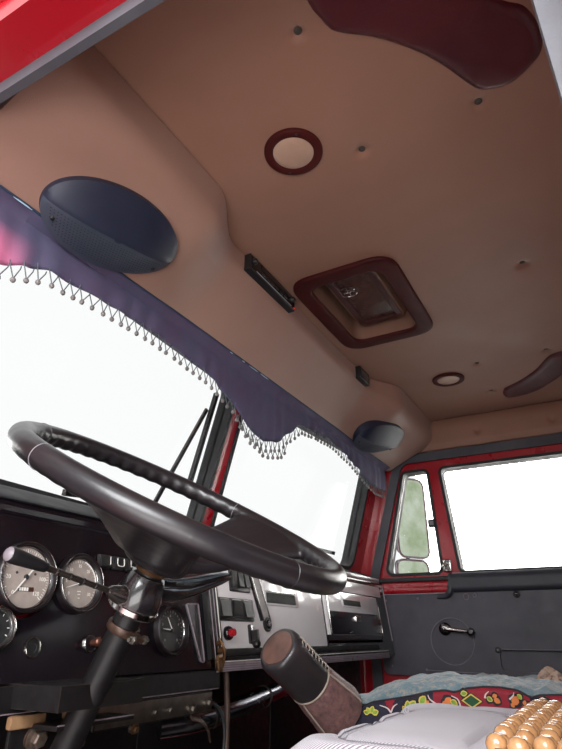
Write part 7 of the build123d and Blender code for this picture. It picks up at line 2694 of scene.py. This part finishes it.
def soft_pad(
        name, axes, size, corner, rounding, key, replaced, slot, seams=(), cap=0.024, voxel=0.008,
        depth=0.006
):
    """A swollen pad in its own axes, its face towards +Z, with seams pressed into the face."""
    started = pad_block(size, corner, rounding, 0.011)
    mesh = blown_up(started, voxel, cap)
    spots = coordinates(mesh)
    spots[:, 2] = np.clip(spots[:, 2], 0.0, size[2] + 0.0065)
    spots[:, 0] = np.clip(spots[:, 0], -0.004, size[0] + 0.004)
    spots[:, 1] = np.clip(spots[:, 1], -0.004, size[1] + 0.004)
    mesh.vertices.foreach_set("co", spots.ravel())

    def finer(carrier):
        smooth = carrier.modifiers.new("finer", "SUBSURF")
        smooth.levels = smooth.render_levels = 1

    mesh = with_modifiers(mesh, finer)
    spots = coordinates(mesh)
    upper = np.clip((spots[:, 2] / size[2] - 0.55) / 0.2, 0, 1)
    for line in seams:
        away = segment_distance(spots, line)
        spots[:, 2] -= upper * (
            depth * np.exp(-((away / 0.0045) ** 2)) + 0.6 * depth * np.exp(-((away / 0.022) ** 2))
        )
    mesh.vertices.foreach_set("co", spots.ravel())
    mesh.transform(axes)
    mesh.materials.clear()
    mesh.materials.append(M[key])
    piece = place(name, mesh, "cab", slot, [replaced], 70)
    return piece


# %% [markdown]
# The seat cloth is a grey diagonal weave. It is drawn by the twill group on coordinates in metres: the
# sides borrow the height as a second coordinate, so the ribs run on over the edge of the cushion.

# %% Woven cloth
def woven(name, thread_color, ground, thread=0.0037, band=0.11, depth=0.0007, rough=(0.75, 0.9), **plain):
    mat = bpy.data.materials.new(name)
    mat.use_nodes = True
    graph = Graph(mat.node_tree)
    shader = mat.node_tree.nodes["Principled BSDF"]
    where = graph.node("ShaderNodeTexCoord").outputs["Object"]
    parts = graph.node("ShaderNodeSeparateXYZ", {0: where}).outputs
    flat = graph.node(
        "ShaderNodeCombineXYZ",
        {0: graph.math("ADD", parts["X"], parts["Z"]), 1: graph.math("SUBTRACT", parts["Y"], parts["Z"])}
    ).outputs[0]
    weave = graph.group("twill", Vector=flat, Thread=thread, Band=band)
    stitch = graph.noise(where, 900.0, 1.0, 0.5)
    ribs = graph.ramp(weave["Height"], 0.2, 0.75)
    color = graph.mix(ribs, ground, thread_color)
    worn = graph.group("blotches", Vector=where, Scale=7.0, Contrast=0.7)["Mask"]
    tone = graph.mix(graph.math("MULTIPLY", worn, 0.25), color, srgb(150, 144, 146))
    height = graph.math("MULTIPLY_ADD", stitch, 0.35, weave["Height"])
    bump = graph.node("ShaderNodeBump", {"Height": height, "Distance": depth, "Strength": 1.0})
    mat.node_tree.links.new(tone, shader.inputs["Base Color"])
    mat.node_tree.links.new(graph.ramp(stitch, 0.3, 0.7, *rough), shader.inputs["Roughness"])
    mat.node_tree.links.new(bump.outputs[0], shader.inputs["Normal"])
    for socket, value in plain.items():
        shader.inputs[socket.replace("_", " ")].default_value = value
    return mat


M["seat_cloth"] = woven("grey_seat_cloth", srgb(218, 212, 220), srgb(112, 104, 114), Sheen_Weight=0.3)
M["bench_cloth"] = woven("bench_cloth", srgb(86, 60, 62), srgb(54, 40, 44), 0.003, 0.05, Sheen_Weight=0.2)
M["welt"] = finish("seat_welt", srgb(150, 146, 150), srgb(120, 116, 122), (0.6, 0.8), relief=(0.001, 0.0002))


def oblong(x0, y0, x1, y1, corner):
    line = rounded_outline([(x0, y0), (x1, y0), (x1, y1), (x0, y1)], corner, 6)
    return line + line[:1]


LEAN = math.radians(10)


def seat_axes(x, y, z):
    """A flat pad: its own axes are the cab's."""
    return Matrix.Translation((x, y, z))


def back_axes(right_x, root_y, root_z, thick):
    """A backrest: its width runs along X, its height up the lean, and its face looks forward."""
    up = Vector((0, math.sin(LEAN), math.cos(LEAN)))
    front = Vector((0, -math.cos(LEAN), math.sin(LEAN)))
    axes = Matrix((Vector((-1, 0, 0)), up, front)).transposed().to_4x4()
    axes.translation = Vector((right_x, root_y, root_z)) - front * thick
    return axes


# %% Driver's cushion and backrest
SEAT = {"left": 0.87, "right": 0.36, "front": -0.352, "low": 0.69}
CUSHION_SIZE, BACKREST_SIZE = (0.51, 0.522, 0.136), (0.51, 0.62, 0.12)
cushion_axes = seat_axes(SEAT["right"], SEAT["front"], SEAT["low"])
backrest_axes = back_axes(SEAT["left"], 0.176, 0.7114, BACKREST_SIZE[2])
panel = oblong(0.095, 0.075, 0.415, 0.522, 0.06)
driver_cushion = soft_pad(
    "driver_cushion_padded", cushion_axes, CUSHION_SIZE, 0.06, 0.028, "seat_cloth", "driver_cushion",
    "seat_cloth", [panel, [(0.095, 0.2), (0.415, 0.2)], [(0.095, 0.33), (0.415, 0.33)]]
)
back_seams = [
    oblong(0.095, -0.1, 0.415, 0.54, 0.07), [(0.095, 0.16), (0.415, 0.16)], [(0.095, 0.3), (0.415, 0.3)],
    [(0.095, 0.43), (0.415, 0.43)]
]
driver_backrest = soft_pad(
    "driver_backrest_padded", backrest_axes, BACKREST_SIZE, 0.09, 0.04, "seat_cloth", "driver_backrest",
    "seat_cloth", back_seams
)
print("driver cushion:", len(driver_cushion.data.polygons), "backrest:", len(driver_backrest.data.polygons))

# %% Passenger bench
BENCH = {"left": 0.14, "right": -0.97, "front": -0.47, "low": 0.67}
BENCH_CUSHION_SIZE, BENCH_BACKREST_SIZE = (1.11, 0.52, 0.11), (1.11, 0.56, 0.11)


def channels(low, high):
    """The five sewn channels across the bench, from one height of its face to the other."""
    return [[(x, low), (x, high)] for x in (0.185, 0.37, 0.555, 0.74, 0.925)]


bench_cushion = soft_pad(
    "bench_cushion_padded", seat_axes(BENCH["right"], BENCH["front"], BENCH["low"]), BENCH_CUSHION_SIZE,
    0.075, 0.036, "bench_cloth", "bench_cushion", "bench_cloth", channels(0.03, 0.52), voxel=0.01, cap=0.022
)
bench_backrest = soft_pad(
    "bench_backrest_padded", back_axes(BENCH["left"], 0.056, 0.6897, BENCH_BACKREST_SIZE[2]),
    BENCH_BACKREST_SIZE, 0.08, 0.036, "bench_cloth", "bench_backrest", "bench_cloth", channels(0.02, 0.53),
    voxel=0.01, cap=0.022
)
print("bench cushion:", len(bench_cushion.data.polygons), "backrest:", len(bench_backrest.data.polygons))

# %% [markdown]
# Welts finish the long edges. A welt has to lie on a surface that the solver made, so its path is drawn
# roughly and each point is moved to the nearest spot of the pad.

# %% Welts along the edges
def tree_of(piece):
    return BVHTree.FromPolygons(
        [v.co[:] for v in piece.data.vertices], [p.vertices[:] for p in piece.data.polygons]
    )


def welt(shape, tree, path, radius, key, close=True):
    snapped = []
    for spot in path:
        near, normal, _, _ = tree.find_nearest(Vector(spot))
        snapped.append(near + normal * radius * 0.35)
    shape.tube(snapped, radius, key, 8, close=close)


def dense(line, pitch=0.012):
    spots = []
    for a, b in zip(line[:-1], line[1:]):
        count = max(1, round((Vector(b) - Vector(a)).length / pitch))
        spots += [Vector(a).lerp(Vector(b), k / count) for k in range(count)]
    return spots


welts = Shape()
cushion_tree, backrest_tree = tree_of(driver_cushion), tree_of(driver_backrest)
for tree, axes, size, level in (
    (cushion_tree, cushion_axes, CUSHION_SIZE, 0.105),
    (backrest_tree, backrest_axes, BACKREST_SIZE, 0.1),
):
    line = [
        axes @ Vector((x, y, level)) for x, y in oblong(0.006, 0.006, size[0] - 0.006, size[1] - 0.006, 0.075)
    ]
    welt(welts, tree, dense(line), 0.0034, "seat_cloth")
stitch = [(x + SEAT["right"], y + SEAT["front"], 0.83) for x, y in panel if y < 0.49]
for offset in (0.0045, -0.0045):
    shifted = [(x + offset * (1 if x > 0.6 else -1), y + offset * 0.6, z) for x, y, z in stitch]
    welt(welts, cushion_tree, dense(shifted, 0.01), 0.0007, "welt", False)
welts.done("seat_welts", "cab", "seat_cloth")

# %% [markdown]
# ## Wooden bead cover
# The seat cover is a mat of turned wooden beads on cords. A ray is dropped on the cushion for every bead,
# which gives its place, and Geometry Nodes put the bead there with a small random turn.

# %% Beads
M["wood"] = finish(
    "varnished_beads", srgb(214, 166, 116), srgb(176, 122, 78), (0.16, 0.3), (90.0, 1.0), Coat_Weight=0.6,
    Coat_Roughness=0.12
)
M["cord"] = finish("bead_cord", srgb(62, 46, 36), srgb(46, 34, 28), (0.7, 0.9))
BEAD, ROW_SHARE, BEAD_LIFT = 0.0192, 0.98, 0.0080  # pitch, rows a little closer, middle above the cloth
BEAD_X, BEAD_Y = 0.615, -0.112                      # middle column and first row
COLUMNS = range(-9, 10)


def wooden_bead():
    bead = Shape()
    bead.lathe(
        [
            (0.0013, -0.0082), (0.0050, -0.0079), (0.0080, -0.0052), (0.0092, 0.0), (0.0080, 0.0052),
            (0.0050, 0.0079), (0.0013, 0.0082)
        ],
        (0, 0, 0), (1, 0, 0), "wood", 12
    )
    return bead


seat_spots, back_spots = [], []
for j in range(14):
    for i in COLUMNS:
        x, y = BEAD_X + i * BEAD + (j % 2) * BEAD / 2, BEAD_Y + j * BEAD * ROW_SHARE
        hit = cushion_tree.ray_cast(Vector((x, y, 1.0)), Vector((0, 0, -1)))[0]
        if hit:
            seat_spots.append(hit + Vector((0, 0, BEAD_LIFT + 0.0006 * math.sin(i * 2.1 + j))))
front = Vector((0, -math.cos(LEAN), math.sin(LEAN)))
up = Vector((0, math.sin(LEAN), math.cos(LEAN)))
for j in range(24):
    for i in COLUMNS:
        start = (
            Vector((BEAD_X + i * BEAD + (j % 2) * BEAD / 2, 0.176, 0.72)) + up * (0.14 + j * BEAD * ROW_SHARE)
            + front * 0.2
        )
        hit = backrest_tree.ray_cast(start, -front)[0]
        if hit:
            back_spots.append(hit + front * BEAD_LIFT)
for name, spots in (("seat_beads", seat_spots), ("back_beads", back_spots)):
    beads = scatter(name, spots, wooden_bead(), "wood", turn_spread=(1.5, 0.25, 0.25), seed=7)
    place(name, beads, "cab", "seat_cloth", angle=60)
print("wooden beads:", len(seat_spots) + len(back_spots))

# %% Cords between the beads
cords = Shape()
for i in COLUMNS[::2]:
    line = [s + Vector((BEAD / 2, 0, -0.002)) for s in seat_spots if abs(s.x - BEAD_X - i * BEAD) < 0.009]
    if len(line) > 3:
        cords.tube(line, 0.0009, "cord", 6)
for row in range(14):
    line = sorted(
        [s for s in seat_spots if abs(s.y - BEAD_Y - row * BEAD * ROW_SHARE) < 0.002], key=lambda s: s.x
    )
    if len(line) > 3:
        cords.tube(line, 0.0009, "cord", 6)
cords.done("bead_cords", "cab", "seat_cloth")

# %% [markdown]
# ## Cloths on the bench
# A printed runner is laid over the near end of the bench, and a crumpled towelling cloth lies on it. Both
# are single grids of cloth. Their ridges follow tables of (y, height), so each function only has to say how
# the cloth falls away from its ridge.

# %% Finishes of the cloths
def cloth(name, base, second, third, scale, relief, **plain):
    """Three tones in two sizes of blotch, with a looped or woven relief."""
    mat = finish(name, base, second, (0.8, 0.95), (scale, 1.0), relief, **plain)
    graph = Graph(mat.node_tree)
    shader = mat.node_tree.nodes["Principled BSDF"]
    place = graph.node("ShaderNodeTexCoord").outputs["Object"]
    under = shader.inputs["Base Color"].links[0].from_socket
    flecks = graph.group("blotches", Vector=place, Scale=scale * 3.3, Contrast=0.7)["Mask"]
    mat.node_tree.links.new(
        graph.mix(graph.ramp(flecks, 0.45, 0.9), under, third), shader.inputs["Base Color"]
    )
    return mat


M["towel"] = cloth(
    "teal_towelling", srgb(126, 152, 160), srgb(92, 124, 134), srgb(168, 160, 150), 30.0, (0.0035, 0.0012),
    Sheen_Weight=0.4
)
M["beige_cloth"] = cloth(
    "beige_cloth", srgb(206, 184, 164), srgb(170, 140, 124), srgb(120, 92, 86), 34.0, (0.002, 0.0004)
)
for key, name, base, second in (
    ("navy", "runner_navy", (26, 24, 52), (18, 16, 36)), ("field", "runner_red", (158, 14, 40), (128, 8, 32)),
    ("leaf", "print_green", (64, 122, 52), (150, 186, 60)),
    ("petal", "print_orange", (232, 142, 70), (214, 110, 56)),
    ("yellow", "print_yellow", (226, 204, 96), (206, 178, 76)),
    ("curl", "print_white", (232, 214, 212), (212, 190, 190)),
    ("piping_black", "runner_piping", (16, 13, 22), (26, 20, 30)),
    ("deep_green", "print_deep_green", (18, 88, 50), (28, 74, 42))
):
    M[key] = finish(
        name, srgb(*base), srgb(*second), (0.55, 0.75), (50.0, 0.9), relief=(0.0012, 0.0001),
        Sheen_Weight=0.15
    )


def along(table, y):
    """The height of a ridge at y, read from a table of (y, height) from front to rear."""
    if y <= table[0][0]:
        return table[0][1]
    for (a, za), (b, zb) in zip(table[:-1], table[1:]):
        if y <= b:
            return za + (zb - za) * (y - a) / (b - a)
    return table[-1][1]


# %% Printed runner
RUNNER = [
    (-0.50, 0.782), (-0.481, 0.794), (-0.459, 0.803), (-0.384, 0.816), (-0.341, 0.826), (-0.315, 0.829),
    (-0.297, 0.8265), (-0.272, 0.834), (-0.242, 0.8375), (-0.213, 0.8375), (-0.185, 0.834), (-0.165, 0.8235),
    (-0.148, 0.828), (-0.113, 0.830), (-0.05, 0.828), (0.06, 0.822)
]
FLAP_X = 0.1655
RUNNER_FRONT, RUNNER_LONG = -0.498, 0.548


def runner_point(u, v):
    """u runs from front to rear, v from the hanging hem up over the ridge and along the bench."""
    y = RUNNER_FRONT + RUNNER_LONG * u
    top = along(RUNNER, y)
    section = [
        (0.0, FLAP_X - 0.006, 0.712), (0.22, FLAP_X, top - 0.03), (0.30, FLAP_X, top - 0.0065),
        (0.33, FLAP_X - 0.0035, top - 0.0015), (0.37, FLAP_X - 0.011, top), (0.5, 0.10, top - 0.007),
        (0.72, 0.0, 0.803), (1.0, -0.13, 0.7985)
    ]
    for (a, xa, za), (b, xb, zb) in zip(section[:-1], section[1:]):
        if v <= b:
            t = (v - a) / (b - a)
            ripple = 0.0025 * math.sin(y * 46) * (1 - step(0.0, 0.24, v))
            return (xa + (xb - xa) * t + ripple, y, za + (zb - za) * t)
    return (section[-1][1], y, section[-1][2])


runner = grid_piece(
    "runner_cloth", runner_point, 200, 96, "navy", "cab", "bench_cloth", (), 0.0016, (0.55, 0.40)
)
runner.data.materials.append(M["field"])
for face in runner.data.polygons:
    y, z = face.center.y, face.center.z
    red = (
        -0.337 < y < -0.166 or y > -0.142 - (z - 0.81)
        or abs(y + 0.423) * 1.6 < z - 0.790 and z > 0.785 and face.center.x > 0.15
    )
    face.material_index = 1 if red else 0

# %% Print on the runner: leaves, petals, curls and a lozenge, repeated down the flap
LEAVES = [
    ((-0.463, 0.784), (-0.470, 0.794)), ((-0.462, 0.784), (-0.456, 0.797)),
    ((-0.460, 0.784), (-0.446, 0.789)), ((-0.465, 0.784), (-0.477, 0.787)),
    ((-0.389, 0.791), (-0.397, 0.800)), ((-0.386, 0.792), (-0.386, 0.810)),
    ((-0.384, 0.794), (-0.371, 0.810)), ((-0.383, 0.791), (-0.372, 0.799)),
    ((-0.363, 0.803), (-0.351, 0.819)), ((-0.305, 0.814), (-0.292, 0.807)),
    ((-0.239, 0.822), (-0.229, 0.816)), ((-0.186, 0.829), (-0.179, 0.821)),
    ((-0.153, 0.821), (-0.137, 0.804)), ((-0.155, 0.816), (-0.152, 0.804)),
    ((-0.160, 0.816), (-0.148, 0.809)), ((-0.285, 0.825), (-0.272, 0.827))
]
PETALS = [
    ((-0.363, 0.799), (-0.370, 0.805)), ((-0.356, 0.801), (-0.345, 0.811)),
    ((-0.358, 0.799), (-0.340, 0.804)), ((-0.315, 0.807), (-0.303, 0.818)),
    ((-0.311, 0.811), (-0.321, 0.805)), ((-0.229, 0.823), (-0.220, 0.826)),
    ((-0.227, 0.820), (-0.216, 0.814)), ((-0.195, 0.811), (-0.186, 0.826)),
    ((-0.177, 0.812), (-0.174, 0.820)), ((-0.173, 0.811), (-0.164, 0.815)),
    ((-0.172, 0.810), (-0.164, 0.809)), ((-0.199, 0.814), (-0.193, 0.808))
]
CURLS = [
    ((-0.443, 0.799), (-0.428, 0.795), (-0.421, 0.788)), ((-0.407, 0.803), (-0.415, 0.798), (-0.421, 0.788)),
    ((-0.346, 0.821), (-0.343, 0.814), (-0.333, 0.807)), ((-0.302, 0.821), (-0.291, 0.816), (-0.287, 0.804)),
    ((-0.234, 0.831), (-0.240, 0.826), (-0.242, 0.820)), ((-0.191, 0.831), (-0.193, 0.826), (-0.200, 0.820)),
    ((-0.145, 0.823), (-0.131, 0.818), (-0.117, 0.809))
]
LOZENGE = (-0.266, 0.8145, 0.0185, 0.0118)


def petal_plate(shape, root, tip, share, level, key):
    """A pointed oval between two points of the flap, as a thin plate."""
    root, tip = Vector(root), Vector(tip)
    line = tip - root
    side = Vector((-line.y, line.x)) * share
    outline = [
        root, root.lerp(tip, 0.25) - side * 0.8, root.lerp(tip, 0.55) - side,
        root.lerp(tip, 0.85) - side * 0.55, tip, root.lerp(tip, 0.85) + side * 0.55,
        root.lerp(tip, 0.55) + side, root.lerp(tip, 0.25) + side * 0.8
    ]
    shape.plate([tuple(p) for p in outline], (FLAP_X, 0, 0), (0, 1, 0), (0, 0, 1), level, key)


LAYERS = (
    # marks, level of the first, gap to the next, and for each layer: from, to, width, level, finish
    (LEAVES, 0.0012, 0.00003, (
        (-0.2, 1.2, 0.52, -0.0003, "piping_black"), (0, 1, 0.38, 0, "yellow"),
        (0.1, 0.88, 0.29, 0.0003, "leaf"),
    )),
    (PETALS, 0.00125, 0.00004, ((-0.2, 1.22, 0.52, -0.0003, "piping_black"), (0, 1, 0.37, 0, "petal"))),
)
printed = Shape()
for drop, shift in ((0.0, 0.0), (0.034, 0.055), (0.068, 0.0)):
    def moved(spot):
        return (spot[0] + shift, spot[1] - drop)

    for marks, first_level, gap, layers in LAYERS:
        for k, (root, tip) in enumerate(marks):
            root, tip, level = Vector(root), Vector(tip), first_level + gap * k
            for start, end, share, lift, key in layers:
                petal_plate(
                    printed, moved(root.lerp(tip, start)), moved(root.lerp(tip, end)), share, level + lift,
                    key
                )
    for line in CURLS:
        path = smooth_path([(FLAP_X + 0.0010, *moved(p)) for p in line], 4)
        printed.tube(
            path, [0.0007 + 0.0011 * k / (len(path) - 1) for k in range(len(path))], "curl", 6, flat=0.4,
            side=(1, 0, 0)
        )
    y, z, wide, tall = LOZENGE
    for scale, level, key in (
        (1.15, 0.0012, "piping_black"), (1.0, 0.0015, "yellow"), (0.78, 0.0018, "deep_green")
    ):
        corners = [
            moved((y + s * wide * scale, z + t * tall * scale)) for s, t in ((-1, 0), (0, -1), (1, 0), (0, 1))
        ]
        printed.plate(corners, (FLAP_X, 0, 0), (0, 1, 0), (0, 0, 1), level, key)
ridge_y = [RUNNER_FRONT + RUNNER_LONG * k / 80 for k in range(81)]
printed.tube([(FLAP_X - 0.006, y, along(RUNNER, y) - 0.0008) for y in ridge_y], 0.0030, "piping_black", 8)
print_piece = printed.done("runner_print", "cab", "bench_cloth")

# %% Crumpled towelling cloth
TOWEL = [
    (-0.575, 0.776), (-0.557, 0.789), (-0.525, 0.803), (-0.494, 0.814), (-0.452, 0.825), (-0.399, 0.841),
    (-0.329, 0.846), (-0.263, 0.845), (-0.2, 0.844), (-0.121, 0.838), (0.05, 0.832)
]


def towel_point(u, v):
    """u runs from the hanging front edge to the rear, v from the near edge across the bench."""
    x = 0.138 - 0.93 * v ** 1.25
    front = -0.497 - 0.078 * step(-0.32, 0.06, x)
    if u < 0.16:
        y, fall = front - 0.004 * (1 - u / 0.16), 1 - u / 0.16
    else:
        y, fall = front + (0.035 - front) * ((u - 0.16) / 0.84) ** 0.9, 0.0
    ridge = along(TOWEL, y)
    near = along(RUNNER, y) - 0.004
    flat = 0.805 - 0.006 * step(0.0, 0.03, 0.03 - (y - front))
    if x > 0.055:
        t = (x - 0.055) / 0.083
        z = ridge - (ridge - near) * (1 - math.sqrt(max(0.0, 1 - t * t)))
    else:
        z = flat + (ridge - flat) * step(-0.42, 0.055, x)
    lump = (
        noise.noise(Vector((x * 13, y * 19, 1.3))) * 0.010
        + noise.noise(Vector((x * 40, y * 52, 4.1))) * 0.0038
    )
    crease = abs(noise.noise(Vector((x * 9 + y * 5, y * 26 - x * 4, 7.7)))) * 0.008
    z += (lump - crease + 0.002) * min(1.0, (0.142 - x) / 0.03)
    sway = 0.010 * noise.noise(Vector((x * 9, u * 3, 9.0)))
    return (
        x + sway * 0.4, y + sway * (0.3 + fall),
        max(z, 0.7985) - fall * (0.075 + 0.02 * noise.noise(Vector((x * 6, 3.0, 0))))
    )


towel = grid_piece(
    "towel_cloth", towel_point, 190, 250, "towel", "cab", "bench_cloth", (), 0.003, (0.72, 1.0)
)
for label, (cx, cy, cz), (wide, deep, tall) in (
    ("first", (-0.16, -0.155, 0.843), (0.10, 0.085, 0.026)),
    ("second", (-0.17, -0.055, 0.838), (0.12, 0.10, 0.022))
):
    def heap(u, v):
        a, b = u * 2 - 1, v * 2 - 1
        x, y = cx + a * wide / 2, cy + b * deep / 2
        bulge = (1 - a * a) * (1 - b * b)
        peak = (
            noise.noise(Vector((x * 34, y * 34, 2.2))) * 0.022
            + noise.noise(Vector((x * 80, y * 80, 5.0))) * 0.006
        )
        return (
            x + 0.012 * noise.noise(Vector((y * 30, 1, 1))), y + 0.012 * noise.noise(Vector((x * 30, 7, 1))),
            cz - 0.016 + bulge * (tall + peak)
        )

    grid_piece(
            f"beige_cloth_{label}", heap, 44, 44, "beige_cloth", "cab", "bench_cloth", (), 0.0014,
            (wide, deep)
        )
print("cloth faces:", len(runner.data.polygons), len(towel.data.polygons))


# %% [markdown]
# ## Outside of the cab
# The photo shows hardly anything of the outside, so it gets the plain details that any such cab has: lamp
# lenses, rivets along the seams, a drip rail, a trim strip with round reflectors and studs on the steps.
# The front panel is a shallow V, so one function gives a point on it for any x and height.

# %% A point on the front panel
FRONT_Y, FRONT_VEE = -1.0808, 0.068


def front_out(x):
    return Vector((math.copysign(FRONT_VEE, x), -1, 0)).normalized()


def front_spot(x, z, out=0.0):
    return Vector((x, FRONT_Y + FRONT_VEE * abs(x), z)) + front_out(x) * out


# %% Turn lamps: a bezel, a ribbed amber lens and two screws
M["amber"] = finish(
    "amber_lens", srgb(226, 118, 24), srgb(206, 92, 16), (0.12, 0.2), (30.0, 0.6), Coat_Weight=0.8,
    Coat_Roughness=0.04
)
M["red_lens"] = finish(
    "red_lens", srgb(176, 18, 22), srgb(150, 12, 18), (0.12, 0.2), (30.0, 0.6), Coat_Weight=0.8,
    Coat_Roughness=0.04
)
lamps = Shape()
for side in (1, -1):
    right = Vector((1, FRONT_VEE * side, 0))
    for key, wide, tall, low, thick, soft in (
        ("chrome", 0.17, 0.086, -0.001, 0.008, 0.003), ("amber", 0.152, 0.068, 0.006, 0.016, 0.004)
    ):
        outline = rounded_outline(
            [(wide / 2 * a, tall / 2 * b) for a, b in ((-1, -1), (1, -1), (1, 1), (-1, 1))], 0.014, 6
        )
        lamps.plate(outline, front_spot(side * 0.86, 0.64, low), right, (0, 0, 1), thick, key, soft)
    for k in range(-6, 7):
        x = side * 0.86 + k * 0.011
        lamps.tube([front_spot(x, 0.612, 0.0218), front_spot(x, 0.668, 0.0218)], 0.0021, "amber", 8)
    for k in (-1, 1):
        lamps.lathe(
            [(0.0035, -0.002), (0.0035, 0.0015), (0.0022, 0.0025), (0.0003, 0.0026)],
            front_spot(side * 0.86 + k * 0.0795, 0.64, 0.007), front_out(side), "steel", 14
        )
turn_lamps = lamps.done("turn_lamps_lensed", "cab", "turn_lens", ["turn_lamps"])
print("turn lamp faces:", len(turn_lamps.data.polygons))

# %% Trim strip with a row of round reflectors
REFLECTORS, REFLECTOR_Z = 12, 1.03
trim = Shape()
strip_path = [front_spot(-1.05 + 0.05 * k, 1.085, 0.001) for k in range(43)]
trim.tube(strip_path, 0.009, "chrome", 10, flat=0.35, side=(0, 1, 0))
for k in range(REFLECTORS):
    x = -0.935 + 0.17 * k
    trim.lathe(
        [(0.0225, -0.002), (0.0225, 0.004), (0.0205, 0.0058), (0.0185, 0.0042), (0.0185, -0.002)],
        front_spot(x, REFLECTOR_Z), front_out(x), "chrome", 28, close=True
    )
    trim.lathe(
        [(0.0188, -0.001), (0.0182, 0.004), (0.0120, 0.0062), (0.0004, 0.0070)], front_spot(x, REFLECTOR_Z),
        front_out(x), "amber" if k % 2 else "red_lens", 28
    )
trim.done("front_trim", "cab", "bright_metal")
print("reflectors:", REFLECTORS)

# %% Rivets, drip rail and the studs of the steps
rail = Shape()
for side in (1, -1):
    rail.tube([(side * 1.131, -0.76 + 0.04 * k, 1.704) for k in range(31)], 0.007, "paint", 10)
rail.done("drip_rails", "cab", "cab_paint")
RIVET_PITCH, SIDE_SEAM_X, REAR_SEAM_Y = 0.06, 1.1298, 0.5498
SEAMS = {
    # name: points and the turn that lays a rivet on that side
    "left": ([(SIDE_SEAM_X, -0.74 + RIVET_PITCH * k, 1.742) for k in range(21)], (0, math.pi / 2, 0)),
    "right": ([(-SIDE_SEAM_X, -0.74 + RIVET_PITCH * k, 1.742) for k in range(21)], (0, -math.pi / 2, 0)),
    "rear": (
        [(-1.02 + RIVET_PITCH * k, REAR_SEAM_Y, z) for k in range(35) for z in (1.66, 0.15)]
        + [(s * 1.04, REAR_SEAM_Y, 0.21 + RIVET_PITCH * k) for k in range(24) for s in (1, -1)],
        (-math.pi / 2, 0, 0),
    ),
}
for label, (spots, turn) in SEAMS.items():
    rivet = Shape()
    rivet.lathe(
        [(0.0055, -0.001), (0.0052, 0.0008), (0.0036, 0.0019), (0.0003, 0.0023)], (0, 0, 0), (0, 0, 1),
        "paint", 10
    )
    place(f"rivets_{label}", scatter(f"rivets_{label}", spots, rivet, "paint", turn=turn), "cab", "cab_paint")
    print("rivets", label, len(spots))
stud = Shape()
stud.lathe(
    [(0.006, -0.001), (0.0055, 0.0012), (0.004, 0.0022), (0.0003, 0.0024)], (0, 0, 0), (0, 0, 1), "chassis", 6
)
spots = [
    (s * (1.022 + 0.022 * i), -0.86 + 0.022 * j, 0.0438) for s in (1, -1) for i in range(5) for j in range(10)
]
place("step_studs", scatter("step_studs", spots, stud, "chassis"), "cab", "chassis_paint")
print("step studs:", len(spots))
